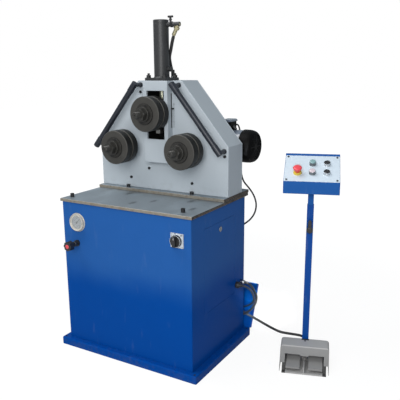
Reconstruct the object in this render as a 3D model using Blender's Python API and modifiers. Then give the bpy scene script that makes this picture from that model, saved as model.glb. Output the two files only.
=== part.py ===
"""Hydraulic three-roll profile bending machine with its pedal control stand.

Metres, +Z up. The origin is the centre of the base plinth's underside, on the floor.
+X is the machine's right, -Y its front, where the rollers are.
"""

import math

import bmesh
import bpy
from mathutils import Matrix, Vector

MM = 0.001
QUARTER = math.pi / 2

# Fits that every piece shares
CLEARANCE = 0.3 * MM
RUNNING_GAP = 0.5 * MM
DOOR_GAP = 1.0 * MM
OVERRUN = 3.0 * MM
WELD_DISTANCE = 0.01 * MM
FLAT_ANGLE = math.radians(0.1)

# Counts of facets
FINE_STEPS = 24
ROUND_STEPS = 18
SHAFT_STEPS = 16
SMALL_STEPS = 12
PIN_STEPS = 6
LOBE_STEPS = 4
CORNER_STEPS = 3

# Base plinth
PLINTH_WIDTH = 750.0 * MM
PLINTH_DEPTH = 530.0 * MM
PLINTH_HEIGHT = 36.0 * MM
PLINTH_SHEET = 5.0 * MM
PLINTH_CORNER = 6.0 * MM
PLINTH_RIB_WIDTH = 60.0 * MM
ANCHOR_HOLE_RADIUS = 5.5 * MM
ANCHOR_INSET = 14.5 * MM

# Cabinet on the plinth
CABINET_WIDTH = 688.0 * MM
CABINET_DEPTH = 492.0 * MM
CABINET_HEIGHT = 670.0 * MM
CABINET_FRONT_INSET = 24.5 * MM
CABINET_SHEET = 3.0 * MM
CABINET_CORNER = 5.0 * MM

# Access door in the cabinet's right side
DOOR_WIDTH = 288.0 * MM
DOOR_RISE = 220.0 * MM
DOOR_TOP_MARGIN = 66.0 * MM
DOOR_SHEET = 2.5 * MM
DOOR_RETURN = 10.0 * MM
TAB_WIDTH = 40.0 * MM
TAB_LENGTH = 14.0 * MM
TAB_SPREAD_SHARE = 0.3
LOCK_DROP = 32.5 * MM
LOCK_HEAD_RADIUS = 12.0 * MM
LOCK_HEAD_RISE = 2.5 * MM
LOCK_SHANK_RADIUS = 8.0 * MM
LOCK_SLOT = 3.0 * MM
CAM_LENGTH = 42.0 * MM
CAM_WIDTH = 14.0 * MM
CAM_SHEET = 3.0 * MM

# Leaning panel behind the cabinet
PANEL_SHEET = 3.0 * MM
PANEL_FOOT = 30.0 * MM
PANEL_RISE = 204.0 * MM
PANEL_LEAN = 80.0 * MM
PANEL_FLANGE = 14.0 * MM
PANEL_CORNER = 4.0 * MM

# Table plate and riser plate
TABLE_WIDTH = 702.0 * MM
TABLE_DEPTH = 517.0 * MM
TABLE_THICKNESS = 13.5 * MM
TABLE_FRONT_OVERHANG = 6.0 * MM
RISER_DEPTH = 247.5 * MM
RISER_SETBACK = 274.5 * MM
RISER_THICKNESS = 14.7 * MM
PLATE_EDGE = 1.5 * MM

# Head
HEAD_OVERHANG = 0.5 * MM
HEAD_TOP_WIDTH = 237.0 * MM
HEAD_SHOULDER = 224.0 * MM
HEAD_HEIGHT = 504.0 * MM
HEAD_DEPTH = 139.0 * MM
HEAD_SETBACK = 35.0 * MM
HEAD_FRONT_PLATE = 15.0 * MM
HEAD_WALL = 10.0 * MM
HEAD_COVER = 8.0 * MM
HEAD_EDGE = 1.5 * MM
BOSS_RADIUS = 48.0 * MM
BOSS_PROUD = 20.0 * MM
BULKHEAD_RADIUS = 11.0 * MM
BULKHEAD_HEIGHT = 18.0 * MM
BULKHEAD_SIDE = 5.0 * MM
BULKHEAD_BACK = 26.0 * MM

# Slide housing with its window, and the block that runs in it
HOUSING_WIDTH = 131.0 * MM
HOUSING_DEPTH = 119.0 * MM
HOUSING_HEIGHT = 368.5 * MM
HOUSING_PROUD = 38.0 * MM
HOUSING_SIDE_WALL = 15.0 * MM
HOUSING_END_WALL = 10.0 * MM
HOUSING_FLOOR = 20.0 * MM
WINDOW_WIDTH = 93.0 * MM
WINDOW_HEIGHT = 217.0 * MM
WINDOW_TOP_INSET = 44.0 * MM
BLOCK_HEIGHT = 130.0 * MM
BLOCK_CHAMFER = 3.0 * MM
STROKE_DOWN = 85.0 * MM
STROKE_UP = 65.0 * MM
POINTER_RISE = 20.0 * MM
POINTER_HEIGHT = 6.0 * MM
POINTER_SHEET = 3.0 * MM
POINTER_REACH = 14.0 * MM
POINTER_SETBACK = 5.0 * MM

# Guide bars along the head's slopes
BAR_RADIUS = 10.0 * MM
BAR_SLEEVE_RADIUS = 12.5 * MM
BAR_SLEEVE_LENGTH = 50.0 * MM
BAR_STANDOFF = 53.0 * MM
BAR_TOP_INSET = 23.0 * MM
BAR_TOP_DROP = 9.5 * MM
BAR_BOTTOM_INSET = 11.0 * MM
BAR_BOTTOM_DROP = 309.5 * MM
PIN_RADIUS = 9.0 * MM
PIN_INSET = 13.0 * MM

# Rollers on their shafts
ROLLER_RADIUS = 77.5 * MM
ROLLER_WIDTH = 38.0 * MM
ROLLER_CHAMFER = 2.5 * MM
ROLLER_REACH = 124.0 * MM
GROOVE_WIDTH = 6.0 * MM
GROOVE_RADIUS = 62.0 * MM
HUB_RADIUS = 44.5 * MM
HUB_RISE = 4.0 * MM
LOWER_SPREAD = 175.3 * MM
LOWER_RISE = 204.5 * MM
UPPER_RISE = 361.5 * MM
SHAFT_RADIUS = 25.0 * MM
SHOULDER_RADIUS = 31.0 * MM
THREAD_RADIUS = 14.5 * MM
SHAFT_TIP_REACH = 71.0 * MM
SHAFT_TIP_CHAMFER = 2.5 * MM
CENTRE_HOLE_RADIUS = 3.5 * MM
CENTRE_HOLE_DEPTH = 6.0 * MM
COLLAR_RADIUS = 33.0 * MM
COLLAR_WIDTH = 13.0 * MM
NUT_RADIUS = 29.0 * MM
NUT_WIDTH = 24.0 * MM
NUT_CHAMFER = 2.0 * MM
JOURNAL_RADIUS = 20.0 * MM
SHAFT_END_MARGIN = 2.0 * MM

# Gear train between the head's plates
GEAR_MODULE = 8.0 * MM
GEAR_TEETH = 32
PINION_TEETH = 16
GEAR_WIDTH = 26.0 * MM
GEAR_SETBACK = 9.0 * MM
GEAR_BACKLASH = 0.5 * MM
PRESSURE_ANGLE = math.radians(20.0)
ADDENDUM_SHARE = 1.0
DEDENDUM_SHARE = 1.25
FLANK_POINTS = 3
WEB_RECESS = 6.0 * MM
WEB_INNER_RADIUS = 42.0 * MM
WEB_OUTER_RADIUS = 106.0 * MM
PINION_SHAFT_RADIUS = 19.0 * MM

# Gearbox and motor behind the head
GEARBOX_RADIUS = 88.0 * MM
GEARBOX_LENGTH = 118.0 * MM
GEARBOX_FLANGE_RADIUS = 104.0 * MM
GEARBOX_FLANGE = 12.0 * MM
GEARBOX_EDGE = 6.0 * MM
WORM_RISE = 75.0 * MM
WORM_RADIUS = 44.0 * MM
WORM_LEFT = 100.0 * MM
WORM_RIGHT = 120.0 * MM
BELL_LENGTH = 44.0 * MM
MOTOR_SETBACK = 88.0 * MM
MOTOR_FLANGE_RADIUS = 80.0 * MM
MOTOR_FLANGE = 14.0 * MM
MOTOR_RADIUS = 73.5 * MM
MOTOR_LENGTH = 166.0 * MM
COWL_RADIUS = 77.0 * MM
COWL_LENGTH = 60.0 * MM
COWL_EDGE = 9.0 * MM
TERMINAL_WIDTH = 62.0 * MM
TERMINAL_DEPTH = 70.0 * MM
TERMINAL_TOP = 123.0 * MM
TERMINAL_START = 52.0 * MM
TERMINAL_EDGE = 6.0 * MM
TERMINAL_LID = 8.0 * MM
TERMINAL_SIDE_PLUG = 22.0 * MM
STUB_RADIUS = 7.0 * MM
STUB_LENGTH = 13.0 * MM

# Press cylinder on the head
CYLINDER_RADIUS = 33.0 * MM
CYLINDER_LENGTH = 262.5 * MM
CYLINDER_BORE_RADIUS = 25.5 * MM
CYLINDER_CAP = 14.0 * MM
CYLINDER_EDGE = 3.0 * MM
GLAND_LENGTH = 24.0 * MM
FLANGE_WIDTH = 111.0 * MM
FLANGE_THICKNESS = 12.0 * MM
ROD_RADIUS = 16.0 * MM
ROD_SEAT = 30.0 * MM
PISTON_LENGTH = 20.0 * MM
PISTON_MARGIN = 3.0 * MM
PORT_DROP = 22.0 * MM
PORT_RADIUS = 10.0 * MM
PORT_REACH = 99.0 * MM
ELBOW_RADIUS = 9.0 * MM
ELBOW_REACH = 92.0 * MM
ELBOW_LENGTH = 4.0 * MM
ELBOW_TILT = math.radians(30.0)
ELBOW_NUT_RADIUS = 13.0 * MM
ELBOW_NUT_LENGTH = 12.0 * MM
LOWER_PORT_RISE = 50.0 * MM
LOWER_PORT_REACH = 52.0 * MM
BLEED_REACH = 51.0 * MM
BLEED_STEM_RADIUS = 5.0 * MM
BLEED_SEAT = 8.0 * MM
BLEED_NECK = 19.0 * MM
BLEED_HEAD_RADIUS = 13.0 * MM
BLEED_HEAD = 9.0 * MM
BLEED_BAR_WIDTH = 10.0 * MM

# Pressure gauge
GAUGE_RADIUS = 43.0 * MM
GAUGE_BEZEL_RADIUS = 40.0 * MM
GAUGE_DIAL_RADIUS = 35.0 * MM
GAUGE_FLANGE = 3.0 * MM
GAUGE_PROUD = 13.0 * MM
GAUGE_DIAL_DEPTH = 7.0 * MM
GAUGE_BODY_RADIUS = 31.0 * MM
GAUGE_BODY_LENGTH = 26.0 * MM
GAUGE_STEM_RADIUS = 7.0 * MM
GAUGE_STEM_LENGTH = 20.0 * MM
GAUGE_INSET = 88.0 * MM
GAUGE_DROP = 89.0 * MM
NEEDLE_HUB_RADIUS = 4.0 * MM
NEEDLE_SHEET = 1.5 * MM
NEEDLE_LENGTH = 29.0 * MM
NEEDLE_TAIL = 10.0 * MM
NEEDLE_WIDTH = 4.0 * MM
NEEDLE_TURN = math.radians(45.0)

# Flow valve under the gauge
VALVE_INSET = 80.0 * MM
VALVE_DROP = 188.0 * MM
VALVE_NUT_RADIUS = 16.0 * MM
VALVE_NUT_WIDTH = 8.0 * MM
VALVE_NECK_RADIUS = 10.0 * MM
VALVE_NECK_LENGTH = 34.0 * MM
VALVE_STEM_RADIUS = 5.0 * MM
VALVE_STEM_LENGTH = 24.0 * MM
VALVE_THREAD_RADIUS = 12.0 * MM
VALVE_BLOCK_WIDTH = 46.0 * MM
VALVE_BLOCK_DEPTH = 50.0 * MM
VALVE_BLOCK_GAP = 12.0 * MM
KNOB_RADIUS = 22.0 * MM
KNOB_LOBE_SHARE = 0.09
KNOB_LOBES = 8
KNOB_LENGTH = 26.0 * MM
KNOB_EDGE = 2.0 * MM
KNOB_CAP_RADIUS = 13.0 * MM
KNOB_CAP_RISE = 2.0 * MM

# Main switch
SWITCH_INSET = 65.0 * MM
SWITCH_DROP = 94.0 * MM
SWITCH_WIDTH = 60.0 * MM
SWITCH_THICKNESS = 6.0 * MM
SWITCH_EDGE = 2.0 * MM
SWITCH_RING_RADIUS = 27.0 * MM
SWITCH_RING_RISE = 3.0 * MM
SWITCH_SHAFT_RADIUS = 5.0 * MM
SWITCH_DIAL_RADIUS = 24.0 * MM
SWITCH_DIAL = 7.0 * MM
SWITCH_GRIP_WIDTH = 14.0 * MM
SWITCH_GRIP_RISE = 17.0 * MM
SWITCH_GRIP_EDGE = 3.0 * MM

# Hydraulic power pack inside the cabinet
TANK_WIDTH = 300.0 * MM
TANK_DEPTH = 240.0 * MM
TANK_HEIGHT = 200.0 * MM
TANK_CENTRE_BACK = 50.0 * MM
TANK_SIDE = -20.0 * MM
TANK_EDGE = 8.0 * MM
TANK_LID = 6.0 * MM
TANK_LID_LIP = 10.0 * MM
PUMP_MOTOR_RADIUS = 64.0 * MM
PUMP_MOTOR_HEIGHT = 200.0 * MM
PUMP_SIDE = 55.0 * MM
MANIFOLD_WIDTH = 70.0 * MM
MANIFOLD_HEIGHT = 70.0 * MM
MANIFOLD_SIDE = 70.0 * MM
FILLER_RADIUS = 22.0 * MM
FILLER_HEIGHT = 40.0 * MM
FILLER_SIDE = 110.0 * MM
FILLER_BACK = 80.0 * MM

# Cable glands on the cabinet
GLAND_RISE = 256.0 * MM
CONTROL_GLAND_BACK = 212.0 * MM
CONTROL_GLAND_RADIUS = 13.0 * MM
CONTROL_GLAND_LENGTH = 22.0 * MM
MAINS_GLAND_BACK = 166.0 * MM
MAINS_GLAND_RADIUS = 17.0 * MM
MAINS_GLAND_LENGTH = 34.0 * MM
GLAND_THREAD_RADIUS = 8.0 * MM
GLAND_THREAD_LENGTH = 12.0 * MM
GLAND_HEX_LENGTH = 6.0 * MM
GLAND_NECK_SHARE = 0.78
LEAD_ENTRY_INSET = 48.0 * MM
LEAD_ENTRY_HEIGHT = 538.0 * MM

# Cables and hose, by diameter
CONTROL_CABLE = 12.0 * MM
MAINS_CABLE = 9.0 * MM
MOTOR_LEAD = 8.0 * MM
PRESSURE_HOSE = 12.0 * MM
ROUTE_STEP_SHARE = 3.0
CURVE_SAMPLES = 24

# Put away coil of the mains cable
COIL_SIDE = 105.0 * MM
COIL_BACK = 520.0 * MM
COIL_INNER_RADIUS = 40.0 * MM
COIL_TURN_GAP = 0.8 * MM
COIL_FLOOR_GAP = 0.3 * MM
COIL_TURNS = 6
COIL_END_SHARE = 0.25
COIL_CLIMB_SHARE = 0.25
COIL_TAIL_SWING = 27.0 * MM
COIL_POINTS = 16

# Mains plug
PLUG_RADIUS = 24.0 * MM
PLUG_RELIEF_LENGTH = 22.0 * MM
PLUG_BODY_LENGTH = 62.0 * MM
PLUG_COLLAR_RADIUS = 27.0 * MM
PLUG_COLLAR_LENGTH = 34.0 * MM
PLUG_WALL = 3.0 * MM
PLUG_RECESS = 28.0 * MM
PLUG_PINS = 4
PLUG_PIN_RADIUS = 2.8 * MM
PLUG_PIN_CIRCLE = 13.0 * MM
PLUG_PIN_LENGTH = 24.0 * MM

# Control stand on the floor
STAND_SIDE = 681.2 * MM
STAND_BACK = 203.0 * MM
STAND_TURN = math.radians(18.3)
FOOT_WIDTH = 190.0 * MM
FOOT_FRONT = 178.0 * MM
FOOT_BACK = 75.0 * MM
FOOT_PLATE = 4.0 * MM
FOOT_LIP = 7.0 * MM
CHEEK_WIDTH = 15.0 * MM
CHEEK_HEIGHT = 44.0 * MM
CHEEK_BACK = 34.0 * MM
DIVIDER_WIDTH = 4.0 * MM
DIVIDER_HEIGHT = 35.0 * MM
BRACKET_WIDTH = 20.0 * MM
POST_WIDTH = 29.0 * MM
POST_WALL = 1.7 * MM
POST_TOP = 715.0 * MM
CABLE_ENTRY_HEIGHT = 47.0 * MM
CABLE_ENTRY_REACH = 44.7 * MM
CABLE_ENTRY_RADIUS = 11.0 * MM
CLAMP_HEIGHT = 606.0 * MM

# Pedals
PEDAL_PIN_RADIUS = 5.0 * MM
PEDAL_PIN_HEIGHT = 36.0 * MM
PEDAL_PIN_FRONT = 44.0 * MM
PEDAL_BARREL_RADIUS = 9.0 * MM
PEDAL_WIDTH = 60.0 * MM
PEDAL_CENTRE = 48.5 * MM
PEDAL_REACH = 119.0 * MM
PEDAL_DROP = 21.5 * MM
PEDAL_PLATE = 5.0 * MM
PEDAL_LIP = 8.0 * MM

# Pedal hood
HOOD_WIDTH = 212.0 * MM
HOOD_HEIGHT = 91.0 * MM
HOOD_SHEET = 2.0 * MM
HOOD_CORNER = 12.0 * MM
HOOD_BACK = 20.0 * MM
HOOD_TOP_FRONT = 95.0 * MM
HOOD_TOE_FRONT = 166.0 * MM
HOOD_TOE_HEIGHT = 5.0 * MM
HOOD_FLOOR_GAP = 1.0 * MM
HOOD_GAP = 2.0 * MM
HOOD_NOTCH_WIDTH = 36.0 * MM
HOOD_NOTCH_DEPTH = 13.0 * MM
HOOD_ARCH_HEIGHT = 61.5 * MM
HOOD_TONGUE_HEIGHT = 57.8 * MM
HOOD_TONGUE_WIDTH = 36.0 * MM
HOOD_ARCH_WIDTH = 168.0 * MM
HOOD_LEG_HEIGHT = 31.0 * MM

# Clamp lever on the post
CLAMP_HUB_RADIUS = 13.5 * MM
CLAMP_HUB_LENGTH = 20.0 * MM
CLAMP_ARM_LENGTH = 46.0 * MM
CLAMP_ARM_WIDTH = 16.0 * MM
CLAMP_ARM_THICKNESS = 11.0 * MM
CLAMP_SCREW_RADIUS = 4.0 * MM
CLAMP_EDGE = 3.0 * MM

# Control box on its sliding post
UPPER_POST_WIDTH = 25.0 * MM
UPPER_POST_INSERT = 300.0 * MM
UPPER_POST_DROP = 55.0 * MM
BOX_WIDTH = 234.6 * MM
BOX_BOTTOM = 773.8 * MM
BOX_FRONT = 67.0 * MM
BOX_BACK = 100.0 * MM
BOX_APRON = 52.5 * MM
BOX_SLOPE_RUN = 155.0 * MM
BOX_SLOPE_RISE = 86.4 * MM
BOX_LIP_RISE = 8.6 * MM
BOX_SHEET = 2.0 * MM
BOX_EDGE = 1.5 * MM
PANEL_PLATE = 1.5 * MM
PANEL_MARGIN = 1.5 * MM
PANEL_ROW_LOW = 56.0 * MM
PANEL_ROW_HIGH = 117.0 * MM
PANEL_LEFT = -60.5 * MM
PANEL_MIDDLE = 1.5 * MM
PANEL_RIGHT = 62.0 * MM
BEZEL_RADIUS = 14.3 * MM
BEZEL_RISE = 5.0 * MM
BEZEL_EDGE = 1.0 * MM
BUTTON_RADIUS = 10.8 * MM
BUTTON_RISE = 12.0 * MM
BUTTON_EDGE = 1.2 * MM
BUTTON_STEM_RADIUS = 7.0 * MM
BUTTON_STEM_LENGTH = 24.0 * MM
BUTTON_SHOULDER = 4.5 * MM
LAMP_RADIUS = 13.0 * MM
LAMP_RISE = 19.0 * MM
LAMP_LIFT = 4.0 * MM
ESTOP_COLLAR_RADIUS = 18.0 * MM
ESTOP_COLLAR_RISE = 9.0 * MM
ESTOP_NECK_RADIUS = 10.0 * MM
ESTOP_HEAD_RADIUS = 19.0 * MM
ESTOP_HEAD = 13.0 * MM
ESTOP_RISE = 34.0 * MM
ESTOP_SHOULDER = 5.5 * MM

# Routes of the cords, each point chosen by hand, for a cabinet side at this place
ROUTE_SIDE = 344.0 * MM
CONTROL_ROUTE = [
    (366.3, 212, 292), (378.3, 212, 292), (391, 219, 282), (405, 232, 254), (414, 243, 220),
    (409, 250, 188), (390, 255, 150), (362, 258, 120), (335, 258.6, 103), (290, 259, 97), (240, 260, 99),
    (199, 262, 115), (182, 264, 156), (199, 267, 197), (240, 269, 214), (281, 271, 197), (298, 272, 160),
    (303, 272, 134), (316, 272, 117), (335, 272.5, 107), (384, 278, 88), (442, 280, 67), (494, 266, 60),
    (537, 258, 56), (573.8, 272.8, 50), (605.8, 284.5, 47), (629.6, 285.8, 47), (650.8, 275.1, 47),
    (663.9, 255.2, 47), (667.1, 245.7, 47),
]
MAINS_ROUTE = [
    (378.3, 166, 292), (387.3, 166, 292), (399, 175, 284), (405, 193, 268), (403, 217, 246),
    (399, 241, 222), (394, 259, 193), (384, 270, 170), (358, 281, 147), (322, 290, 128), (288, 296, 137),
    (262, 303, 156), (242, 313, 182), (226, 328, 214), (216, 339, 238), (210, 349.4, 252.6),
    (200, 372.5, 261), (191, 395.6, 252.6), (186, 406.3, 237.3), (181, 409.5, 200), (178, 411, 150),
    (176.5, 413, 100), (176, 416, 46), (175.8, 427, 16.5), (175.7, 453, 5.2), (175.6, 484, 4.8),
    (175.6, 501.7, 4.8), (175.6, 510.7, 4.8),
]
LEAD_ROUTE = [
    (247.3, 338.6, 1029.3), (247.3, 346.6, 1029.3), (247.2, 368, 1022), (247, 384, 1000), (248, 392, 960),
    (251, 395, 890), (258, 384, 835), (275, 352, 788), (306, 318, 758), (340, 305, 732), (365, 302, 701),
    (379, 300, 662), (373, 301, 620), (351, 302, 584), (321.6, 304, 557.2), (303.5, 294.6, 543.6),
    (296, 272.5, 538), (296, 264.5, 538),
]
HOSE_ROUTE = [
    (79.6, 84.5, 1458.4), (73.6, 84.5, 1448), (64, 88.5, 1432), (50, 97, 1406), (34, 109.5, 1373),
    (19, 121, 1343), (11, 138, 1316), (6, 155, 1293), (5, 165.5, 1279), (5, 168, 1269.4),
    (5, 168, 1257.4),
]

# Places worked out from the sizes above
PLINTH_FRONT_Y = -PLINTH_DEPTH / 2
PLINTH_BACK_Y = PLINTH_DEPTH / 2
CABINET_FRONT_Y = PLINTH_FRONT_Y + CABINET_FRONT_INSET
CABINET_BACK_Y = CABINET_FRONT_Y + CABINET_DEPTH
CABINET_MIDDLE_Y = (CABINET_FRONT_Y + CABINET_BACK_Y) / 2
CABINET_SIDE_X = CABINET_WIDTH / 2
DOOR_HEIGHT = CABINET_HEIGHT - DOOR_RISE - DOOR_TOP_MARGIN
HEAD_SIDE_X = TABLE_WIDTH / 2 + HEAD_OVERHANG
BAR_TOP_SPREAD = HEAD_TOP_WIDTH / 2 - BAR_TOP_INSET
BAR_BOTTOM_SPREAD = HEAD_SIDE_X - BAR_BOTTOM_INSET
GAUGE_X = GAUGE_INSET - CABINET_SIDE_X
VALVE_X = VALVE_INSET - CABINET_SIDE_X
SWITCH_X = CABINET_SIDE_X - SWITCH_INSET
LEAD_ENTRY_X = CABINET_SIDE_X - LEAD_ENTRY_INSET
CABINET_TOP_Z = PLINTH_HEIGHT + CABINET_HEIGHT
TABLE_FRONT_Y = CABINET_FRONT_Y - TABLE_FRONT_OVERHANG
TABLE_TOP_Z = CABINET_TOP_Z + CLEARANCE + TABLE_THICKNESS
RISER_FRONT_Y = TABLE_FRONT_Y + RISER_SETBACK
RISER_TOP_Z = TABLE_TOP_Z + CLEARANCE + RISER_THICKNESS
HEAD_BASE_Z = RISER_TOP_Z + CLEARANCE
HEAD_TOP_Z = HEAD_BASE_Z + HEAD_HEIGHT
HEAD_FRONT_Y = RISER_FRONT_Y + HEAD_SETBACK
HEAD_BACK_Y = HEAD_FRONT_Y + HEAD_DEPTH
COVER_FRONT_Y = HEAD_BACK_Y - HEAD_COVER
HOUSING_FRONT_Y = HEAD_FRONT_Y - HOUSING_PROUD
HOUSING_BACK_Y = HOUSING_FRONT_Y + HOUSING_DEPTH
HOUSING_MIDDLE_Y = (HOUSING_FRONT_Y + HOUSING_BACK_Y) / 2
LOWER_Z = HEAD_BASE_Z + LOWER_RISE
UPPER_Z = HEAD_BASE_Z + UPPER_RISE
ROLLER_FACE_Y = HEAD_FRONT_Y - ROLLER_REACH
ROLLER_SET = ROLLER_WIDTH + GROOVE_WIDTH + ROLLER_WIDTH
ROLLER_BACK_Y = ROLLER_FACE_Y + ROLLER_SET
GEAR_PITCH_RADIUS = GEAR_MODULE * GEAR_TEETH / 2
PINION_PITCH_RADIUS = GEAR_MODULE * PINION_TEETH / 2
GEAR_CENTRES = GEAR_PITCH_RADIUS + PINION_PITCH_RADIUS
PINION_DROP = math.sqrt(GEAR_CENTRES**2 - LOWER_SPREAD**2)
PINION_Z = LOWER_Z - PINION_DROP
GEAR_FRONT_Y = HOUSING_BACK_Y + GEAR_SETBACK
GEAR_BACK_Y = GEAR_FRONT_Y + GEAR_WIDTH
GEARBOX_FRONT_Y = HEAD_BACK_Y + CLEARANCE
MOTOR_Y = GEARBOX_FRONT_Y + MOTOR_SETBACK
MOTOR_Z = PINION_Z + WORM_RISE
MOTOR_START_X = WORM_RIGHT + BELL_LENGTH + CLEARANCE
CYLINDER_BASE_Z = HEAD_TOP_Z + CLEARANCE
CYLINDER_TOP_Z = CYLINDER_BASE_Z + CYLINDER_LENGTH
PORT_Z = CYLINDER_TOP_Z - PORT_DROP
GLAND_Z = PLINTH_HEIGHT + GLAND_RISE
GAUGE_Z = CABINET_TOP_Z - GAUGE_DROP
VALVE_Z = CABINET_TOP_Z - VALVE_DROP
SWITCH_Z = CABINET_TOP_Z - SWITCH_DROP
DOOR_Z = PLINTH_HEIGHT + DOOR_RISE
BOX_SLOPE_LENGTH = math.hypot(BOX_SLOPE_RUN, BOX_SLOPE_RISE)
BOX_SLOPE_ANGLE = math.atan2(BOX_SLOPE_RISE, BOX_SLOPE_RUN)
BOX_SLOPE_Z = BOX_BOTTOM + BOX_APRON

# Turns that lay a shape's own Z along another direction, or its own X and Y in a view
UP = (0, 0, 0)
FORWARD = (QUARTER, 0, 0)
BACKWARD = (-QUARTER, 0, 0)
RIGHTWARD = (0, QUARTER, 0)
LEFTWARD = (0, -QUARTER, 0)
DOWN = (math.pi, 0, 0)
FRONT_VIEW = (QUARTER, 0, 0)
SIDE_VIEW = (QUARTER, 0, QUARTER)


def clear_scene():
    """Remove every object and the data that they leave behind."""
    for obj in list(bpy.data.objects):
        bpy.data.objects.remove(obj, do_unlink=True)
    for group in list(bpy.data.collections):
        bpy.data.collections.remove(group)


def new_collection(name):
    group = bpy.data.collections.new(name)
    bpy.context.scene.collection.children.link(group)
    return group


def new_material(name, colour, roughness, metallic=0.0):
    material = bpy.data.materials.new(name)
    material.use_nodes = True
    shader = material.node_tree.nodes["Principled BSDF"]
    shader.inputs["Base Color"].default_value = (*colour, 1.0)
    shader.inputs["Roughness"].default_value = roughness
    shader.inputs["Metallic"].default_value = metallic
    material.diffuse_color = (*colour, 1.0)
    return material


def add_frame(name, place, turn=UP, parent=None):
    """Add an empty that carries pieces: a joint's axis or a tilted face."""
    frame = bpy.data.objects.new(name, None)
    bpy.context.scene.collection.objects.link(frame)
    frame.location = place
    frame.rotation_euler = turn
    frame.parent = parent
    return frame


def finish(obj, material):
    """Make an object a finished piece of the machine, shaded smooth on its round sides."""
    PARTS.objects.link(obj)
    obj.data.materials.clear()
    obj.data.materials.append(material)
    return obj


def as_tool(obj):
    """Make an object a shape that cuts or joins another and is no piece itself."""
    CUTTERS.objects.link(obj)
    obj.hide_render = True
    obj.display_type = "WIRE"
    return obj


def place(obj, at, turn, frame):
    obj.location = at
    obj.rotation_euler = turn
    obj.parent = frame
    return obj


def mesh_object(name, shape, frame=None, at=(0, 0, 0), turn=UP):
    mesh = bpy.data.meshes.new(name)
    shape.to_mesh(mesh)
    shape.free()
    return place(bpy.data.objects.new(name, mesh), at, turn, frame)


def box(name, low, high, frame=None):
    """A block between two corners given in its frame."""
    low = Vector(low)
    high = Vector(high)
    shape = bmesh.new()
    fit = Matrix.Translation((low + high) / 2) @ Matrix.Diagonal((*(high - low), 1.0))
    bmesh.ops.create_cube(shape, size=1.0, matrix=fit)
    return mesh_object(name, shape, frame)


def rod(name, radius, length, at, turn=UP, frame=None, steps=ROUND_STEPS, end_radius=None):
    """A cylinder or cone that starts at a point and runs along its turned Z."""
    shape = bmesh.new()
    far_radius = radius if end_radius is None else end_radius
    lift = Matrix.Translation((0, 0, length / 2))
    bmesh.ops.create_cone(
        shape, cap_ends=True, segments=steps, radius1=radius, radius2=far_radius, depth=length, matrix=lift
    )
    obj = mesh_object(name, shape, frame, at, turn)
    shade(obj)
    return obj


def shade(obj):
    obj.data.shade_smooth()
    obj.data.set_sharp_from_angle(angle=math.radians(35))


def turned(name, profile, at, turn=UP, frame=None, steps=ROUND_STEPS, closed=False):
    """A profile of (radius, height) points, from top to bottom outside, spun about its own Z."""
    shape = bmesh.new()
    verts = [shape.verts.new((radius, 0, height)) for radius, height in profile]
    pairs = list(zip(verts, verts[1:]))
    if closed:
        pairs.append((verts[-1], verts[0]))
    for first, second in pairs:
        shape.edges.new((first, second))
    obj = mesh_object(name, shape, frame, at, turn)
    screw = obj.modifiers.new("spin", "SCREW")
    screw.steps = steps
    screw.render_steps = steps
    screw.use_merge_vertices = True
    screw.merge_threshold = WELD_DISTANCE
    screw.use_smooth_shade = False
    return obj


def outline(name, points, depth, at, turn=UP, frame=None):
    """A flat outline, filled and extruded to a depth that is centred on its plane."""
    curve = bpy.data.curves.new(name, "CURVE")
    curve.dimensions = "2D"
    curve.fill_mode = "BOTH"
    curve.extrude = depth / 2
    spline = curve.splines.new("POLY")
    spline.points.add(len(points) - 1)
    for target, (x, y) in zip(spline.points, points):
        target.co = (x, y, 0, 1)
    spline.use_cyclic_u = True
    return meshed(name, curve, at, turn, frame, flat_caps=True)


def tube(name, points, diameter, frame=None):
    """A round cable along a row of points, with flat ends."""
    curve = bpy.data.curves.new(name, "CURVE")
    curve.dimensions = "3D"
    curve.bevel_depth = diameter / 2
    curve.bevel_resolution = 1
    curve.use_fill_caps = True
    spline = curve.splines.new("POLY")
    spline.points.add(len(points) - 1)
    for target, point in zip(spline.points, points):
        target.co = (*point, 1)
    return meshed(name, curve, (0, 0, 0), UP, frame)


def meshed(name, curve, at, turn, frame, flat_caps=False):
    """Turn a curve into a welded, closed mesh object, its flat caps as one face each if asked."""
    source = bpy.data.objects.new(name, curve)
    bpy.context.scene.collection.objects.link(source)
    bpy.context.view_layer.update()
    evaluated = source.evaluated_get(bpy.context.evaluated_depsgraph_get())
    mesh = bpy.data.meshes.new_from_object(evaluated)
    bpy.data.objects.remove(source, do_unlink=True)
    bpy.data.curves.remove(curve)
    shape = bmesh.new()
    shape.from_mesh(mesh)
    bmesh.ops.remove_doubles(shape, verts=shape.verts, dist=WELD_DISTANCE)
    bmesh.ops.recalc_face_normals(shape, faces=shape.faces)
    if flat_caps:
        bmesh.ops.dissolve_limit(shape, angle_limit=FLAT_ANGLE, verts=shape.verts, edges=shape.edges)
    bpy.data.meshes.remove(mesh)
    return mesh_object(name, shape, frame, at, turn)


def sheet_box(name, low, high, open_sides, sheet, corner, frame=None):
    """A folded sheet box between two corners, with the sides that face the given ways left open."""
    low = Vector(low)
    high = Vector(high)
    shape = bmesh.new()
    fit = Matrix.Translation((low + high) / 2) @ Matrix.Diagonal((*(high - low), 1.0))
    bmesh.ops.create_cube(shape, size=1.0, matrix=fit)
    shape.normal_update()
    ways = [Vector(side) for side in open_sides]
    gone = [face for face in shape.faces if any(face.normal.dot(way) > 0.5 for way in ways)]
    bmesh.ops.delete(shape, geom=gone, context="FACES_ONLY")
    obj = mesh_object(name, shape, frame)
    bevel(obj, corner, 2)
    solid = obj.modifiers.new("sheet", "SOLIDIFY")
    solid.thickness = sheet
    solid.offset = -1
    solid.use_even_offset = True
    return obj


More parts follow.
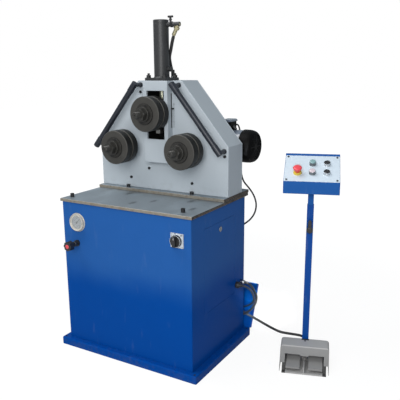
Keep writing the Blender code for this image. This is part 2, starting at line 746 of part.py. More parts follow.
def bevel(obj, width, segments=1):
    edge = obj.modifiers.new("edge", "BEVEL")
    edge.width = width
    edge.segments = segments
    edge.limit_method = "ANGLE"
    edge.angle_limit = math.radians(40)
    edge.use_clamp_overlap = True
    return obj


def combine(piece, operation, tools):
    for tool in tools:
        step = piece.modifiers.new(operation.lower(), "BOOLEAN")
        step.operation = operation
        step.solver = "EXACT"
        step.object = as_tool(tool)
    return piece


def cut(piece, *tools):
    return combine(piece, "DIFFERENCE", tools)


def join(piece, *tools):
    return combine(piece, "UNION", tools)


def ring_profile(outer, inner, top, bottom, edge):
    """A closed ring section with its outer edges chamfered."""
    return [
        (inner, top),
        (outer - edge, top),
        (outer, top - edge),
        (outer, bottom + edge),
        (outer - edge, bottom),
        (inner, bottom),
    ]


def hexagon(radius):
    return [(radius * math.cos(math.pi * k / 3), radius * math.sin(math.pi * k / 3)) for k in range(6)]


def in_metres(points):
    return [Vector(point) * MM for point in points]


def follow_cabinet(points):
    """The route with its start kept at the cabinet's side, and its end where it is."""
    moved = CABINET_SIDE_X - ROUTE_SIDE
    last = len(points) - 1
    return [point + Vector((moved * (last - k) / last, 0, 0)) for k, point in enumerate(in_metres(points))]


def smooth_route(route, diameter):
    """Even steps along a smooth curve through a cord's route, between its two straight ends."""
    fine = []
    for before, first, second, after in zip(route, route[1:], route[2:], route[3:]):
        for k in range(CURVE_SAMPLES):
            fine.append(spline_point(before, first, second, after, k / CURVE_SAMPLES))
    fine.append(route[-2])
    return [route[0]] + even_steps(fine, diameter * ROUTE_STEP_SHARE) + [route[-1]]


def spline_point(before, first, second, after, share):
    """A centripetal Catmull-Rom curve between its two middle points."""
    t0 = 0.0
    t1 = t0 + math.sqrt((first - before).length)
    t2 = t1 + math.sqrt((second - first).length)
    t3 = t2 + math.sqrt((after - second).length)
    t = t1 + (t2 - t1) * share
    a1 = before * ((t1 - t) / (t1 - t0)) + first * ((t - t0) / (t1 - t0))
    a2 = first * ((t2 - t) / (t2 - t1)) + second * ((t - t1) / (t2 - t1))
    a3 = second * ((t3 - t) / (t3 - t2)) + after * ((t - t2) / (t3 - t2))
    b1 = a1 * ((t2 - t) / (t2 - t0)) + a2 * ((t - t0) / (t2 - t0))
    b2 = a2 * ((t3 - t) / (t3 - t1)) + a3 * ((t - t1) / (t3 - t1))
    return b1 * ((t2 - t) / (t2 - t1)) + b2 * ((t - t1) / (t2 - t1))


def even_steps(points, step):
    total = sum((b - a).length for a, b in zip(points, points[1:]))
    count = max(2, round(total / step))
    result = [points[0]]
    travelled = 0.0
    for first, second in zip(points, points[1:]):
        length = (second - first).length
        while len(result) < count and travelled + length >= len(result) * total / count:
            share = (len(result) * total / count - travelled) / length
            result.append(first.lerp(second, share))
        travelled += length
    result.append(points[-1])
    return result


def report_gap(name, points, diameter):
    """Print the least gap between a tube's turns, leaving out points that are near along it."""
    near = math.ceil(math.pi * diameter / (points[1] - points[0]).length) + 1
    least = min(
        (points[i] - points[j]).length - diameter
        for i in range(len(points))
        for j in range(i + near, len(points))
    )
    print(f"{name}: least gap to itself {least / MM:.2f} mm")


# Base and cabinet


def build_plinth():
    half = PLINTH_WIDTH / 2
    low = (-half, PLINTH_FRONT_Y, 0)
    high = (half, PLINTH_BACK_Y, PLINTH_HEIGHT)
    plinth = sheet_box("base_plinth", low, high, [(0, 0, -1)], PLINTH_SHEET, PLINTH_CORNER)
    inner_front = PLINTH_FRONT_Y + PLINTH_SHEET / 2
    inner_back = PLINTH_BACK_Y - PLINTH_SHEET / 2
    rib_top = PLINTH_HEIGHT - PLINTH_SHEET / 2
    rib_half = PLINTH_RIB_WIDTH / 2
    join(plinth, box("rib", (-rib_half, inner_front, 0), (rib_half, inner_back, rib_top)))
    for side in (-1, 1):
        for back in (-1, 1):
            at = (side * (half - ANCHOR_INSET), back * (PLINTH_BACK_Y - ANCHOR_INSET), 0)
            cut(plinth, rod("anchor", ANCHOR_HOLE_RADIUS, PLINTH_HEIGHT + OVERRUN, at, steps=SMALL_STEPS))
    return finish(plinth, BLUE)


def build_cabinet():
    low = (-CABINET_SIDE_X, CABINET_FRONT_Y, PLINTH_HEIGHT + CLEARANCE)
    high = (CABINET_SIDE_X, CABINET_BACK_Y, CABINET_TOP_Z)
    shell = sheet_box("cabinet_shell", low, high, [(0, 0, -1)], CABINET_SHEET, CABINET_CORNER)
    half_door = DOOR_WIDTH / 2
    door_low = (CABINET_SIDE_X - CABINET_SHEET - OVERRUN, CABINET_MIDDLE_Y - half_door, DOOR_Z)
    door_high = (CABINET_SIDE_X + OVERRUN, CABINET_MIDDLE_Y + half_door, DOOR_Z + DOOR_HEIGHT)
    cut(shell, box("door_opening", door_low, door_high))
    front = CABINET_FRONT_Y - OVERRUN
    through = CABINET_SHEET + 2 * OVERRUN
    gauge_at = (GAUGE_X, front, GAUGE_Z)
    valve_at = (VALVE_X, front, VALVE_Z)
    switch_at = (SWITCH_X, front, SWITCH_Z)
    hole = GAUGE_BODY_RADIUS + CLEARANCE
    cut(shell, rod("gauge_hole", hole, through, gauge_at, BACKWARD, steps=FINE_STEPS))
    cut(shell, rod("valve_hole", VALVE_THREAD_RADIUS + CLEARANCE, through, valve_at, BACKWARD))
    hole = SWITCH_SHAFT_RADIUS + OVERRUN
    cut(shell, rod("switch_hole", hole, through, switch_at, BACKWARD, steps=SMALL_STEPS))
    hole = GLAND_THREAD_RADIUS + CLEARANCE
    for back in (CONTROL_GLAND_BACK, MAINS_GLAND_BACK):
        hole_at = (CABINET_SIDE_X + OVERRUN, back, GLAND_Z)
        cut(shell, rod("gland_hole", hole, through, hole_at, LEFTWARD, steps=SMALL_STEPS))
    entry = (LEAD_ENTRY_X, CABINET_BACK_Y - CABINET_SHEET / 2, LEAD_ENTRY_HEIGHT)
    reach = CABINET_SHEET / 2 + STUB_LENGTH - CLEARANCE
    neck = STUB_RADIUS * GLAND_NECK_SHARE
    join(shell, rod("lead_entry", STUB_RADIUS, reach, entry, BACKWARD, steps=SMALL_STEPS, end_radius=neck))
    return finish(shell, BLUE)


def build_door():
    frame = add_frame("door_hinge", (CABINET_SIDE_X, CABINET_MIDDLE_Y, DOOR_Z + DOOR_GAP))
    half = DOOR_WIDTH / 2 - DOOR_GAP
    top = DOOR_HEIGHT - 2 * DOOR_GAP
    door = box("access_door", (-DOOR_SHEET, -half, 0), (0, half, top), frame)
    inside = -DOOR_SHEET - DOOR_RETURN
    for side in (-1, 1):
        edges = sorted((side * half, side * (half - DOOR_SHEET)))
        join(door, box("return", (inside, edges[0], 0), (-DOOR_SHEET / 2, edges[1], top), frame))
        middle = side * DOOR_WIDTH * TAB_SPREAD_SHARE
        behind = -CABINET_SHEET - CLEARANCE
        low = (behind - DOOR_SHEET, middle - TAB_WIDTH / 2, -TAB_LENGTH)
        join(door, box("tab", low, (behind, middle + TAB_WIDTH / 2, TAB_LENGTH), frame))
        low = (behind - DOOR_SHEET / 2, middle - TAB_WIDTH / 2, DOOR_SHEET)
        join(door, box("tab_root", low, (-DOOR_SHEET / 2, middle + TAB_WIDTH / 2, TAB_LENGTH / 2), frame))
    bore_start = (OVERRUN, 0, top - LOCK_DROP)
    bore_depth = DOOR_SHEET + 2 * OVERRUN
    cut(door, rod("bore", LOCK_SHANK_RADIUS + CLEARANCE, bore_depth, bore_start, LEFTWARD, frame))
    finish(door, BLUE)
    lock_frame = add_frame("lock_axis", (0, 0, top - LOCK_DROP), parent=frame)
    build_lock(lock_frame)


def build_lock(frame):
    """The quarter-turn lock: a slotted head outside and a cam that turns up behind the wall."""
    cam_front = -CABINET_SHEET - CLEARANCE
    cam_back = cam_front - CAM_SHEET
    edge = LOCK_HEAD_RISE / 2
    profile = [
        (0, LOCK_HEAD_RISE),
        (LOCK_HEAD_RADIUS - edge, LOCK_HEAD_RISE),
        (LOCK_HEAD_RADIUS, LOCK_HEAD_RISE - edge),
        (LOCK_HEAD_RADIUS, CLEARANCE),
        (LOCK_SHANK_RADIUS, CLEARANCE),
        (LOCK_SHANK_RADIUS, cam_back),
        (0, cam_back),
    ]
    lock = turned("door_lock", profile, (0, 0, 0), RIGHTWARD, frame, SMALL_STEPS)
    cam = box("cam", (cam_back, 0, -CAM_WIDTH / 2), (cam_front, CAM_LENGTH, CAM_WIDTH / 2), frame)
    join(lock, cam)
    slot_half = LOCK_SLOT / 2
    slot_low = (LOCK_HEAD_RISE - slot_half, -slot_half, -LOCK_SHANK_RADIUS)
    slot_high = (LOCK_HEAD_RISE + OVERRUN, slot_half, LOCK_SHANK_RADIUS)
    cut(lock, box("slot", slot_low, slot_high, frame))
    finish(lock, STEEL)


def build_rear_panel():
    """The folded sheet that leans back behind the cabinet, bolted to the plinth by its foot."""
    foot_y = PLINTH_BACK_Y + CLEARANCE
    half = PLINTH_WIDTH / 2
    lean = math.atan2(PANEL_LEAN, PANEL_RISE)
    frame = add_frame("panel_lean", (0, foot_y, PLINTH_HEIGHT), (-lean, 0, 0))
    high = (half, PANEL_FLANGE, math.hypot(PANEL_LEAN, PANEL_RISE))
    open_sides = [(0, 1, 0), (0, 0, -1)]
    panel = sheet_box("rear_panel", (-half, 0, 0), high, open_sides, PANEL_SHEET, PANEL_CORNER, frame)
    foot_half = half - PANEL_CORNER
    foot_low = (-foot_half, foot_y, PLINTH_HEIGHT - PANEL_FOOT)
    foot_high = (foot_half, foot_y + PANEL_SHEET, PLINTH_HEIGHT + PANEL_SHEET / 2)
    join(panel, box("foot", foot_low, foot_high))
    return finish(panel, BLUE)


def build_plates():
    half = TABLE_WIDTH / 2
    low = (-half, TABLE_FRONT_Y, CABINET_TOP_Z + CLEARANCE)
    high = (half, TABLE_FRONT_Y + TABLE_DEPTH, TABLE_TOP_Z)
    finish(bevel(box("table_plate", low, high), PLATE_EDGE), STEEL)
    low = (-half, RISER_FRONT_Y, TABLE_TOP_Z + CLEARANCE)
    high = (half, RISER_FRONT_Y + RISER_DEPTH, RISER_TOP_Z)
    finish(bevel(box("riser_plate", low, high), PLATE_EDGE), STEEL)


# Head


def head_outline(inset):
    """The head's front view, its walls moved in by an inset."""
    half = HEAD_SIDE_X
    top_half = HEAD_TOP_WIDTH / 2
    rise = HEAD_HEIGHT - HEAD_SHOULDER
    run = half - top_half
    slope = math.hypot(run, rise)
    shoulder_z = HEAD_BASE_Z + HEAD_SHOULDER + inset * (rise - slope) / run
    top_x = top_half + inset * (run - slope) / rise
    right = [
        (half - inset, HEAD_BASE_Z + inset),
        (half - inset, shoulder_z),
        (top_x, HEAD_TOP_Z - inset),
    ]
    return right + [(-x, z) for x, z in right[::-1]]


def build_head_shell():
    depth = COVER_FRONT_Y - CLEARANCE - HEAD_FRONT_Y
    middle = (0, HEAD_FRONT_Y + depth / 2, 0)
    shell = bevel(outline("head_shell", head_outline(0), depth, middle, FRONT_VIEW), HEAD_EDGE)
    hollow_front = HEAD_FRONT_Y + HEAD_FRONT_PLATE
    hollow_back = COVER_FRONT_Y + OVERRUN
    hollow_middle = (0, (hollow_front + hollow_back) / 2, 0)
    hollow_depth = hollow_back - hollow_front
    cut(shell, outline("hollow", head_outline(HEAD_WALL), hollow_depth, hollow_middle, FRONT_VIEW))
    half = HOUSING_WIDTH / 2 + CLEARANCE
    low = (-half, HEAD_FRONT_Y - OVERRUN, HEAD_TOP_Z - HOUSING_HEIGHT - CLEARANCE)
    cut(shell, box("housing_slot", low, (half, HOUSING_BACK_Y + CLEARANCE, HEAD_TOP_Z + OVERRUN)))
    for side in (-1, 1):
        boss_at = (side * LOWER_SPREAD, HEAD_FRONT_Y + HEAD_FRONT_PLATE / 2, LOWER_Z)
        boss_length = BOSS_PROUD + HEAD_FRONT_PLATE / 2
        join(shell, rod("boss", BOSS_RADIUS, boss_length, boss_at, FORWARD, steps=FINE_STEPS))
        bore_at = (side * LOWER_SPREAD, HEAD_FRONT_Y + HEAD_FRONT_PLATE + OVERRUN, LOWER_Z)
        bore_length = BOSS_PROUD + HEAD_FRONT_PLATE + 2 * OVERRUN
        cut(shell, rod("bore", SHAFT_RADIUS + RUNNING_GAP, bore_length, bore_at, FORWARD))
    nut_height = BULKHEAD_HEIGHT + HEAD_WALL / 2
    nut_z = HEAD_TOP_Z + BULKHEAD_HEIGHT - nut_height / 2
    nut_at = (BULKHEAD_SIDE, COVER_FRONT_Y - BULKHEAD_BACK, nut_z)
    join(shell, outline("bulkhead", hexagon(BULKHEAD_RADIUS), nut_height, nut_at))
    return finish(shell, GREY)


def build_head_cover():
    middle = (0, (COVER_FRONT_Y + HEAD_BACK_Y) / 2, 0)
    cover = bevel(outline("head_cover", head_outline(0), HEAD_COVER, middle, FRONT_VIEW), HEAD_EDGE)
    bore_y = COVER_FRONT_Y - OVERRUN
    length = HEAD_COVER + 2 * OVERRUN
    for side in (-1, 1):
        at = (side * LOWER_SPREAD, bore_y, LOWER_Z)
        cut(cover, rod("bore", JOURNAL_RADIUS + RUNNING_GAP, length, at, BACKWARD))
    cut(cover, rod("bore", PINION_SHAFT_RADIUS + RUNNING_GAP, length, (0, bore_y, PINION_Z), BACKWARD))
    return finish(cover, GREY)


def build_slide_housing():
    half = HOUSING_WIDTH / 2
    bottom = HEAD_TOP_Z - HOUSING_HEIGHT
    housing = box("slide_housing", (-half, HOUSING_FRONT_Y, bottom), (half, HOUSING_BACK_Y, HEAD_TOP_Z))
    bevel(housing, HEAD_EDGE)
    inner = half - HOUSING_SIDE_WALL
    low = (-inner, HOUSING_FRONT_Y + HOUSING_END_WALL, bottom + HOUSING_FLOOR)
    cut(housing, box("slideway", low, (inner, HOUSING_BACK_Y - HOUSING_END_WALL, HEAD_TOP_Z + OVERRUN)))
    window_top = HEAD_TOP_Z - WINDOW_TOP_INSET
    window_low = (-WINDOW_WIDTH / 2, HOUSING_FRONT_Y - OVERRUN, window_top - WINDOW_HEIGHT)
    window_high = (WINDOW_WIDTH / 2, HOUSING_FRONT_Y + HOUSING_END_WALL + OVERRUN, window_top)
    cut(housing, box("window", window_low, window_high))
    pointer = pointer_box()
    slot_low = (inner - OVERRUN, pointer[0].y - RUNNING_GAP, pointer[0].z - STROKE_DOWN - DOOR_GAP)
    slot_high = (half + OVERRUN, pointer[1].y + RUNNING_GAP, pointer[1].z + STROKE_UP + DOOR_GAP)
    cut(housing, box("pointer_slot", slot_low, slot_high))
    return finish(housing, GREY)


def pointer_box():
    """Corners of the scale pointer at rest: it reaches from the block out past the housing's side."""
    back = HEAD_FRONT_Y - POINTER_SETBACK
    middle_z = UPPER_Z + POINTER_RISE
    start = HOUSING_WIDTH / 2 - HOUSING_SIDE_WALL - BLOCK_CHAMFER - OVERRUN
    low = Vector((start, back - POINTER_SHEET, middle_z - POINTER_HEIGHT / 2))
    high = Vector((HOUSING_WIDTH / 2 + POINTER_REACH, back, middle_z + POINTER_HEIGHT / 2))
    return low, high


def build_slide_block(frame):
    half = HOUSING_WIDTH / 2 - HOUSING_SIDE_WALL - CLEARANCE
    front = HOUSING_FRONT_Y + HOUSING_END_WALL + CLEARANCE
    back = HOUSING_BACK_Y - HOUSING_END_WALL - CLEARANCE
    low = (-half, front, -BLOCK_HEIGHT / 2)
    block = bevel(box("slide_block", low, (half, back, BLOCK_HEIGHT / 2), frame), BLOCK_CHAMFER)
    pointer_low, pointer_high = pointer_box()
    lift = Vector((0, 0, UPPER_Z))
    join(block, box("pointer", pointer_low - lift, pointer_high - lift, frame))
    bore_depth = back - front - HOUSING_END_WALL + OVERRUN
    bore_at = (0, front - OVERRUN, 0)
    cut(block, rod("bearing", SHAFT_RADIUS + RUNNING_GAP, bore_depth, bore_at, BACKWARD, frame))
    seat = (0, HOUSING_MIDDLE_Y, BLOCK_HEIGHT / 2 - ROD_SEAT)
    cut(block, rod("rod_seat", ROD_RADIUS + CLEARANCE, ROD_SEAT + OVERRUN, seat, UP, frame))
    return finish(block, DARK_STEEL)


def build_guide_bar(side, name):
    """A round bar along the head's slope, with a sleeve and a standoff pin at each end."""
    axis_y = HEAD_FRONT_Y - BAR_STANDOFF
    top = Vector((side * BAR_TOP_SPREAD, axis_y, HEAD_TOP_Z - BAR_TOP_DROP))
    bottom = Vector((side * BAR_BOTTOM_SPREAD, axis_y, HEAD_TOP_Z - BAR_BOTTOM_DROP))
    along = bottom - top
    lean = math.atan2(-along.x, -along.z)
    turn = (0, lean, 0)
    length = along.length
    edge = BAR_SLEEVE_RADIUS - BAR_RADIUS
    sleeve = BAR_SLEEVE_LENGTH
    profile = [
        (0, length),
        (BAR_SLEEVE_RADIUS - edge, length),
        (BAR_SLEEVE_RADIUS, length - edge),
        (BAR_SLEEVE_RADIUS, length - sleeve),
        (BAR_RADIUS, length - sleeve),
        (BAR_RADIUS, sleeve),
        (BAR_SLEEVE_RADIUS, sleeve),
        (BAR_SLEEVE_RADIUS, edge),
        (BAR_SLEEVE_RADIUS - edge, 0),
        (0, 0),
    ]
    bar = turned(name, profile, bottom, turn, steps=SMALL_STEPS)
    step = along.normalized() * PIN_INSET
    for end in (top + step, bottom - step):
        join(bar, rod("pin", PIN_RADIUS, BAR_STANDOFF - CLEARANCE, end, BACKWARD, steps=SMALL_STEPS))
    return finish(bar, BLACK)


# Rollers


def build_shaft(name, frame, shoulder_end, journal_end=None):
    """A roller shaft: threaded tip, plain length, shoulder behind the rollers and a rear journal."""
    front = -(ROLLER_FACE_Y - SHAFT_TIP_REACH)
    step = -(ROLLER_FACE_Y - HUB_RISE / 2)
    shoulder = -(ROLLER_BACK_Y + CLEARANCE)
    end = -shoulder_end
    profile = [
        (0, front - CENTRE_HOLE_DEPTH),
        (CENTRE_HOLE_RADIUS, front),
        (THREAD_RADIUS - SHAFT_TIP_CHAMFER, front),
        (THREAD_RADIUS, front - SHAFT_TIP_CHAMFER),
        (THREAD_RADIUS, step),
        (SHAFT_RADIUS, step),
        (SHAFT_RADIUS, shoulder),
        (SHOULDER_RADIUS, shoulder),
        (SHOULDER_RADIUS, end),
        (SHAFT_RADIUS, end),
    ]
    if journal_end is None:
        last = -(HOUSING_BACK_Y - 2 * HOUSING_END_WALL - SHAFT_END_MARGIN)
        profile += [(SHAFT_RADIUS, last), (0, last)]
    else:
        journal = -(COVER_FRONT_Y - SHAFT_END_MARGIN)
        profile += [
            (SHAFT_RADIUS, journal),
            (JOURNAL_RADIUS, journal),
            (JOURNAL_RADIUS, -journal_end),
            (0, -journal_end),
        ]
    return finish(turned(name, profile, (0, 0, 0), FORWARD, frame, SHAFT_STEPS), DARK_STEEL)


def build_front_roller(name, frame):
    top = -ROLLER_FACE_Y
    bottom = top - ROLLER_WIDTH
    bore = SHAFT_RADIUS + CLEARANCE
    profile = [
        (bore, top + HUB_RISE),
        (HUB_RADIUS, top + HUB_RISE),
        (HUB_RADIUS, top),
        (ROLLER_RADIUS - ROLLER_CHAMFER, top),
        (ROLLER_RADIUS, top - ROLLER_CHAMFER),
        (ROLLER_RADIUS, bottom + ROLLER_CHAMFER),
        (ROLLER_RADIUS - ROLLER_CHAMFER, bottom),
        (bore, bottom),
    ]
    return finish(turned(name, profile, (0, 0, 0), FORWARD, frame, FINE_STEPS, closed=True), BLACK)


def build_rear_roller(name, frame):
    """The rear ring, with the narrow shoulder that keeps the groove open between the two."""
    top = -(ROLLER_FACE_Y + ROLLER_WIDTH + GROOVE_WIDTH)
    bottom = top - ROLLER_WIDTH
    bore = SHAFT_RADIUS + CLEARANCE
    profile = [
        (bore, top + GROOVE_WIDTH - CLEARANCE),
        (GROOVE_RADIUS, top + GROOVE_WIDTH - CLEARANCE),
        (GROOVE_RADIUS, top),
        (ROLLER_RADIUS - ROLLER_CHAMFER, top),
        (ROLLER_RADIUS, top - ROLLER_CHAMFER),
        (ROLLER_RADIUS, bottom + ROLLER_CHAMFER),
        (ROLLER_RADIUS - ROLLER_CHAMFER, bottom),
        (bore, bottom),
    ]
    return finish(turned(name, profile, (0, 0, 0), FORWARD, frame, FINE_STEPS, closed=True), BLACK)


def build_lock_nut(name, frame):
    """A hexagon nut made in one with its round collar."""
    seat = -(ROLLER_FACE_Y - HUB_RISE) + CLEARANCE
    collar = ring_profile(COLLAR_RADIUS, 0, seat + COLLAR_WIDTH, seat, NUT_CHAMFER)
    nut = turned(name, collar, (0, 0, 0), FORWARD, frame, SHAFT_STEPS)
    start = seat + COLLAR_WIDTH - NUT_CHAMFER
    length = NUT_WIDTH + NUT_CHAMFER
    prism = outline("hexagon", hexagon(NUT_RADIUS), length, (0, -start - length / 2, 0), FORWARD, frame)
    join(nut, prism)
    bore_at = (0, -seat + OVERRUN, 0)
    bore_length = COLLAR_WIDTH + NUT_WIDTH + 2 * OVERRUN
    bore = THREAD_RADIUS + CLEARANCE
    cut(nut, rod("thread", bore, bore_length, bore_at, FORWARD, frame, SHAFT_STEPS))
    return finish(nut, BLACK)


def build_roller_set(hand, frame, shoulder_end, journal_end=None):
    build_shaft(hand + "_shaft", frame, shoulder_end, journal_end)
    build_front_roller(hand + "_front_roller", frame)
    build_rear_roller(hand + "_rear_roller", frame)
    build_lock_nut(hand + "_lock_nut", frame)


# Gear train


def involute(angle):
    return math.tan(angle) - angle


def gear_points(teeth, phase):
    """The outline of a spur gear with involute flanks, one tooth centred on the phase angle."""
    pitch = GEAR_MODULE * teeth / 2
    base = pitch * math.cos(PRESSURE_ANGLE)
    tip = pitch + GEAR_MODULE * ADDENDUM_SHARE
    root = pitch - GEAR_MODULE * DEDENDUM_SHARE
    half_pitch_angle = (math.pi * GEAR_MODULE / 2 - GEAR_BACKLASH) / 2 / pitch
    start = max(root, base)
    points = []
    for tooth in range(teeth):
        middle = phase + 2 * math.pi * tooth / teeth
        flank = []
        for k in range(FLANK_POINTS):
            radius = start + (tip - start) * k / (FLANK_POINTS - 1)
            shift = involute(PRESSURE_ANGLE) - involute(math.acos(min(1.0, base / radius)))
            flank.append((radius, half_pitch_angle + shift))
        flank.insert(0, (root, flank[0][1]))
        sides = [(r, middle - a) for r, a in flank] + [(r, middle + a) for r, a in flank[::-1]]
        points += [(r * math.cos(a), r * math.sin(a)) for r, a in sides]
    return points


def build_gear(name, frame, phase):
    """A spur gear with a thinner web between its rim and its hub."""
    middle = (0, (GEAR_FRONT_Y + GEAR_BACK_Y) / 2, 0)
    gear = outline(name, gear_points(GEAR_TEETH, phase), GEAR_WIDTH, middle, FRONT_VIEW, frame)
    top = WEB_RECESS + OVERRUN
    recess = [(WEB_INNER_RADIUS, top), (WEB_OUTER_RADIUS, top), (WEB_OUTER_RADIUS, 0), (WEB_INNER_RADIUS, 0)]
    front = (0, GEAR_FRONT_Y + WEB_RECESS, 0)
    back = (0, GEAR_BACK_Y - WEB_RECESS, 0)
    cut(gear, turned("web", recess, front, FORWARD, frame, closed=True))
    cut(gear, turned("web", recess, back, BACKWARD, frame, closed=True))
    bore_at = (0, GEAR_FRONT_Y - OVERRUN, 0)
    bore_length = GEAR_WIDTH + 2 * OVERRUN
    bore_radius = SHAFT_RADIUS + CLEARANCE
    cut(gear, rod("bore", bore_radius, bore_length, bore_at, BACKWARD, frame, FINE_STEPS))
    return finish(gear, STEEL)


def build_pinion(frame, phase):
    middle = (0, (GEAR_FRONT_Y + GEAR_BACK_Y) / 2, 0)
    pinion = outline("drive_pinion", gear_points(PINION_TEETH, phase), GEAR_WIDTH, middle, FRONT_VIEW, frame)
    start = (GEAR_FRONT_Y + GEAR_BACK_Y) / 2
    end = GEARBOX_FRONT_Y + GEARBOX_LENGTH - GEARBOX_FLANGE
    join(pinion, rod("shaft", PINION_SHAFT_RADIUS, end - start, (0, start, 0), BACKWARD, frame))
    return finish(pinion, STEEL)


def mesh_phases():
    """Tooth phases of the left gear, the pinion and the right gear that put them in mesh."""
    to_right = math.atan2(-PINION_DROP, LOWER_SPREAD)
    left = to_right
    back_to_left = to_right + math.pi
    pinion = back_to_left + math.pi / PINION_TEETH
    to_right_gear = math.atan2(PINION_DROP, LOWER_SPREAD)
    turns = PINION_TEETH * (to_right_gear - pinion)
    right = to_right_gear + math.pi - (math.pi - turns) / GEAR_TEETH
    return left, pinion, right


# Drive


def build_gearbox():
    edge = GEARBOX_EDGE
    end = GEARBOX_LENGTH
    profile = [
        (0, end),
        (GEARBOX_RADIUS - edge, end),
        (GEARBOX_RADIUS, end - edge),
        (GEARBOX_RADIUS, GEARBOX_FLANGE),
        (GEARBOX_FLANGE_RADIUS, GEARBOX_FLANGE),
        (GEARBOX_FLANGE_RADIUS, 0),
        (0, 0),
    ]
    gearbox = turned("gearbox", profile, (0, GEARBOX_FRONT_Y, PINION_Z), BACKWARD)
    bell_end = WORM_RIGHT + BELL_LENGTH
    worm = [
        (0, bell_end),
        (MOTOR_FLANGE_RADIUS, bell_end),
        (MOTOR_FLANGE_RADIUS, bell_end - MOTOR_FLANGE),
        (WORM_RADIUS, WORM_RIGHT),
        (WORM_RADIUS, -WORM_LEFT + edge),
        (WORM_RADIUS - edge, -WORM_LEFT),
        (0, -WORM_LEFT),
    ]
    join(gearbox, turned("worm_tube", worm, (0, MOTOR_Y, MOTOR_Z), RIGHTWARD))
    bore_at = (0, GEARBOX_FRONT_Y - OVERRUN, PINION_Z)
    bore_depth = GEARBOX_LENGTH - GEARBOX_FLANGE / 2 + OVERRUN
    cut(gearbox, rod("bore", PINION_SHAFT_RADIUS + RUNNING_GAP, bore_depth, bore_at, BACKWARD))
    return finish(gearbox, BLUE)


def build_motor():
    body_end = MOTOR_START_X + MOTOR_FLANGE + MOTOR_LENGTH
    end = body_end + COWL_LENGTH
    profile = [
        (0, end),
        (COWL_RADIUS - COWL_EDGE, end),
        (COWL_RADIUS - COWL_EDGE / 3, end - COWL_EDGE / 3),
        (COWL_RADIUS, end - COWL_EDGE),
        (COWL_RADIUS, body_end),
        (MOTOR_RADIUS, body_end),
        (MOTOR_RADIUS, MOTOR_START_X + MOTOR_FLANGE),
        (MOTOR_FLANGE_RADIUS, MOTOR_START_X + MOTOR_FLANGE),
        (MOTOR_FLANGE_RADIUS, MOTOR_START_X),
        (0, MOTOR_START_X),
    ]
    motor = turned("drive_motor", profile, (0, MOTOR_Y, MOTOR_Z), RIGHTWARD)
    left = MOTOR_START_X + TERMINAL_START
    half = TERMINAL_DEPTH / 2
    top = MOTOR_Z + TERMINAL_TOP
    low = (left, MOTOR_Y - half, MOTOR_Z + MOTOR_RADIUS / 2)
    case = box("terminal_box", low, (left + TERMINAL_WIDTH, MOTOR_Y + half, top))
    join(motor, bevel(case, TERMINAL_EDGE))
    middle_x = left + TERMINAL_WIDTH / 2
    stub_z = top - TERMINAL_SIDE_PLUG - TERMINAL_LID
    rear = (middle_x, MOTOR_Y + half - TERMINAL_EDGE, stub_z)
    neck = STUB_RADIUS * GLAND_NECK_SHARE
    reach = STUB_LENGTH + TERMINAL_EDGE
    join(motor, rod("lead_gland", STUB_RADIUS, reach, rear, BACKWARD, steps=SMALL_STEPS, end_radius=neck))
    right = (left + TERMINAL_WIDTH - TERMINAL_EDGE, MOTOR_Y, stub_z)
    join(motor, rod("side_gland", STUB_RADIUS, reach, right, RIGHTWARD, steps=SMALL_STEPS, end_radius=neck))
    return finish(motor, BLACK)


# Press cylinder


def build_cylinder():
    length = CYLINDER_LENGTH
    profile = [
        (0, length),
        (CYLINDER_RADIUS - CYLINDER_EDGE, length),
        (CYLINDER_RADIUS, length - CYLINDER_EDGE),
        (CYLINDER_RADIUS, FLANGE_THICKNESS / 2),
        (0, FLANGE_THICKNESS / 2),
    ]
    base = (0, HOUSING_MIDDLE_Y, CYLINDER_BASE_Z)
    half = FLANGE_WIDTH / 2
    low = (-half, HOUSING_MIDDLE_Y - half, CYLINDER_BASE_Z)
    high = (half, HOUSING_MIDDLE_Y + half, CYLINDER_BASE_Z + FLANGE_THICKNESS)
    barrel = bevel(box("cylinder_barrel", low, high), PLATE_EDGE)
    join(barrel, turned("barrel", profile, base))
    start = (CYLINDER_RADIUS - CYLINDER_CAP / 2, HOUSING_MIDDLE_Y, PORT_Z)
    join(barrel, rod("port", PORT_RADIUS, PORT_REACH - start[0], start, RIGHTWARD, steps=SMALL_STEPS))
    low_start = (start[0], HOUSING_MIDDLE_Y, CYLINDER_BASE_Z + LOWER_PORT_RISE)
    low_reach = LOWER_PORT_REACH - start[0]
    join(barrel, rod("low_port", PORT_RADIUS, low_reach, low_start, RIGHTWARD, steps=SMALL_STEPS))
    elbow = (ELBOW_REACH, HOUSING_MIDDLE_Y, PORT_Z)
    tilt = (0, math.pi + ELBOW_TILT, 0)
    join(barrel, rod("elbow", ELBOW_RADIUS, ELBOW_LENGTH + PORT_RADIUS, elbow, tilt, steps=SMALL_STEPS))
    drop = PORT_RADIUS + ELBOW_LENGTH + ELBOW_NUT_LENGTH / 2 - PLATE_EDGE
    nut_x = ELBOW_REACH - drop * math.sin(ELBOW_TILT)
    nut_at = (nut_x, HOUSING_MIDDLE_Y, PORT_Z - drop * math.cos(ELBOW_TILT))
    join(barrel, outline("elbow_nut", hexagon(ELBOW_NUT_RADIUS), ELBOW_NUT_LENGTH, nut_at, tilt))
    cavity = [
        (0, length - CYLINDER_CAP),
        (CYLINDER_BORE_RADIUS, length - CYLINDER_CAP),
        (CYLINDER_BORE_RADIUS, GLAND_LENGTH),
        (ROD_RADIUS + RUNNING_GAP, GLAND_LENGTH),
        (ROD_RADIUS + RUNNING_GAP, -OVERRUN),
        (0, -OVERRUN),
    ]
    cut(barrel, turned("bore", cavity, base))
    seat = (BLEED_REACH, HOUSING_MIDDLE_Y, PORT_Z + PORT_RADIUS - BLEED_SEAT)
    seat_depth = BLEED_SEAT + OVERRUN
    cut(barrel, rod("bleed_seat", BLEED_STEM_RADIUS + CLEARANCE, seat_depth, seat, steps=SMALL_STEPS))
    return finish(barrel, BLACK)


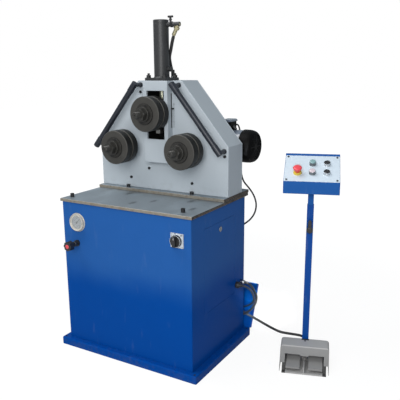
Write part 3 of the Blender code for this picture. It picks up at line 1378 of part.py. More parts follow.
def build_piston_rod(frame):
    bottom = BLOCK_HEIGHT / 2 - ROD_SEAT + CLEARANCE
    top = CYLINDER_TOP_Z - CYLINDER_CAP - STROKE_UP - PISTON_MARGIN - UPPER_Z
    piston = CYLINDER_BORE_RADIUS - RUNNING_GAP
    profile = [
        (0, top),
        (piston, top),
        (piston, top - PISTON_LENGTH),
        (ROD_RADIUS, top - PISTON_LENGTH),
        (ROD_RADIUS, bottom),
        (0, bottom),
    ]
    return finish(turned("piston_rod", profile, (0, HOUSING_MIDDLE_Y, 0), UP, frame), STEEL)


def build_bleed_knob():
    frame = add_frame("bleed_axis", (BLEED_REACH, HOUSING_MIDDLE_Y, PORT_Z + PORT_RADIUS))
    top = BLEED_NECK + BLEED_HEAD
    edge = BLEED_HEAD / 4
    profile = [
        (0, top),
        (BLEED_HEAD_RADIUS - edge, top),
        (BLEED_HEAD_RADIUS, top - edge),
        (BLEED_HEAD_RADIUS, BLEED_NECK + edge),
        (BLEED_HEAD_RADIUS - edge, BLEED_NECK),
        (BLEED_STEM_RADIUS, BLEED_NECK),
        (BLEED_STEM_RADIUS, CLEARANCE - BLEED_SEAT),
        (0, CLEARANCE - BLEED_SEAT),
    ]
    knob = turned("bleed_knob", profile, (0, 0, 0), UP, frame, SMALL_STEPS)
    keep = BLEED_BAR_WIDTH / 2
    far = BLEED_HEAD_RADIUS + OVERRUN
    for side in (-1, 1):
        edges = sorted((side * keep, side * far))
        low = (-far, edges[0], BLEED_NECK - OVERRUN)
        cut(knob, box("flat", low, (far, edges[1], top + OVERRUN), frame))
    return finish(knob, BLACK)


# Gauge, valve and switch on the cabinet's front


def build_gauge():
    frame = add_frame("gauge_axis", (GAUGE_X, CABINET_FRONT_Y, GAUGE_Z))
    top = GAUGE_PROUD
    floor = top - GAUGE_DIAL_DEPTH
    back = -GAUGE_BODY_LENGTH
    profile = [
        (0, floor),
        (GAUGE_DIAL_RADIUS, floor),
        (GAUGE_DIAL_RADIUS, top),
        (GAUGE_BEZEL_RADIUS - KNOB_EDGE, top),
        (GAUGE_BEZEL_RADIUS, top - KNOB_EDGE),
        (GAUGE_BEZEL_RADIUS, GAUGE_FLANGE),
        (GAUGE_RADIUS, GAUGE_FLANGE),
        (GAUGE_RADIUS, CLEARANCE),
        (GAUGE_BODY_RADIUS, CLEARANCE),
        (GAUGE_BODY_RADIUS, back),
        (GAUGE_STEM_RADIUS, back),
        (GAUGE_STEM_RADIUS, back - GAUGE_STEM_LENGTH),
        (0, back - GAUGE_STEM_LENGTH),
    ]
    finish(turned("gauge_case", profile, (0, 0, 0), FORWARD, frame), STEEL)
    build_needle(frame, floor)


def build_needle(frame, floor):
    """A tapered pointer on a round hub, set at its reading in the picture of the machine."""
    half = NEEDLE_WIDTH / 2
    tip = half / 4
    right = [(half, -NEEDLE_TAIL), (half, 0), (tip, NEEDLE_LENGTH)]
    points = right + [(-x, z) for x, z in right[::-1]]
    middle = floor + CLEARANCE + NEEDLE_SHEET / 2
    pivot = add_frame("needle_axis", (0, -middle, 0), (0, NEEDLE_TURN, 0), frame)
    needle = outline("gauge_needle", points, NEEDLE_SHEET, (0, 0, 0), FRONT_VIEW, pivot)
    hub_at = (0, NEEDLE_SHEET / 2 - CLEARANCE / 2, 0)
    hub = rod("hub", NEEDLE_HUB_RADIUS, 2 * NEEDLE_SHEET, hub_at, FORWARD, pivot, SMALL_STEPS)
    join(needle, hub)
    return finish(needle, BLACK)


def build_valve():
    frame = add_frame("valve_axis", (VALVE_X, CABINET_FRONT_Y, VALVE_Z))
    neck_end = VALVE_NUT_WIDTH + VALVE_NECK_LENGTH
    inside = -CABINET_SHEET - VALVE_BLOCK_GAP
    profile = [
        (0, neck_end + VALVE_STEM_LENGTH),
        (VALVE_STEM_RADIUS, neck_end + VALVE_STEM_LENGTH),
        (VALVE_STEM_RADIUS, neck_end),
        (VALVE_NECK_RADIUS, neck_end),
        (VALVE_NECK_RADIUS, CLEARANCE + KNOB_EDGE),
        (VALVE_THREAD_RADIUS, CLEARANCE + KNOB_EDGE),
        (VALVE_THREAD_RADIUS, inside - KNOB_EDGE),
        (0, inside - KNOB_EDGE),
    ]
    body = turned("valve_body", profile, (0, 0, 0), FORWARD, frame, SMALL_STEPS)
    nut_at = (0, -CLEARANCE - VALVE_NUT_WIDTH / 2, 0)
    join(body, outline("nut", hexagon(VALVE_NUT_RADIUS), VALVE_NUT_WIDTH, nut_at, FORWARD, frame))
    half = VALVE_BLOCK_WIDTH / 2
    low = (-half, -inside, -half)
    join(body, box("block", low, (half, -inside + VALVE_BLOCK_DEPTH, half), frame))
    finish(body, BLACK)
    build_valve_knob(frame, neck_end)


def build_valve_knob(frame, neck_end):
    """A lobed hand knob with a round cap on its face."""
    steps = KNOB_LOBES * LOBE_STEPS
    points = []
    for k in range(steps):
        angle = 2 * math.pi * k / steps
        radius = KNOB_RADIUS * (1 + KNOB_LOBE_SHARE * math.cos(KNOB_LOBES * angle))
        points.append((radius * math.cos(angle), radius * math.sin(angle)))
    start = neck_end + CLEARANCE
    middle = (0, -start - KNOB_LENGTH / 2, 0)
    knob = outline("valve_knob", points, KNOB_LENGTH, middle, FORWARD, frame)
    bevel(knob, KNOB_EDGE)
    cap_at = (0, -start - KNOB_LENGTH + KNOB_CAP_RISE, 0)
    join(knob, rod("cap", KNOB_CAP_RADIUS, 2 * KNOB_CAP_RISE, cap_at, FORWARD, frame))
    bore_at = (0, -neck_end + OVERRUN, 0)
    depth = VALVE_STEM_LENGTH + OVERRUN + CLEARANCE
    cut(knob, rod("bore", VALVE_STEM_RADIUS + CLEARANCE, depth, bore_at, FORWARD, frame, SMALL_STEPS))
    return finish(knob, BLACK)


def build_switch():
    frame = add_frame("switch_axis", (SWITCH_X, CABINET_FRONT_Y, SWITCH_Z))
    half = SWITCH_WIDTH / 2
    front = -CLEARANCE - SWITCH_THICKNESS
    plate = box("switch_plate", (-half, front, -half), (half, -CLEARANCE, half), frame)
    bevel(plate, SWITCH_EDGE)
    ring_at = (0, front + SWITCH_THICKNESS / 2, 0)
    ring_length = SWITCH_RING_RISE + SWITCH_THICKNESS / 2
    join(plate, rod("ring", SWITCH_RING_RADIUS, ring_length, ring_at, FORWARD, frame, FINE_STEPS))
    bore_at = (0, OVERRUN, 0)
    bore_length = -front + SWITCH_RING_RISE + 2 * OVERRUN
    bore = SWITCH_SHAFT_RADIUS + RUNNING_GAP
    cut(plate, rod("bore", bore, bore_length, bore_at, FORWARD, frame, SMALL_STEPS))
    finish(plate, WHITE)
    build_switch_knob(frame, front - SWITCH_RING_RISE)


def build_switch_knob(frame, face):
    dial_at = (0, face - CLEARANCE, 0)
    knob = rod("switch_knob", SWITCH_DIAL_RADIUS, SWITCH_DIAL, dial_at, FORWARD, frame)
    bevel(knob, KNOB_EDGE / 2)
    half = SWITCH_GRIP_WIDTH / 2
    reach = SWITCH_DIAL_RADIUS - SWITCH_GRIP_EDGE
    front = face - CLEARANCE - SWITCH_DIAL
    low = (-half, front - SWITCH_GRIP_RISE, -reach)
    grip = box("grip", low, (half, front + SWITCH_DIAL / 2, reach), frame)
    join(knob, bevel(grip, SWITCH_GRIP_EDGE, 2))
    shaft_at = (0, CABINET_SHEET + SWITCH_DIAL, 0)
    length = CABINET_SHEET + SWITCH_DIAL - front - SWITCH_DIAL / 2
    join(knob, rod("shaft", SWITCH_SHAFT_RADIUS, length, shaft_at, FORWARD, frame, SMALL_STEPS))
    return finish(knob, BLACK)


def build_power_pack():
    left = TANK_SIDE - TANK_WIDTH / 2
    front = TANK_CENTRE_BACK - TANK_DEPTH / 2
    bottom = PLINTH_HEIGHT + CLEARANCE
    top = bottom + TANK_HEIGHT
    tank = box("power_pack", (left, front, bottom), (left + TANK_WIDTH, front + TANK_DEPTH, top))
    bevel(tank, TANK_EDGE, 2)
    lip = TANK_LID_LIP
    lid_low = (left - lip, front - lip, top - TANK_EDGE)
    lid_high = (left + TANK_WIDTH + lip, front + TANK_DEPTH + lip, top + TANK_LID)
    join(tank, box("lid", lid_low, lid_high))
    motor_at = (TANK_SIDE - PUMP_SIDE, TANK_CENTRE_BACK, top)
    join(tank, rod("pump_motor", PUMP_MOTOR_RADIUS, PUMP_MOTOR_HEIGHT, motor_at, steps=FINE_STEPS))
    block_left = TANK_SIDE + MANIFOLD_SIDE - MANIFOLD_WIDTH / 2
    block_front = TANK_CENTRE_BACK - MANIFOLD_WIDTH / 2
    low = (block_left, block_front, top)
    high = (block_left + MANIFOLD_WIDTH, block_front + MANIFOLD_WIDTH, top + TANK_LID + MANIFOLD_HEIGHT)
    join(tank, box("manifold", low, high))
    filler_at = (TANK_SIDE + FILLER_SIDE, TANK_CENTRE_BACK + FILLER_BACK, top)
    join(tank, rod("filler", FILLER_RADIUS, FILLER_HEIGHT, filler_at, steps=SMALL_STEPS))
    return finish(tank, BLUE)


# Cables


def build_gland(name, back, radius, length, cable, material):
    """A cable gland: hexagon foot, tapering dome nut and the threaded end in the wall."""
    neck = cable / 2 + (radius - cable / 2) * (1 - GLAND_NECK_SHARE)
    body = radius * GLAND_NECK_SHARE
    profile = [
        (0, length),
        (neck, length),
        (body, length / 2),
        (body, GLAND_HEX_LENGTH),
        (radius, GLAND_HEX_LENGTH),
        (radius, CLEARANCE),
        (GLAND_THREAD_RADIUS, CLEARANCE),
        (GLAND_THREAD_RADIUS, -GLAND_THREAD_LENGTH),
        (0, -GLAND_THREAD_LENGTH),
    ]
    at = (CABINET_SIDE_X, back, GLAND_Z)
    return finish(turned(name, profile, at, RIGHTWARD, steps=SMALL_STEPS), material)


def build_cords():
    control = (CONTROL_GLAND_BACK, CONTROL_GLAND_RADIUS, CONTROL_GLAND_LENGTH)
    mains = (MAINS_GLAND_BACK, MAINS_GLAND_RADIUS, MAINS_GLAND_LENGTH)
    build_gland("control_gland", *control, CONTROL_CABLE, STEEL)
    build_gland("mains_gland", *mains, MAINS_CABLE, BLACK)
    routes = [
        ("control_cable", follow_cabinet(CONTROL_ROUTE), CONTROL_CABLE),
        ("mains_cable", follow_cabinet(MAINS_ROUTE), MAINS_CABLE),
        ("motor_lead", follow_cabinet(LEAD_ROUTE[::-1])[::-1], MOTOR_LEAD),
        ("pressure_hose", in_metres(HOSE_ROUTE), PRESSURE_HOSE),
    ]
    for name, route, diameter in routes:
        points = smooth_route(route, diameter)
        report_gap(name, points, diameter)
        finish(tube(name, points, diameter), RUBBER)


def coil_points():
    """The coil's centreline: spiralling in on the floor, out again on top, then up to the plug."""
    turn_step = MAINS_CABLE + COIL_TURN_GAP
    low = MAINS_CABLE / 2 + COIL_FLOOR_GAP
    plug_z = PLUG_COLLAR_RADIUS + COIL_FLOOR_GAP
    total = COIL_TURNS + COIL_END_SHARE
    middle = total / 2
    count = round(total * COIL_POINTS)
    points = []
    for k in range(count + 1):
        turn = total * k / count
        climb = min(1.0, max(0.0, (turn - middle + COIL_CLIMB_SHARE) / (2 * COIL_CLIMB_SHARE)))
        leave = min(1.0, max(0.0, (turn - COIL_TURNS + COIL_END_SHARE) / (2 * COIL_END_SHARE)))
        ease = leave * leave * (3 - 2 * leave)
        radius = COIL_INNER_RADIUS + turn_step * abs(turn - middle) + COIL_TAIL_SWING * ease
        height = low + turn_step * climb
        height += (plug_z - height) * ease
        angle = 2 * math.pi * turn
        across = COIL_SIDE + radius * math.cos(angle)
        back = COIL_BACK + radius * math.sin(angle)
        points.append(Vector((across, back, height)))
    first = points[0] - Vector((0, MAINS_CABLE, 0))
    last = points[-1] - Vector((MAINS_CABLE, 0, 0))
    return [first] + points + [last]


def build_coil():
    points = coil_points()
    report_gap("mains_coil", points[1:-1], MAINS_CABLE)
    finish(tube("mains_coil", points, MAINS_CABLE), RUBBER)
    build_plug(points[-1])


def build_plug(cable_end):
    """An industrial mains plug lying on the floor: strain relief, body, and a collar round its pins."""
    length = PLUG_RELIEF_LENGTH + PLUG_BODY_LENGTH + PLUG_COLLAR_LENGTH
    collar_start = PLUG_RELIEF_LENGTH + PLUG_BODY_LENGTH
    inner = PLUG_COLLAR_RADIUS - PLUG_WALL
    profile = [
        (0, length - PLUG_RECESS),
        (inner, length - PLUG_RECESS),
        (inner, length),
        (PLUG_COLLAR_RADIUS, length),
        (PLUG_COLLAR_RADIUS, collar_start),
        (PLUG_RADIUS, collar_start),
        (PLUG_RADIUS, PLUG_RELIEF_LENGTH + KNOB_EDGE),
        (PLUG_RADIUS - KNOB_EDGE, PLUG_RELIEF_LENGTH),
        (MAINS_CABLE, PLUG_RELIEF_LENGTH),
        (MAINS_CABLE * GLAND_NECK_SHARE, 0),
        (0, 0),
    ]
    at = (cable_end.x - CLEARANCE, cable_end.y, cable_end.z)
    plug = turned("mains_plug", profile, at, LEFTWARD, steps=SMALL_STEPS)
    start = length - PLUG_RECESS - KNOB_EDGE
    for k in range(PLUG_PINS):
        angle = 2 * math.pi * k / PLUG_PINS
        y = cable_end.y + PLUG_PIN_CIRCLE * math.cos(angle)
        z = cable_end.z + PLUG_PIN_CIRCLE * math.sin(angle)
        pin_at = (at[0] - start, y, z)
        length = PLUG_PIN_LENGTH + KNOB_EDGE
        join(plug, rod("pin", PLUG_PIN_RADIUS, length, pin_at, LEFTWARD, steps=PIN_STEPS))
    return finish(plug, RED)


# Control stand


def build_stand_base(frame):
    half = FOOT_WIDTH / 2
    plate = box("stand_base", (-half, -FOOT_FRONT, 0), (half, FOOT_BACK, FOOT_PLATE), frame)
    lip_low = (-half, -FOOT_FRONT, FOOT_PLATE / 2)
    join(plate, box("front_lip", lip_low, (half, -FOOT_FRONT + FOOT_PLATE, FOOT_LIP), frame))
    gap = HOOD_SHEET + HOOD_GAP
    foot = FOOT_PLATE / 2
    cheek = [
        (-CHEEK_BACK, foot),
        (-CHEEK_BACK, CHEEK_HEIGHT),
        (hood_front(CHEEK_HEIGHT, gap), CHEEK_HEIGHT),
        (hood_front(foot, gap), foot),
    ]
    for side in (-1, 1):
        at = (side * (half - CHEEK_WIDTH / 2), 0, 0)
        join(plate, outline("cheek", cheek, CHEEK_WIDTH, at, SIDE_VIEW, frame))
    low = (-DIVIDER_WIDTH / 2, -FOOT_FRONT + FOOT_PLATE / 2, FOOT_PLATE / 2)
    join(plate, box("divider", low, (DIVIDER_WIDTH / 2, -CHEEK_BACK, DIVIDER_HEIGHT), frame))
    bracket = BRACKET_WIDTH / 2
    low = (-bracket, -PEDAL_PIN_FRONT - bracket, FOOT_PLATE / 2)
    bracket_top = HOOD_HEIGHT - HOOD_SHEET - CLEARANCE
    join(plate, box("hood_bracket", low, (bracket, -CHEEK_BACK, bracket_top), frame))
    pin_at = (-half + CHEEK_WIDTH / 2, -PEDAL_PIN_FRONT, PEDAL_PIN_HEIGHT)
    pin_length = FOOT_WIDTH - CHEEK_WIDTH
    join(plate, rod("pedal_pin", PEDAL_PIN_RADIUS, pin_length, pin_at, RIGHTWARD, frame, SMALL_STEPS))
    post_half = POST_WIDTH / 2
    low = (-post_half, -post_half, FOOT_PLATE / 2)
    join(plate, box("post", low, (post_half, post_half, POST_TOP), frame))
    entry_at = (0, post_half - POST_WALL / 2, CABLE_ENTRY_HEIGHT)
    reach = CABLE_ENTRY_REACH - entry_at[1]
    neck = CABLE_ENTRY_RADIUS * GLAND_NECK_SHARE
    join(plate, rod("cable_entry", CABLE_ENTRY_RADIUS, reach, entry_at, BACKWARD, frame, SMALL_STEPS, neck))
    bore_half = post_half - POST_WALL
    low = (-bore_half, -bore_half, POST_TOP - UPPER_POST_INSERT - UPPER_POST_DROP)
    cut(plate, box("post_bore", low, (bore_half, bore_half, POST_TOP + OVERRUN), frame))
    clamp_at = (0, -post_half - OVERRUN, CLAMP_HEIGHT)
    hole_length = POST_WALL + 2 * OVERRUN
    hole_radius = CLAMP_SCREW_RADIUS + CLEARANCE
    cut(plate, rod("clamp_hole", hole_radius, hole_length, clamp_at, BACKWARD, frame, SMALL_STEPS))
    return finish(plate, BLUE)


def hood_front(height, inset):
    """How far forward the hood's sloping front lies at a height, moved in by an inset."""
    run = HOOD_TOE_FRONT - HOOD_TOP_FRONT
    rise = HOOD_HEIGHT - HOOD_TOE_HEIGHT
    return -HOOD_TOE_FRONT + inset * math.hypot(run, rise) / rise + (height - HOOD_TOE_HEIGHT) * run / rise


def hood_profile(inset):
    """The pedal hood's side view, its top, front and back moved in by an inset."""
    top = HOOD_HEIGHT - inset
    bottom = HOOD_FLOOR_GAP if inset == 0 else -OVERRUN
    back = -HOOD_BACK if inset == 0 else OVERRUN
    toe = hood_front(HOOD_TOE_HEIGHT, inset)
    return [(back, bottom), (back, top), (hood_front(top, inset), top), (toe, HOOD_TOE_HEIGHT), (toe, bottom)]


def build_hood(frame):
    """The pressed steel hood over the pedals, arched over each pedal and cut down to its side wings."""
    inner_width = HOOD_WIDTH - 2 * HOOD_SHEET
    hood = outline("pedal_hood", hood_profile(0), HOOD_WIDTH, (0, 0, 0), SIDE_VIEW, frame)
    combine(hood, "INTERSECT", [hood_section(0, frame)])
    hollow = outline("hollow", hood_profile(HOOD_SHEET), inner_width, (0, 0, 0), SIDE_VIEW, frame)
    combine(hollow, "INTERSECT", [hood_section(HOOD_SHEET, frame)])
    cut(hood, hollow)
    front = -HOOD_TOE_FRONT - OVERRUN
    back = -HOOD_BACK + OVERRUN
    arch_half = HOOD_ARCH_WIDTH / 2
    arch_front = -HOOD_TOP_FRONT - HOOD_SHEET
    low = (-arch_half, front, -OVERRUN)
    cut(hood, box("opening", low, (arch_half, arch_front, HOOD_TONGUE_HEIGHT), frame))
    tongue = HOOD_TONGUE_WIDTH / 2
    for side in (-1, 1):
        edges = sorted((side * tongue, side * arch_half))
        low = (edges[0], front, HOOD_LEG_HEIGHT)
        cut(hood, box("arch", low, (edges[1], arch_front, HOOD_ARCH_HEIGHT), frame))
    leg_half = inner_width / 2
    cut(hood, box("leg", (-leg_half, front, -OVERRUN), (leg_half, arch_front, HOOD_LEG_HEIGHT), frame))
    notch = HOOD_NOTCH_WIDTH / 2
    notch_low = (-notch, -HOOD_BACK - HOOD_NOTCH_DEPTH, HOOD_HEIGHT - HOOD_CORNER)
    cut(hood, box("post_notch", notch_low, (notch, back, HOOD_HEIGHT + OVERRUN), frame))
    return finish(hood, GREY_STEEL)


def hood_section(inset, frame):
    """The hood's front view with its two rounded top corners, as deep as the hood and more."""
    half = HOOD_WIDTH / 2 - inset
    corner = HOOD_CORNER - inset
    top = HOOD_HEIGHT - inset
    points = [(-half, -2 * OVERRUN), (half, -2 * OVERRUN)]
    for side in (1, -1):
        angles = [QUARTER * k / CORNER_STEPS for k in range(CORNER_STEPS + 1)]
        for angle in angles[::side]:
            x = side * (half - corner + corner * math.cos(angle))
            points.append((x, top - corner + corner * math.sin(angle)))
    depth = 2 * (HOOD_TOE_FRONT + OVERRUN)
    return outline("section", points, depth, (0, 0, 0), FRONT_VIEW, frame)


def build_pedal(name, side, stand):
    """A foot pedal: a barrel on the pin, a sloping plate, and a turned down lip."""
    frame = add_frame(name + "_axis", (side * PEDAL_CENTRE, -PEDAL_PIN_FRONT, PEDAL_PIN_HEIGHT), parent=stand)
    half = PEDAL_WIDTH / 2
    top = PEDAL_BARREL_RADIUS
    front_top = top - PEDAL_DROP
    plate = [
        (0, top),
        (-PEDAL_REACH, front_top),
        (-PEDAL_REACH, front_top - PEDAL_LIP),
        (-PEDAL_REACH + PEDAL_PLATE, front_top - PEDAL_LIP),
        (-PEDAL_REACH + PEDAL_PLATE, front_top - PEDAL_PLATE),
        (0, top - PEDAL_PLATE),
    ]
    pedal = outline(name, plate, PEDAL_WIDTH, (0, 0, 0), SIDE_VIEW, frame)
    join(pedal, rod("barrel", PEDAL_BARREL_RADIUS, PEDAL_WIDTH, (-half, 0, 0), RIGHTWARD, frame))
    bore_at = (-half - OVERRUN, 0, 0)
    bore_length = PEDAL_WIDTH + 2 * OVERRUN
    bore = PEDAL_PIN_RADIUS + RUNNING_GAP
    cut(pedal, rod("bore", bore, bore_length, bore_at, RIGHTWARD, frame, SMALL_STEPS))
    return finish(pedal, GREY_STEEL)


def build_clamp(stand):
    """The clamp lever: a hub on the post's front, an arm up from it and the screw that holds the tube."""
    frame = add_frame("clamp_axis", (0, -POST_WIDTH / 2, CLAMP_HEIGHT), parent=stand)
    screw_end = POST_WIDTH / 2 - UPPER_POST_WIDTH / 2 - CLEARANCE
    profile = [
        (0, CLAMP_HUB_LENGTH),
        (CLAMP_HUB_RADIUS - CLAMP_EDGE, CLAMP_HUB_LENGTH),
        (CLAMP_HUB_RADIUS, CLAMP_HUB_LENGTH - CLAMP_EDGE),
        (CLAMP_HUB_RADIUS, CLEARANCE),
        (CLAMP_SCREW_RADIUS, CLEARANCE),
        (CLAMP_SCREW_RADIUS, -screw_end),
        (0, -screw_end),
    ]
    lever = turned("clamp_lever", profile, (0, 0, 0), FORWARD, frame, SMALL_STEPS)
    half = CLAMP_ARM_WIDTH / 2
    front = -CLAMP_HUB_LENGTH + CLAMP_EDGE
    low = (-half, front, 0)
    arm = box("arm", low, (half, front + CLAMP_ARM_THICKNESS, CLAMP_ARM_LENGTH), frame)
    join(lever, bevel(arm, CLAMP_EDGE, 2))
    return finish(lever, BLACK)


def box_profile(inset):
    """The control box's side view, its walls moved in by an inset."""
    back = BOX_BACK - inset
    bottom = BOX_BOTTOM + inset
    front = -BOX_FRONT + inset
    drop = inset / math.cos(BOX_SLOPE_ANGLE) - inset * math.tan(BOX_SLOPE_ANGLE)
    front_top = BOX_SLOPE_Z - drop
    slope_end = -BOX_FRONT + BOX_SLOPE_RUN
    if inset == 0:
        high = BOX_SLOPE_Z + BOX_SLOPE_RISE
        lip = high + BOX_LIP_RISE
        rear = [(back, bottom), (back, lip), (slope_end, lip), (slope_end, high)]
        return [(front, bottom)] + rear + [(front, front_top)]
    high = front_top + (back - front) * math.tan(BOX_SLOPE_ANGLE)
    return [(front, bottom), (back, bottom), (back, high), (front, front_top)]


def build_control_box(lift, panel):
    """The sloping control box, welded on the post that slides in the stand."""
    shell = outline("control_box", box_profile(0), BOX_WIDTH, (0, 0, 0), SIDE_VIEW, lift)
    bevel(shell, BOX_EDGE)
    inner_width = BOX_WIDTH - 2 * BOX_SHEET
    half = UPPER_POST_WIDTH / 2
    low = (-half, -half, POST_TOP - UPPER_POST_INSERT)
    join(shell, box("post", low, (half, half, BOX_BOTTOM + BOX_SHEET), lift))
    cut(shell, outline("hollow", box_profile(BOX_SHEET), inner_width, (0, 0, 0), SIDE_VIEW, lift))
    wall = half - POST_WALL
    bore_low = (-wall, -wall, POST_TOP - UPPER_POST_INSERT - OVERRUN)
    cut(shell, box("wire_way", bore_low, (wall, wall, BOX_BOTTOM + BOX_SHEET + OVERRUN), lift))
    depth = 2 * BOX_SHEET + 2 * OVERRUN
    for across, along in button_places():
        at = (across, along, OVERRUN)
        cut(shell, rod("stem_hole", BUTTON_STEM_RADIUS + RUNNING_GAP, depth, at, DOWN, panel, SMALL_STEPS))
    return finish(shell, BLUE)


def button_places():
    """Places on the panel, across and up its slope: stop mushroom first, then the four push buttons."""
    return [
        (PANEL_LEFT, PANEL_ROW_LOW),
        (PANEL_MIDDLE, PANEL_ROW_HIGH),
        (PANEL_MIDDLE, PANEL_ROW_LOW),
        (PANEL_RIGHT, PANEL_ROW_HIGH),
        (PANEL_RIGHT, PANEL_ROW_LOW),
    ]


def build_panel(panel):
    half = BOX_WIDTH / 2 - PANEL_MARGIN
    low = (-half, PANEL_MARGIN, CLEARANCE)
    high = (half, BOX_SLOPE_LENGTH - PANEL_MARGIN, CLEARANCE + PANEL_PLATE)
    plate = box("control_panel", low, high, panel)
    base = CLEARANCE + PANEL_PLATE / 2
    places = button_places()
    for index, (across, along) in enumerate(places):
        radius = ESTOP_COLLAR_RADIUS if index == 0 else BEZEL_RADIUS
        rise = ESTOP_COLLAR_RISE if index == 0 else BEZEL_RISE
        top = base + rise
        profile = [(0, top), (radius - BEZEL_EDGE, top), (radius, top - BEZEL_EDGE), (radius, base), (0, base)]
        join(plate, turned("bezel", profile, (across, along, 0), UP, panel, SMALL_STEPS))
    for index, (across, along) in enumerate(places):
        bore = ESTOP_NECK_RADIUS if index == 0 else BUTTON_RADIUS
        at = (across, along, -OVERRUN)
        length = ESTOP_COLLAR_RISE + PANEL_PLATE + 2 * OVERRUN
        cut(plate, rod("bore", bore + RUNNING_GAP, length, at, UP, panel, SMALL_STEPS))
    return finish(plate, WHITE)


def build_button(name, spot, panel, material):
    """A push button with a stem through the box's face and a shoulder that stops it."""
    frame = add_frame(name + "_axis", (*spot, CLEARANCE + PANEL_PLATE), parent=panel)
    head = [
        (0, BUTTON_RISE),
        (BUTTON_RADIUS - BUTTON_EDGE, BUTTON_RISE),
        (BUTTON_RADIUS, BUTTON_RISE - BUTTON_EDGE),
    ]
    profile = head + button_stem()
    return finish(turned(name, profile, (0, 0, 0), UP, frame, SMALL_STEPS), material)


def build_lamp_button(name, spot, panel, material):
    """A lit push button, whose lens is wider than the ring under it and stands over it."""
    frame = add_frame(name + "_axis", (*spot, CLEARANCE + PANEL_PLATE), parent=panel)
    under = BEZEL_RISE + LAMP_LIFT
    lens = [
        (0, LAMP_RISE),
        (LAMP_RADIUS - 2 * BUTTON_EDGE, LAMP_RISE),
        (LAMP_RADIUS, LAMP_RISE - 2 * BUTTON_EDGE),
        (LAMP_RADIUS, under),
        (BUTTON_RADIUS, under),
    ]
    profile = lens + button_stem()
    return finish(turned(name, profile, (0, 0, 0), UP, frame, SMALL_STEPS), material)


def button_stem():
    """The lower part of a button's outline, from its shoulder down."""
    foot = BUTTON_SHOULDER - PANEL_PLATE
    return [
        (BUTTON_RADIUS, foot),
        (BUTTON_STEM_RADIUS, foot),
        (BUTTON_STEM_RADIUS, -BUTTON_STEM_LENGTH),
        (0, -BUTTON_STEM_LENGTH),
    ]


def build_estop(panel):
    """The mushroom head of the stop switch, domed on top and waisted over its collar."""
    frame = add_frame("estop_axis", (PANEL_LEFT, PANEL_ROW_LOW, CLEARANCE + PANEL_PLATE), parent=panel)
    under = ESTOP_RISE - ESTOP_HEAD
    foot = ESTOP_SHOULDER - PANEL_PLATE
    shoulder = ESTOP_HEAD_RADIUS - ESTOP_HEAD / 4
    profile = [
        (0, ESTOP_RISE),
        (ESTOP_HEAD_RADIUS / 2, ESTOP_RISE - ESTOP_HEAD / 16),
        (shoulder, ESTOP_RISE - ESTOP_HEAD / 5),
        (ESTOP_HEAD_RADIUS, ESTOP_RISE - ESTOP_HEAD / 2),
        (ESTOP_HEAD_RADIUS, under + ESTOP_HEAD / 5),
        (shoulder, under),
        (ESTOP_NECK_RADIUS, under - ESTOP_HEAD / 3),
        (ESTOP_NECK_RADIUS, foot),
        (BUTTON_STEM_RADIUS, foot),
        (BUTTON_STEM_RADIUS, -BUTTON_STEM_LENGTH),
        (0, -BUTTON_STEM_LENGTH),
    ]
    return finish(turned("estop_cap", profile, (0, 0, 0), UP, frame, SMALL_STEPS), RED)


def build_stand():
    stand = add_frame("stand_frame", (STAND_SIDE, STAND_BACK, 0), (0, 0, STAND_TURN))
    build_stand_base(stand)
    build_hood(stand)
    build_pedal("left_pedal", -1, stand)
    build_pedal("right_pedal", 1, stand)
    build_clamp(stand)
    lift = add_frame("box_slide", (0, 0, 0), parent=stand)
    slope = (BOX_SLOPE_ANGLE, 0, 0)
    panel = add_frame("panel_face", (0, -BOX_FRONT, BOX_SLOPE_Z), slope, lift)
    build_control_box(lift, panel)
    build_panel(panel)
    build_estop(panel)
    places = button_places()
    build_lamp_button("start_button", places[1], panel, GREEN)
    build_lamp_button("stop_button", places[2], panel, WHITE)
    build_button("up_button", places[3], panel, BLACK)
    build_button("down_button", places[4], panel, BLACK)


def build_rollers():
    slide = add_frame("press_slide", (0, 0, UPPER_Z))
    build_slide_block(slide)
    build_piston_rod(slide)
    block_front = HOUSING_FRONT_Y + HOUSING_END_WALL
    build_roller_set("upper", add_frame("upper_axis", (0, 0, 0), parent=slide), block_front)
    left_phase, pinion_phase, right_phase = mesh_phases()
    boss_front = HEAD_FRONT_Y - BOSS_PROUD - CLEARANCE
    for hand, side, phase in (("left", -1, left_phase), ("right", 1, right_phase)):
        frame = add_frame(hand + "_axis", (side * LOWER_SPREAD, 0, LOWER_Z))
        build_roller_set(hand, frame, boss_front, HEAD_BACK_Y - SHAFT_END_MARGIN)
        build_gear(hand + "_gear", frame, phase)
    build_pinion(add_frame("pinion_axis", (0, 0, PINION_Z)), pinion_phase)


def build_machine():
    build_plinth()
    build_cabinet()
    build_door()
    build_rear_panel()
    build_plates()
    build_head_shell()
    build_head_cover()
    build_slide_housing()
    build_guide_bar(-1, "left_guide_bar")
    build_guide_bar(1, "right_guide_bar")
    build_rollers()
    build_gearbox()
    build_motor()
    build_cylinder()
    build_bleed_knob()
    build_gauge()
    build_valve()
    build_switch()
    build_power_pack()
    build_cords()
    build_coil()
    build_stand()


clear_scene()
PARTS = new_collection("profile_bending_machine")
CUTTERS = new_collection("cutters")
BLUE = new_material("cabinet_blue", (0.02, 0.11, 0.34), 0.4)
GREY = new_material("head_grey", (0.5, 0.55, 0.58), 0.45)
GREY_STEEL = new_material("pedal_grey", (0.26, 0.26, 0.26), 0.5, 0.3)
BLACK = new_material("black_oxide", (0.03, 0.03, 0.03), 0.5, 0.3)
DARK_STEEL = new_material("dark_steel", (0.12, 0.12, 0.12), 0.4, 0.8)
STEEL = new_material("bare_steel", (0.45, 0.46, 0.47), 0.35, 0.9)
RUBBER = new_material("cable_black", (0.015, 0.015, 0.016), 0.6)
WHITE = new_material("panel_white", (0.75, 0.82, 0.85), 0.4)
RED = new_material("signal_red", (0.7, 0.02, 0.02), 0.4)
GREEN = new_material("signal_green", (0.2, 0.5, 0.35), 0.35)
build_machine()
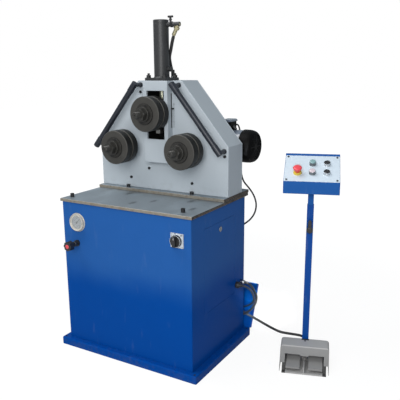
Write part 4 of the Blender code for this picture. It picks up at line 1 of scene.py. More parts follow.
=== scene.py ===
import math

import bmesh
import bpy
from bpy.props import FloatProperty, FloatVectorProperty, IntProperty, PointerProperty
from mathutils import Euler, Matrix, Vector


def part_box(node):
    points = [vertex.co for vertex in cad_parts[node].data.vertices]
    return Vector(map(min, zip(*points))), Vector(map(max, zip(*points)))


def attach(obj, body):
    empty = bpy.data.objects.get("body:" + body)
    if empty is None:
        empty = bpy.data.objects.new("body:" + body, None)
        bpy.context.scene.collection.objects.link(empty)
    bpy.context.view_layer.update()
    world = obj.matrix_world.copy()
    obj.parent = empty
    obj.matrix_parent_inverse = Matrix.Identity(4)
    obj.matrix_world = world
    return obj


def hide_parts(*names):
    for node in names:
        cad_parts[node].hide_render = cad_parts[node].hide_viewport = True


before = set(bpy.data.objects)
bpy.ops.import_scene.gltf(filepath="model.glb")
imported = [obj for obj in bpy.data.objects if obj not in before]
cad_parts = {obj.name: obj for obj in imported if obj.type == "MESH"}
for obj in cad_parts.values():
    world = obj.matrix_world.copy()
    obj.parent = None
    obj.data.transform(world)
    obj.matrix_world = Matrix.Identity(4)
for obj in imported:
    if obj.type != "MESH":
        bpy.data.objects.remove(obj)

bl_info = {
    "name": "Profile bending machine",
    "version": (1, 0, 0),
    "blender": (4, 5, 0),
    "location": "3D View > Sidebar > Bending",
    "description": "Fine pieces, finishes, light and camera for a three roller bending machine",
    "category": "Object",
}

MM = 0.001
QUARTER = math.pi / 2
SHARP = math.radians(35)
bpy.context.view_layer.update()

# Turns that lay a shape's own Z along another direction
UP = (0, 0, 0)
FORWARD = (QUARTER, 0, 0)
BACKWARD = (-QUARTER, 0, 0)
RIGHTWARD = (0, QUARTER, 0)
LEFTWARD = (0, -QUARTER, 0)


def low(node):
    """The lowest corner of a CAD node, in millimetres."""
    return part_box(node)[0] / MM


def high(node):
    """The highest corner of a CAD node, in millimetres."""
    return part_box(node)[1] / MM


def middle(node):
    """The middle of a CAD node's box, in millimetres."""
    return (low(node) + high(node)) / 2


# Frames of the control stand and of its sloping panel, in millimetres
STAND = Matrix.Translation((681.2, 203.0, 0)) @ Matrix.Rotation(math.radians(18.3), 4, "Z")
PANEL = STAND @ Matrix.Translation((0, -67.0, 826.3)) @ Matrix.Rotation(math.atan2(86.4, 155.0), 4, "X")

# Routes of the cords, in millimetres
CONTROL_ROUTE = [
    (366.3, 212, 292), (378.3, 212, 292), (391, 219, 282), (405, 232, 254), (414, 243, 220),
    (409, 250, 188), (390, 255, 150), (362, 258, 120), (335, 258.6, 103), (290, 259, 97), (240, 260, 99),
    (199, 262, 115), (182, 264, 156), (199, 267, 197), (240, 269, 214), (281, 271, 197), (298, 272, 160),
    (303, 272, 134), (316, 272, 117), (335, 272.5, 107), (384, 278, 88), (442, 280, 67), (494, 266, 60),
    (537, 258, 56), (573.8, 272.8, 50), (605.8, 284.5, 47), (629.6, 285.8, 47), (650.8, 275.1, 47),
    (663.9, 255.2, 47), (667.1, 245.7, 47),
]
MAINS_ROUTE = [
    (378.3, 166, 292), (387.3, 166, 292), (399, 175, 284), (405, 193, 268), (403, 217, 246),
    (399, 241, 222), (394, 259, 193), (384, 270, 170), (358, 281, 147), (322, 290, 128), (288, 296, 137),
    (262, 303, 156), (242, 313, 182), (226, 328, 214), (216, 339, 238), (210, 349.4, 252.6),
    (200, 372.5, 261), (191, 395.6, 252.6), (186, 406.3, 237.3), (181, 409.5, 200), (178, 411, 150),
    (176.5, 413, 100), (176, 416, 46), (175.8, 427, 16.5), (175.7, 453, 5.2), (175.6, 484, 4.8),
    (175.6, 501.7, 4.8), (175.6, 510.7, 4.8),
]
LEAD_ROUTE = [
    (247.3, 338.6, 1029.3), (247.3, 346.6, 1029.3), (247.2, 368, 1022), (247, 384, 1000), (248, 392, 960),
    (251, 395, 890), (258, 384, 835), (275, 352, 788), (306, 318, 758), (340, 305, 732), (365, 302, 701),
    (379, 300, 662), (373, 301, 620), (351, 302, 584), (321.6, 304, 557.2), (303.5, 294.6, 543.6),
    (296, 272.5, 538), (296, 264.5, 538),
]
HOSE_ROUTE = [
    (79.6, 84.5, 1458.4), (73.6, 84.5, 1448), (64, 88.5, 1432), (50, 97, 1406), (34, 109.5, 1373),
    (19, 121, 1343), (11, 138, 1316), (6, 155, 1293), (5, 165.5, 1279), (5, 168, 1269.4),
    (5, 168, 1257.4),
]

# The camera as it was solved from the photo: metres, then yaw, pitch and roll in degrees, then the lens
CAMERA_PLACE = (1.4519, -2.0645, 1.2874)
CAMERA_ANGLES = (30.313, 13.188, -0.354)
CAMERA_LENS = 50.2

# Places on the plinth, the cabinet and the table, in millimetres
ANCHOR_X, ANCHOR_Y = 360.5, 250.5
CABINET_FRONT = -240.5
GAUGE_PLACE = (-256, CABINET_FRONT, 617)
VALVE_PLACE = (-264, CABINET_FRONT, 518)
SWITCH_PLACE = (279, CABINET_FRONT, 612)
LOCK_PLACE = (5.5, 606.5)
CONTROL_INLET = CONTROL_ROUTE[0][1:]
MAINS_INLET = MAINS_ROUTE[0][1:]
TABLE_SCREWS = ((-318, -200), (280, -198))
RISER_SCREWS = ((-187, 51), (171, 51))
# Dark round marks on the table, as painted shadows
PAINTED_SHADOWS = ((-131, -14), (209, -14), (-2, -162), (285, -132), (60, -90))

# Places on the head and behind it, in millimetres
BOSS = 20
FACE_SCREWS = (
    (-174.3, 782.7), (168.2, 782.9), (-67.4, 834.3), (-105.5, 1188), (105.5, 1188), (-334.7, 917),
    (334.7, 917),
)
BAR_TOP, BAR_FOOT, BAR_DEPTH = (95.5, 1229.6), (340.5, 929.6), 10
SLIDE_GAP = 0.6
DIAL_START, DIAL_SWEEP = math.radians(225), math.radians(270)
SCALE_START = (75, 1034)
PRESS_AXIS = Vector((0, 84.5, 0))
BLEED_AXIS = Vector((51, 84.5, 0))
PORT_OFFSET = 26
GEARBOX_HEIGHT = 861.3
MOTOR_AXIS = Vector((0, 290.3, 936.3))
MOTOR_SHORTER = 25

# Places on the control panel, in its own frame, in millimetres
BUTTONS = {"start": (1.5, 117), "stop": (1.5, 56), "up": (62, 117), "down": (62, 56)}
STOP_SWITCH = (-60.5, 56)
PANEL_FACE = 1.8


def length_of(name, text, default):
    """A property that holds a length."""
    return FloatProperty(name=name, description=text, default=default, min=0.0001, unit="LENGTH")


def colour_of(name, text, default):
    """A property that holds a colour."""
    return FloatVectorProperty(name=name, description=text, default=default, min=0, max=1, subtype="COLOR")


class MachineSizes(bpy.types.PropertyGroup):
    """Sizes of the pieces that the visual model adds to the CAD model."""

    roller_radius: length_of(
        "Roller radius", "Outer radius of the forming rollers", high("upper_front_roller").x * MM
    )
    edge: length_of("Edge", "Rounding of machined edges", 0.0007)
    sheet_edge: length_of("Sheet edge", "Rounding of painted sheet metal edges", 0.0015)
    face_screw: length_of("Face screw", "Head radius of the screws in the head's face", 0.0065)
    table_screw: length_of("Table screw", "Head radius of the screws in the table and riser", 0.009)
    panel_screw: length_of("Panel screw", "Head radius of the control panel's screws", 0.0043)
    set_screw: length_of("Set screw", "Head radius of the screws in the rollers' hubs", 0.0045)
    flange_nut: length_of("Flange nut", "Corner radius of the nuts on the cylinder's flange", 0.0105)
    thread_pitch: length_of("Thread pitch", "Spacing of the threads on the roller shafts", 0.0022)
    spokes: IntProperty(name="Spokes", description="Number of spokes of the fan's guard", default=8, min=3)
    lobes: IntProperty(name="Knob lobes", description="Number of lobes on the valve's knob", default=8, min=3)
    dial_ticks: IntProperty(name="Dial ticks", description="Number of ticks on the gauge", default=31, min=5)
    scale_ticks: IntProperty(name="Scale ticks", description="Ticks of the press scale", default=22, min=5)


class MachineColours(bpy.types.PropertyGroup):
    """Colours of the machine's paints, plastics and metals."""

    cabinet: colour_of("Cabinet", "Gloss blue of the cabinet, plinth and stand", (0.001, 0.060, 0.300))
    head: colour_of("Head", "Pale blue grey of the head", (0.455, 0.50, 0.535))
    pedal: colour_of("Pedal unit", "Grey of the foot pedals and their hood", (0.42, 0.41, 0.40))
    roller: colour_of("Roller", "Blackened steel of the rollers and shafts", (0.062, 0.059, 0.053))
    bar: colour_of("Guide bar", "Black paint of the guide bars", (0.015, 0.018, 0.026))
    cylinder: colour_of("Cylinder", "Satin paint of the press cylinder", (0.031, 0.031, 0.032))
    table: colour_of("Table", "Ground steel of the table", (0.29, 0.335, 0.37))
    rubber: colour_of("Rubber", "Sheath of the cords and the hose", (0.022, 0.021, 0.021))
    motor: colour_of("Motor", "Gloss paint of the motor", (0.13, 0.155, 0.20))
    panel: colour_of("Panel", "Plate with the push buttons", (0.66, 0.75, 0.83))
    stop: colour_of("Stop", "Mushroom head and warning red", (0.80, 0.065, 0.085))
    collar: colour_of("Collar", "Yellow collar under the stop switch", (0.68, 0.50, 0.06))
    start: colour_of("Start", "Lens of the start button", (0.24, 0.40, 0.41))
    plastic: colour_of("Plastic", "Black knobs, levers and glands", (0.016, 0.016, 0.017))


class Field:
    """A value that changes over a surface, on which Python's operators build math nodes."""

    def __init__(self, nodes, socket):
        self.nodes = nodes
        self.socket = socket

    def math(self, operation, *others):
        """A math node on this value and the others."""
        values = dict(enumerate((self,) + others))
        return self.nodes.node("ShaderNodeMath", {"operation": operation}, values)

    def __add__(self, other):
        return self.math("ADD", other)

    def __mul__(self, other):
        return self.math("MULTIPLY", other)

    def __sub__(self, other):
        return self.math("SUBTRACT", other)

    def __rsub__(self, other):
        return self.nodes.node("ShaderNodeMath", {"operation": "SUBTRACT"}, {0: other, 1: self})

    def __truediv__(self, other):
        return self.math("DIVIDE", other)

    def __gt__(self, other):
        return self.math("GREATER_THAN", other)

    def __lt__(self, other):
        return self.math("LESS_THAN", other)

    __radd__ = __add__
    __rmul__ = __mul__

    def between(self, first, last, start=0.0, end=1.0):
        """Start where the value is first, end where it is last, and no further."""
        values = {0: self, 1: first, 2: last, 3: start, 4: end}
        return self.nodes.node("ShaderNodeMapRange", {"interpolation_type": "SMOOTHSTEP"}, values)


class Nodes:
    """A node tree that is filled through one method."""

    def __init__(self, tree):
        self.tree = tree

    def node(self, kind, settings=None, values=None, output=0):
        """A new node with its settings and the values of its inputs, as the field of one output."""
        made = self.tree.nodes.new(kind)
        for name, value in (settings or {}).items():
            setattr(made, name, value)
        for socket, value in (values or {}).items():
            self.feed(made.inputs[socket], value)
        return Field(self, made.outputs[output])

    def vector(self, *parts):
        """A vector of one, two or three parts, the rest 0."""
        return self.node("ShaderNodeCombineXYZ", None, dict(enumerate(parts)))

    def feed(self, socket, value):
        """Links a field to a socket, or sets a plain value on it."""
        if isinstance(value, Field):
            self.tree.links.new(value.socket, socket)
        else:
            socket.default_value = value


class Finish(Nodes):
    """A material: fields on the piece's own coordinates, wired to one shader."""

    def __init__(self, name, **fixed):
        self.material = bpy.data.materials.new(name)
        self.material.use_nodes = True
        super().__init__(self.material.node_tree)
        self.shader = self.tree.nodes["Principled BSDF"]
        for socket, value in fixed.items():
            self.shader.inputs[socket.replace("_", " ")].default_value = value
        self.place = self.node("ShaderNodeTexCoord", output="Object")

    def axes(self):
        """The piece's own x, y and z, in metres."""
        return [self.node("ShaderNodeSeparateXYZ", None, {0: self.place}, k) for k in range(3)]

    def noise(self, size, detail=2.0, stretch=(1, 1, 1)):
        """Noise whose patches are about size metres across, before they are stretched."""
        share = [1 / (size * s) for s in stretch]
        spot = self.node("ShaderNodeVectorMath", {"operation": "MULTIPLY"}, {0: self.place, 1: share})
        return self.node("ShaderNodeTexNoise", None, {"Vector": spot, "Scale": 1.0, "Detail": detail})

    def attribute(self, name):
        """A value that the mesh keeps for each of its points."""
        return self.node("ShaderNodeAttribute", {"attribute_name": name}, output="Fac")

    def rings(self, pitch):
        """Turning marks: noise on the distance from a turned piece's axis and on its height."""
        across = self.attribute("turn_radius") + self.attribute("turn_height")
        values = {"W": across / pitch, "Scale": 1.0}
        return self.node("ShaderNodeTexNoise", {"noise_dimensions": "1D"}, values)

    def mix(self, share, first, second):
        """The first colour where the share is 0, the second where it is 1."""
        colours = [c if isinstance(c, Field) else (*c, 1.0) for c in (first, second)]
        values = {0: share, 6: colours[0], 7: colours[1]}
        return self.node("ShaderNodeMix", {"data_type": "RGBA"}, values, 2)

    def shaded(self, colour, share):
        """The colour times a share that changes over the surface."""
        paint = colour if isinstance(colour, Field) else (*colour, 1.0)
        grey = self.vector(share, share, share)
        settings = {"data_type": "RGBA", "blend_type": "MULTIPLY"}
        return self.node("ShaderNodeMix", settings, {0: 1.0, 6: paint, 7: grey}, 2)

    def relief(self, height, depth):
        """A fine relief in the surface's normals, this many metres deep."""
        values = {"Height": height, "Distance": depth, "Strength": 1.0}
        self.feed(self.shader.inputs["Normal"], self.node("ShaderNodeBump", None, values))

    def wire(self, colour, roughness):
        """Feeds the shader and gives back the material."""
        self.feed(self.shader.inputs["Base Color"], colour)
        self.feed(self.shader.inputs["Roughness"], roughness)
        return self.material


def tint(colour, share):
    """The colour times a share, no brighter than white."""
    return tuple(min(1.0, c * share) for c in colour)


def paint(name, colour, roughness, coat=0.3, spread=0.06, peel=0.0016, depth=0.00004, specular=0.4):
    """Sprayed paint: faint clouds, a peel like an orange's, and dull scuffs."""
    made = Finish(name, Coat_Weight=coat, Coat_Roughness=0.12, Specular_IOR_Level=specular)
    clouds = made.noise(0.16, 3.0)
    fine = made.noise(0.004, 1.0)
    scuffs = made.noise(0.03, 4.0, (1, 1, 3)).between(0.60, 0.74)
    share = 1 - spread / 2 + clouds * spread + fine * 0.03
    made.relief(made.noise(peel, 1.0), depth)
    worn = made.mix(scuffs * 0.06, made.shaded(colour, share), (0.35, 0.37, 0.40))
    return made.wire(worn, roughness + clouds * 0.06 + scuffs * 0.14)


def cabinet_paint(colours):
    """Gloss blue with a painted reflection that lightens the upper part of the cabinet, and greyer patches at
    its foot.
    """
    made = Finish("cabinet_blue", Specular_IOR_Level=0.03)
    z = made.axes()[2]
    clouds = made.noise(0.22, 3.0)
    # Painted reflection: from about 0.30 m up the blue is mixed towards a lighter blue, fading out again
    # above 0.90 m
    upper = (z + (clouds - 0.5) * 0.10).between(0.30, 0.47) * (1 - z.between(0.90, 1.0))
    colour = made.mix(upper, colours.cabinet, (0.020, 0.104, 0.350))
    scuffs = made.noise(0.035, 4.0, (1, 1, 4)).between(0.60, 0.76)
    # Greyer patches within about 5 cm of the floor
    foot = (1 - z.between(0.004, 0.05)) * made.noise(0.02, 3.0).between(0.40, 0.70)
    colour = made.mix(scuffs * 0.05, colour, (0.30, 0.36, 0.45))
    colour = made.mix(foot * 0.22, colour, (0.10, 0.10, 0.10))
    made.relief(made.noise(0.0018, 1.0), 0.00004)
    colour = made.shaded(colour, 0.97 + made.noise(0.05, 2.0) * 0.06)
    return made.wire(colour, 0.26 + clouds * 0.08 + scuffs * 0.16)


def stand_paint(colours):
    """Blue on the post, grey on the foot unit that is welded to it, and near black on the foot's side cheeks
    as painted shade.
    """
    half_post, sole, cheek = 0.0153, 0.0062, 0.0795
    made = Finish("stand_paint", Coat_Weight=0.06, Coat_Roughness=0.15, Specular_IOR_Level=0.15)
    x, y, z = made.axes()
    origin = STAND.translation * MM
    across = (x - origin.x) * STAND[0][0] + (y - origin.y) * STAND[1][0]
    along = (x - origin.x) * STAND[0][1] + (y - origin.y) * STAND[1][1]
    post = (across.math("ABSOLUTE") < half_post) * (along.math("ABSOLUTE") < half_post) * (z > sole)
    clouds = made.noise(0.12, 3.0)
    scuffs = made.noise(0.02, 4.0, (1, 1, 5)).between(0.58, 0.74)
    # Painted shade: the foot's side cheeks get a near black copy of the grey
    shaded_cheeks = (across.math("ABSOLUTE") > cheek) * (1 - post)
    colour = made.mix(shaded_cheeks, made.mix(post, colours.pedal, colours.cabinet), tint(colours.pedal, 0.12))
    colour = made.mix(scuffs * 0.10, colour, (0.32, 0.34, 0.37))
    made.relief(made.noise(0.0016, 1.0), 0.00004)
    return made.wire(made.shaded(colour, 0.95 + clouds * 0.10), 0.32 + clouds * 0.08 + scuffs * 0.15)


def head_paint(name, colours, slideway=None):
    """Pale enamel over a thick steel plate, a little darker in brownish patches low on its face, and near
    black inside the slideway as painted shade.
    """
    made = Finish(name, Coat_Weight=0.08, Coat_Roughness=0.15, Specular_IOR_Level=0.25)
    x, y, z = made.axes()
    clouds = made.noise(0.20, 3.0)
    # Darker, brownish patches low on the face, fading out by 0.80 m up
    low_down = (1 - z.between(0.735, 0.80)) * made.noise(0.03, 3.0).between(0.45, 0.75)
    specks = made.noise(0.006, 2.0).between(0.70, 0.78)
    colour = made.mix(low_down * 0.18, made.shaded(colours.head, 0.96 + clouds * 0.08), (0.20, 0.19, 0.17))
    colour = made.mix(specks * 0.12, colour, (0.22, 0.21, 0.19))
    # Painted shade: the slideway's inner walls behind the window are made near black
    if slideway:
        side, front = (-low(slideway).x + SLIDE_GAP) * MM, low(slideway).y * MM
        back = (high(slideway).y + SLIDE_GAP) * MM
        inside = (x.math("ABSOLUTE") < side) * (y > front) * (y < back)
        colour = made.mix(inside, colour, (0.010, 0.011, 0.011))
    made.relief(made.noise(0.0018, 1.0), 0.00004)
    return made.wire(colour, 0.30 + clouds * 0.10)


def ground_steel(name, colour, box_low, box_high, metallic=0.55):
    """Ground plate: fine streaks along it, cross smudges, dark round marks as painted shadows, and bare edges
    browned by heat and rust.
    """
    rim = 0.0012
    made = Finish(name, Metallic=metallic)
    x, y = made.axes()[:2]
    streaks = made.noise(0.0011, 2.0, (90, 1, 1))
    smudges = made.noise(0.10, 4.0, (0.7, 2.4, 1)).between(0.42, 0.72)
    rough = made.noise(0.010, 3.0)
    spots = made.noise(0.022, 5.0).between(0.60, 0.76)
    share = 0.80 + streaks * 0.22 + smudges * 0.22
    steel = made.mix(spots * 0.45, made.shaded(colour, share), tint(colour, 0.45))
    # Painted shadows: dark round marks at the listed places
    marks = 0.0
    for across, deep in PAINTED_SHADOWS:
        offset = made.vector(x - across * MM, (y - deep * MM) * 0.45)
        reach = made.node("ShaderNodeVectorMath", {"operation": "LENGTH"}, {0: offset}, "Value")
        marks = (1 - (reach + (rough - 0.5) * 0.02).between(0.004, 0.018)) + marks
    steel = made.mix(marks.math("MINIMUM", 1.0) * 0.75, steel, tint(colour, 0.30))
    front = y < box_low.y * MM + rim
    right = x > box_high.x * MM - rim
    left = x < box_low.x * MM + rim
    rust = made.noise(0.012, 4.0)
    tan = made.mix(rust.between(0.35, 0.80), (0.33, 0.30, 0.25), (0.25, 0.20, 0.15))
    brown = made.mix(rust.between(0.42, 0.62), (0.10, 0.075, 0.055), (0.035, 0.028, 0.024))
    steel = made.mix(front, steel, tan)
    steel = made.mix((right + left).math("MINIMUM", 1.0), steel, brown)
    made.relief(streaks, 0.00003)
    return made.wire(steel, 0.38 + smudges * 0.16 + streaks * 0.06)


def hood_paint(colours):
    """Grey paint, with painted shade that darkens the hood's upright front below its top, more so further
    down, and a painted highlight along the bend.
    """
    made = Finish("pedal_grey", Coat_Weight=0.1, Coat_Roughness=0.12, Specular_IOR_Level=0.4)
    z = made.axes()[2]
    top = high("pedal_hood").z * MM
    clouds = made.noise(0.16, 3.0)
    above = z.between(top - 0.0046, top - 0.0036)
    bend = above * (1 - z.between(top - 0.0010, top - 0.0002))
    # Painted shade: the upright front below the bend is made darker, more so further down; painted highlight:
    # a slightly paler line at the bend
    share = 1.02 + clouds * 0.08 + bend * 0.02 - (1 - above) * (0.43 + (top - z) * 2.0)
    scuffs = made.noise(0.03, 4.0, (1, 1, 3)).between(0.60, 0.74)
    made.relief(made.noise(0.0022, 1.0), 0.00006)
    return made.wire(made.shaded(colours.pedal, share), 0.42 + clouds * 0.06 + scuffs * 0.14)


def turned_steel(name, colour, metallic, roughness, pitch=0.0007, marks=0.16):
    """Turned and blackened or bright steel: ring marks, patches of oil, and paler worn spots."""
    made = Finish(name, Metallic=metallic)
    rings = made.rings(pitch)
    oil = made.noise(0.035, 4.0).between(0.40, 0.70)
    worn = made.noise(0.012, 5.0).between(0.62, 0.76)
    share = 0.94 - marks / 2 + rings * marks + oil * 0.12
    steel = made.mix(worn * 0.22, made.shaded(colour, share), tint(colour, 2.4))
    made.relief(rings, 0.00004)
    return made.wire(steel, roughness - oil * 0.10 + rings * 0.06)


def roller_steel(colours):
    """Blackened steel: brown grey on the turned faces, darker round the hub, near black on the rims as
    painted shade, and a pale line round each face as a painted highlight.
    """
    made = Finish("roller_black", Metallic=0.25, Specular_IOR_Level=0.3)
    reach = made.attribute("turn_radius")
    outer = bpy.context.scene.machine_sizes.roller_radius
    hub_radius = 0.046
    face = reach.between(hub_radius, hub_radius + 0.002)
    face = face * (1 - reach.between(outer - 0.0016, outer - 0.0004))
    rings = made.rings(0.0007)
    oil = made.noise(0.035, 4.0).between(0.40, 0.70)
    worn = made.noise(0.012, 5.0).between(0.62, 0.76)
    # Painted highlight: a pale line round each face just inside its chamfer
    lip_highlight = reach.between(outer - 0.0030, outer - 0.0022) * face
    hub = 1 - reach.between(hub_radius - 0.002, hub_radius)
    # Painted shade: the rims get a near black copy of the steel; the hub gets a darker one
    dark = made.mix(hub, tint(colours.roller, 0.22), tint(colours.roller, 0.60))
    base = made.mix(face, dark, colours.roller)
    steel = made.shaded(base, 0.86 + rings * 0.16 + oil * 0.12)
    steel = made.mix(worn * 0.22, steel, tint(colours.roller, 1.6))
    steel = made.mix(lip_highlight * 0.5, steel, tint(colours.roller, 1.9))
    made.relief(rings, 0.00004)
    return made.wire(steel, 0.46 - oil * 0.10 + rings * 0.06)


def moulded(name, colour, roughness, coat=0.0, grain=0.0008, spread=0.08, specular=0.5):
    """Moulded plastic or rubber: a fine grain, slight clouds and a few dull rubs."""
    made = Finish(name, Coat_Weight=coat, Coat_Roughness=0.08, Specular_IOR_Level=specular)
    clouds = made.noise(0.02, 3.0)
    rubs = made.noise(0.006, 4.0).between(0.58, 0.72)
    colour = made.mix(rubs * 0.10, made.shaded(colour, 1 - spread / 2 + clouds * spread), tint(colour, 1.7))
    made.relief(made.noise(grain, 2.0), 0.00003)
    return made.wire(colour, roughness + clouds * 0.08 + rubs * 0.08)


def panel_face(colours):
    """A pale laminate plate, with finger marks."""
    made = Finish("panel_face", Coat_Weight=0.8, Coat_Roughness=0.06)
    marks = made.noise(0.018, 4.0).between(0.52, 0.74)
    clouds = made.noise(0.06, 2.0)
    colour = made.mix(marks * 0.18, made.shaded(colours.panel, 0.95 + clouds * 0.08), (0.42, 0.52, 0.56))
    made.relief(made.noise(0.0012, 2.0), 0.00003)
    return made.wire(colour, 0.30 + marks * 0.14)


def clear_glass(colours):
    """Clear glass with faint smears."""
    made = Finish("gauge_glass", Alpha=0.14, IOR=1.5)
    smears = made.noise(0.02, 3.0).between(0.45, 0.75)
    made.relief(made.noise(0.03, 1.0), 0.00002)
    return made.wire(made.mix(smears, (0.9, 0.93, 0.94), (0.7, 0.74, 0.75)), 0.03 + smears * 0.08)


def make_finish(name):
    """A finish from the makers above: paints, turned steels and plastics differ only in their values."""
    colours = bpy.context.scene.machine_colours
    plates = {"table_steel": "table_plate", "riser_steel": "riser_plate"}
    if name in plates:
        return ground_steel(name, colours.table, low(plates[name]), high(plates[name]))
    if name in ("head_enamel", "housing_enamel"):
        return head_paint(name, colours, "slide_block" if name == "housing_enamel" else None)
    single = {
        "cabinet_blue": cabinet_paint,
        "stand_paint": stand_paint,
        "panel_face": panel_face,
        "gauge_glass": clear_glass,
        "pedal_grey": hood_paint,
        "roller_black": roller_steel,
    }
    if name in single:
        return single[name](colours)
    # Colour, roughness, coat, spread of the clouds, size and depth of the peel, specular level
    paints = {
        # Treads: the hood's grey made darker, as painted shade under the hood
        "tread_grey": (tint(colours.pedal, 0.66), 0.42, 0.1, 0.10, 0.0022, 0.00006),
        "bar_black": (colours.bar, 0.36, 0.15),
        "cylinder_paint": (colours.cylinder, 0.42, 0.08, 0.14, 0.0022, 0.00007),
        "motor_gloss": (colours.motor, 0.18, 1.0, 0.06, 0.0016, 0.00004, 0.6),
        "cowl_black": ((0.004, 0.004, 0.004), 0.42, 0.0, 0.12, 0.0022, 0.00006, 0.06),
        "gearbox_blue": (colours.cabinet, 0.34, 0.2, 0.14, 0.004, 0.0002),
        "pump_grey": ((0.10, 0.11, 0.12), 0.45, 0.0, 0.14),
    }
    # Colour, metallic, roughness, pitch of the turning marks, strength of the marks
    steels = {
        "shaft_black": (tint(colours.roller, 0.75), 0.35, 0.34, 0.0005),
        "screw_black": ((0.020, 0.020, 0.021), 0.3, 0.40),
        "bright_steel": ((0.46, 0.46, 0.45), 0.9, 0.30, 0.0006, 0.10),
        "rod_steel": ((0.30, 0.30, 0.23), 1.0, 0.33, 0.0006, 0.06),
        "gear_steel": ((0.30, 0.295, 0.28), 0.85, 0.36, 0.002, 0.12),
        "chrome": ((0.28, 0.29, 0.31), 1.0, 0.20, 0.0009, 0.05),
        "zinc_yellow": ((0.44, 0.40, 0.25), 0.8, 0.34, 0.0008, 0.10),
        "bezel_steel": ((0.62, 0.57, 0.48), 0.35, 0.30, 0.0007, 0.10),
        "button_ring": ((0.56, 0.58, 0.60), 0.6, 0.26, 0.0007, 0.08),
        "lamp_ring": ((0.17, 0.185, 0.195), 0.6, 0.30, 0.0007, 0.08),
    }
    # Colour, roughness, coat, size of the grain, spread of the clouds, specular level
    plastics = {
        "rubber": (colours.rubber, 0.46, 0.0, 0.0012, 0.18),
        "plastic_black": (colours.plastic, 0.34, 0.1),
        "plastic_red": (colours.stop, 0.28, 0.3),
        "plastic_yellow": (colours.collar, 0.36, 0.1),
        "lens_green": (colours.start, 0.16, 0.6, 0.002),
        "lens_white": ((0.66, 0.56, 0.60), 0.16, 0.6, 0.002),
        "plate_white": ((0.58, 0.62, 0.66), 0.30, 0.2),
        "dial_white": ((0.26, 0.275, 0.285), 0.45),
        "ink_black": ((0.015, 0.015, 0.016), 0.50),
        "ink_grey": ((0.10, 0.10, 0.105), 0.50),
        "ink_white": ((0.60, 0.60, 0.60), 0.45),
        "shadow_black": ((0.006, 0.006, 0.006), 0.70),
        # Slide block: oily black steel, darkened further as painted shade inside the window
        "slide_black": ((0.009, 0.010, 0.010), 0.60, 0.0, 0.0008, 0.08, 0.1),
    }
    if name in paints:
        return paint(name, *paints[name])
    if name in steels:
        return turned_steel(name, *steels[name])
    return moulded(name, *plastics[name])


def finish_of(name):
    """The finish of this name, made once and kept apart from the CAD model's own materials."""
    kept = bpy.data.materials.get("fine_" + name)
    if kept is None:
        kept = make_finish(name)
        kept.name = "fine_" + name
    return kept


def turned(profile, steps=72):
    """A profile of (radius, height) turned about Z. It is closed through the axis where it meets it."""
    area = sum(a[0] * b[1] - b[0] * a[1] for a, b in zip(profile, profile[1:] + profile[:1]))
    profile = profile if area > 0 else profile[::-1]
    points, loops, marks = [], [], []
    for radius, height in profile:
        if radius < 1e-6:
            loops.append([len(points)] * steps)
            points.append(Vector((0, 0, height)))
            marks.append((radius, height))
            continue
        loops.append(list(range(len(points), len(points) + steps)))
        for k in range(steps):
            angle = 2 * math.pi * k / steps
            points.append(Vector((radius * math.cos(angle), radius * math.sin(angle), height)))
            marks.append((radius, height))
    return points, joined_loops(loops), marks


def joined_loops(loops):
    """Faces between each loop of points and the next, and between the last and the first."""
    faces = []
    for first, second in zip(loops, loops[1:] + loops[:1]):
        steps = len(first)
        for k in range(steps):
            n = (k + 1) % steps
            corners = [first[k], first[n], second[n], second[k]]
            kept = [c for i, c in enumerate(corners) if c != corners[i - 1]]
            if len(kept) > 2:
                faces.append(kept)
    return faces


def ring(inner, outer, bottom, top, steps=72):
    """A plain ring about Z, or a disc when its inner radius is 0."""
    return turned([(inner, bottom), (outer, bottom), (outer, top), (inner, top)], steps)


def prism(outline, bottom, top, hollow=None):
    """An outline of (x, y) points pulled along Z, with an inner outline of as many points if it's hollow."""
    area = sum(a[0] * b[1] - b[0] * a[1] for a, b in zip(outline, outline[1:] + outline[:1]))
    turn = 1 if area > 0 else -1
    outer = outline[::turn]
    count = len(outer)
    if hollow is None:
        points = [Vector((x, y, z)) for z in (bottom, top) for x, y in outer]
        faces = [list(range(count))[::-1], list(range(count, 2 * count))]
        faces += [[k, (k + 1) % count, count + (k + 1) % count, count + k] for k in range(count)]
        return points, faces, None
    inner = hollow[::turn]
    rims = [(inner, bottom), (outer, bottom), (outer, top), (inner, top)]
    points = [Vector((x, y, z)) for rim, z in rims for x, y in rim]
    loops = [list(range(k * count, (k + 1) * count)) for k in range(4)]
    return points, joined_loops(loops), None


def block(lowest, highest):
    """A block between two corners."""
    (x0, y0, z0), (x1, y1, z1) = lowest, highest
    return prism([(x0, y0), (x1, y0), (x1, y1), (x0, y1)], z0, z1)


def circle(radius, count):
    """The points of a circle, starting on its X axis."""
    angles = [2 * math.pi * k / count for k in range(count)]
    return [(radius * math.cos(a), radius * math.sin(a)) for a in angles]


def nut(radius, bore, bottom, top, turn=0.0):
    """A hexagon nut whose corners are turned down at both ends."""
    count = 48
    flat = radius * math.cos(math.pi / 6)
    rims = [[], [], [], [], [], []]
    for k in range(count):
        angle = 2 * math.pi * k / count
        reach = flat / math.cos((angle % (math.pi / 3)) - math.pi / 6)
        side = min(reach, flat * 1.02)
        drop = (reach - side) * 0.6
        profile = [(bore, bottom), (side, bottom), (reach, bottom + drop)]
        profile += [(reach, top - drop), (side, top), (bore, top)]
        angle += turn
        for rim, (across, height) in zip(rims, profile):
            rim.append(Vector((across * math.cos(angle), across * math.sin(angle), height)))
    loops = [list(range(k * count, (k + 1) * count)) for k in range(6)]
    return [point for rim in rims for point in rim], joined_loops(loops), None


def threaded(radius, bottom, top, pitch, depth=0.9):
    """The profile points of a thread's crests and roots, from its bottom to its top."""
    count = int((top - bottom) / pitch)
    points = []
    for k in range(count):
        points += [(radius, bottom + k * pitch), (radius - depth, bottom + (k + 0.5) * pitch)]
    return points + [(radius, top)]


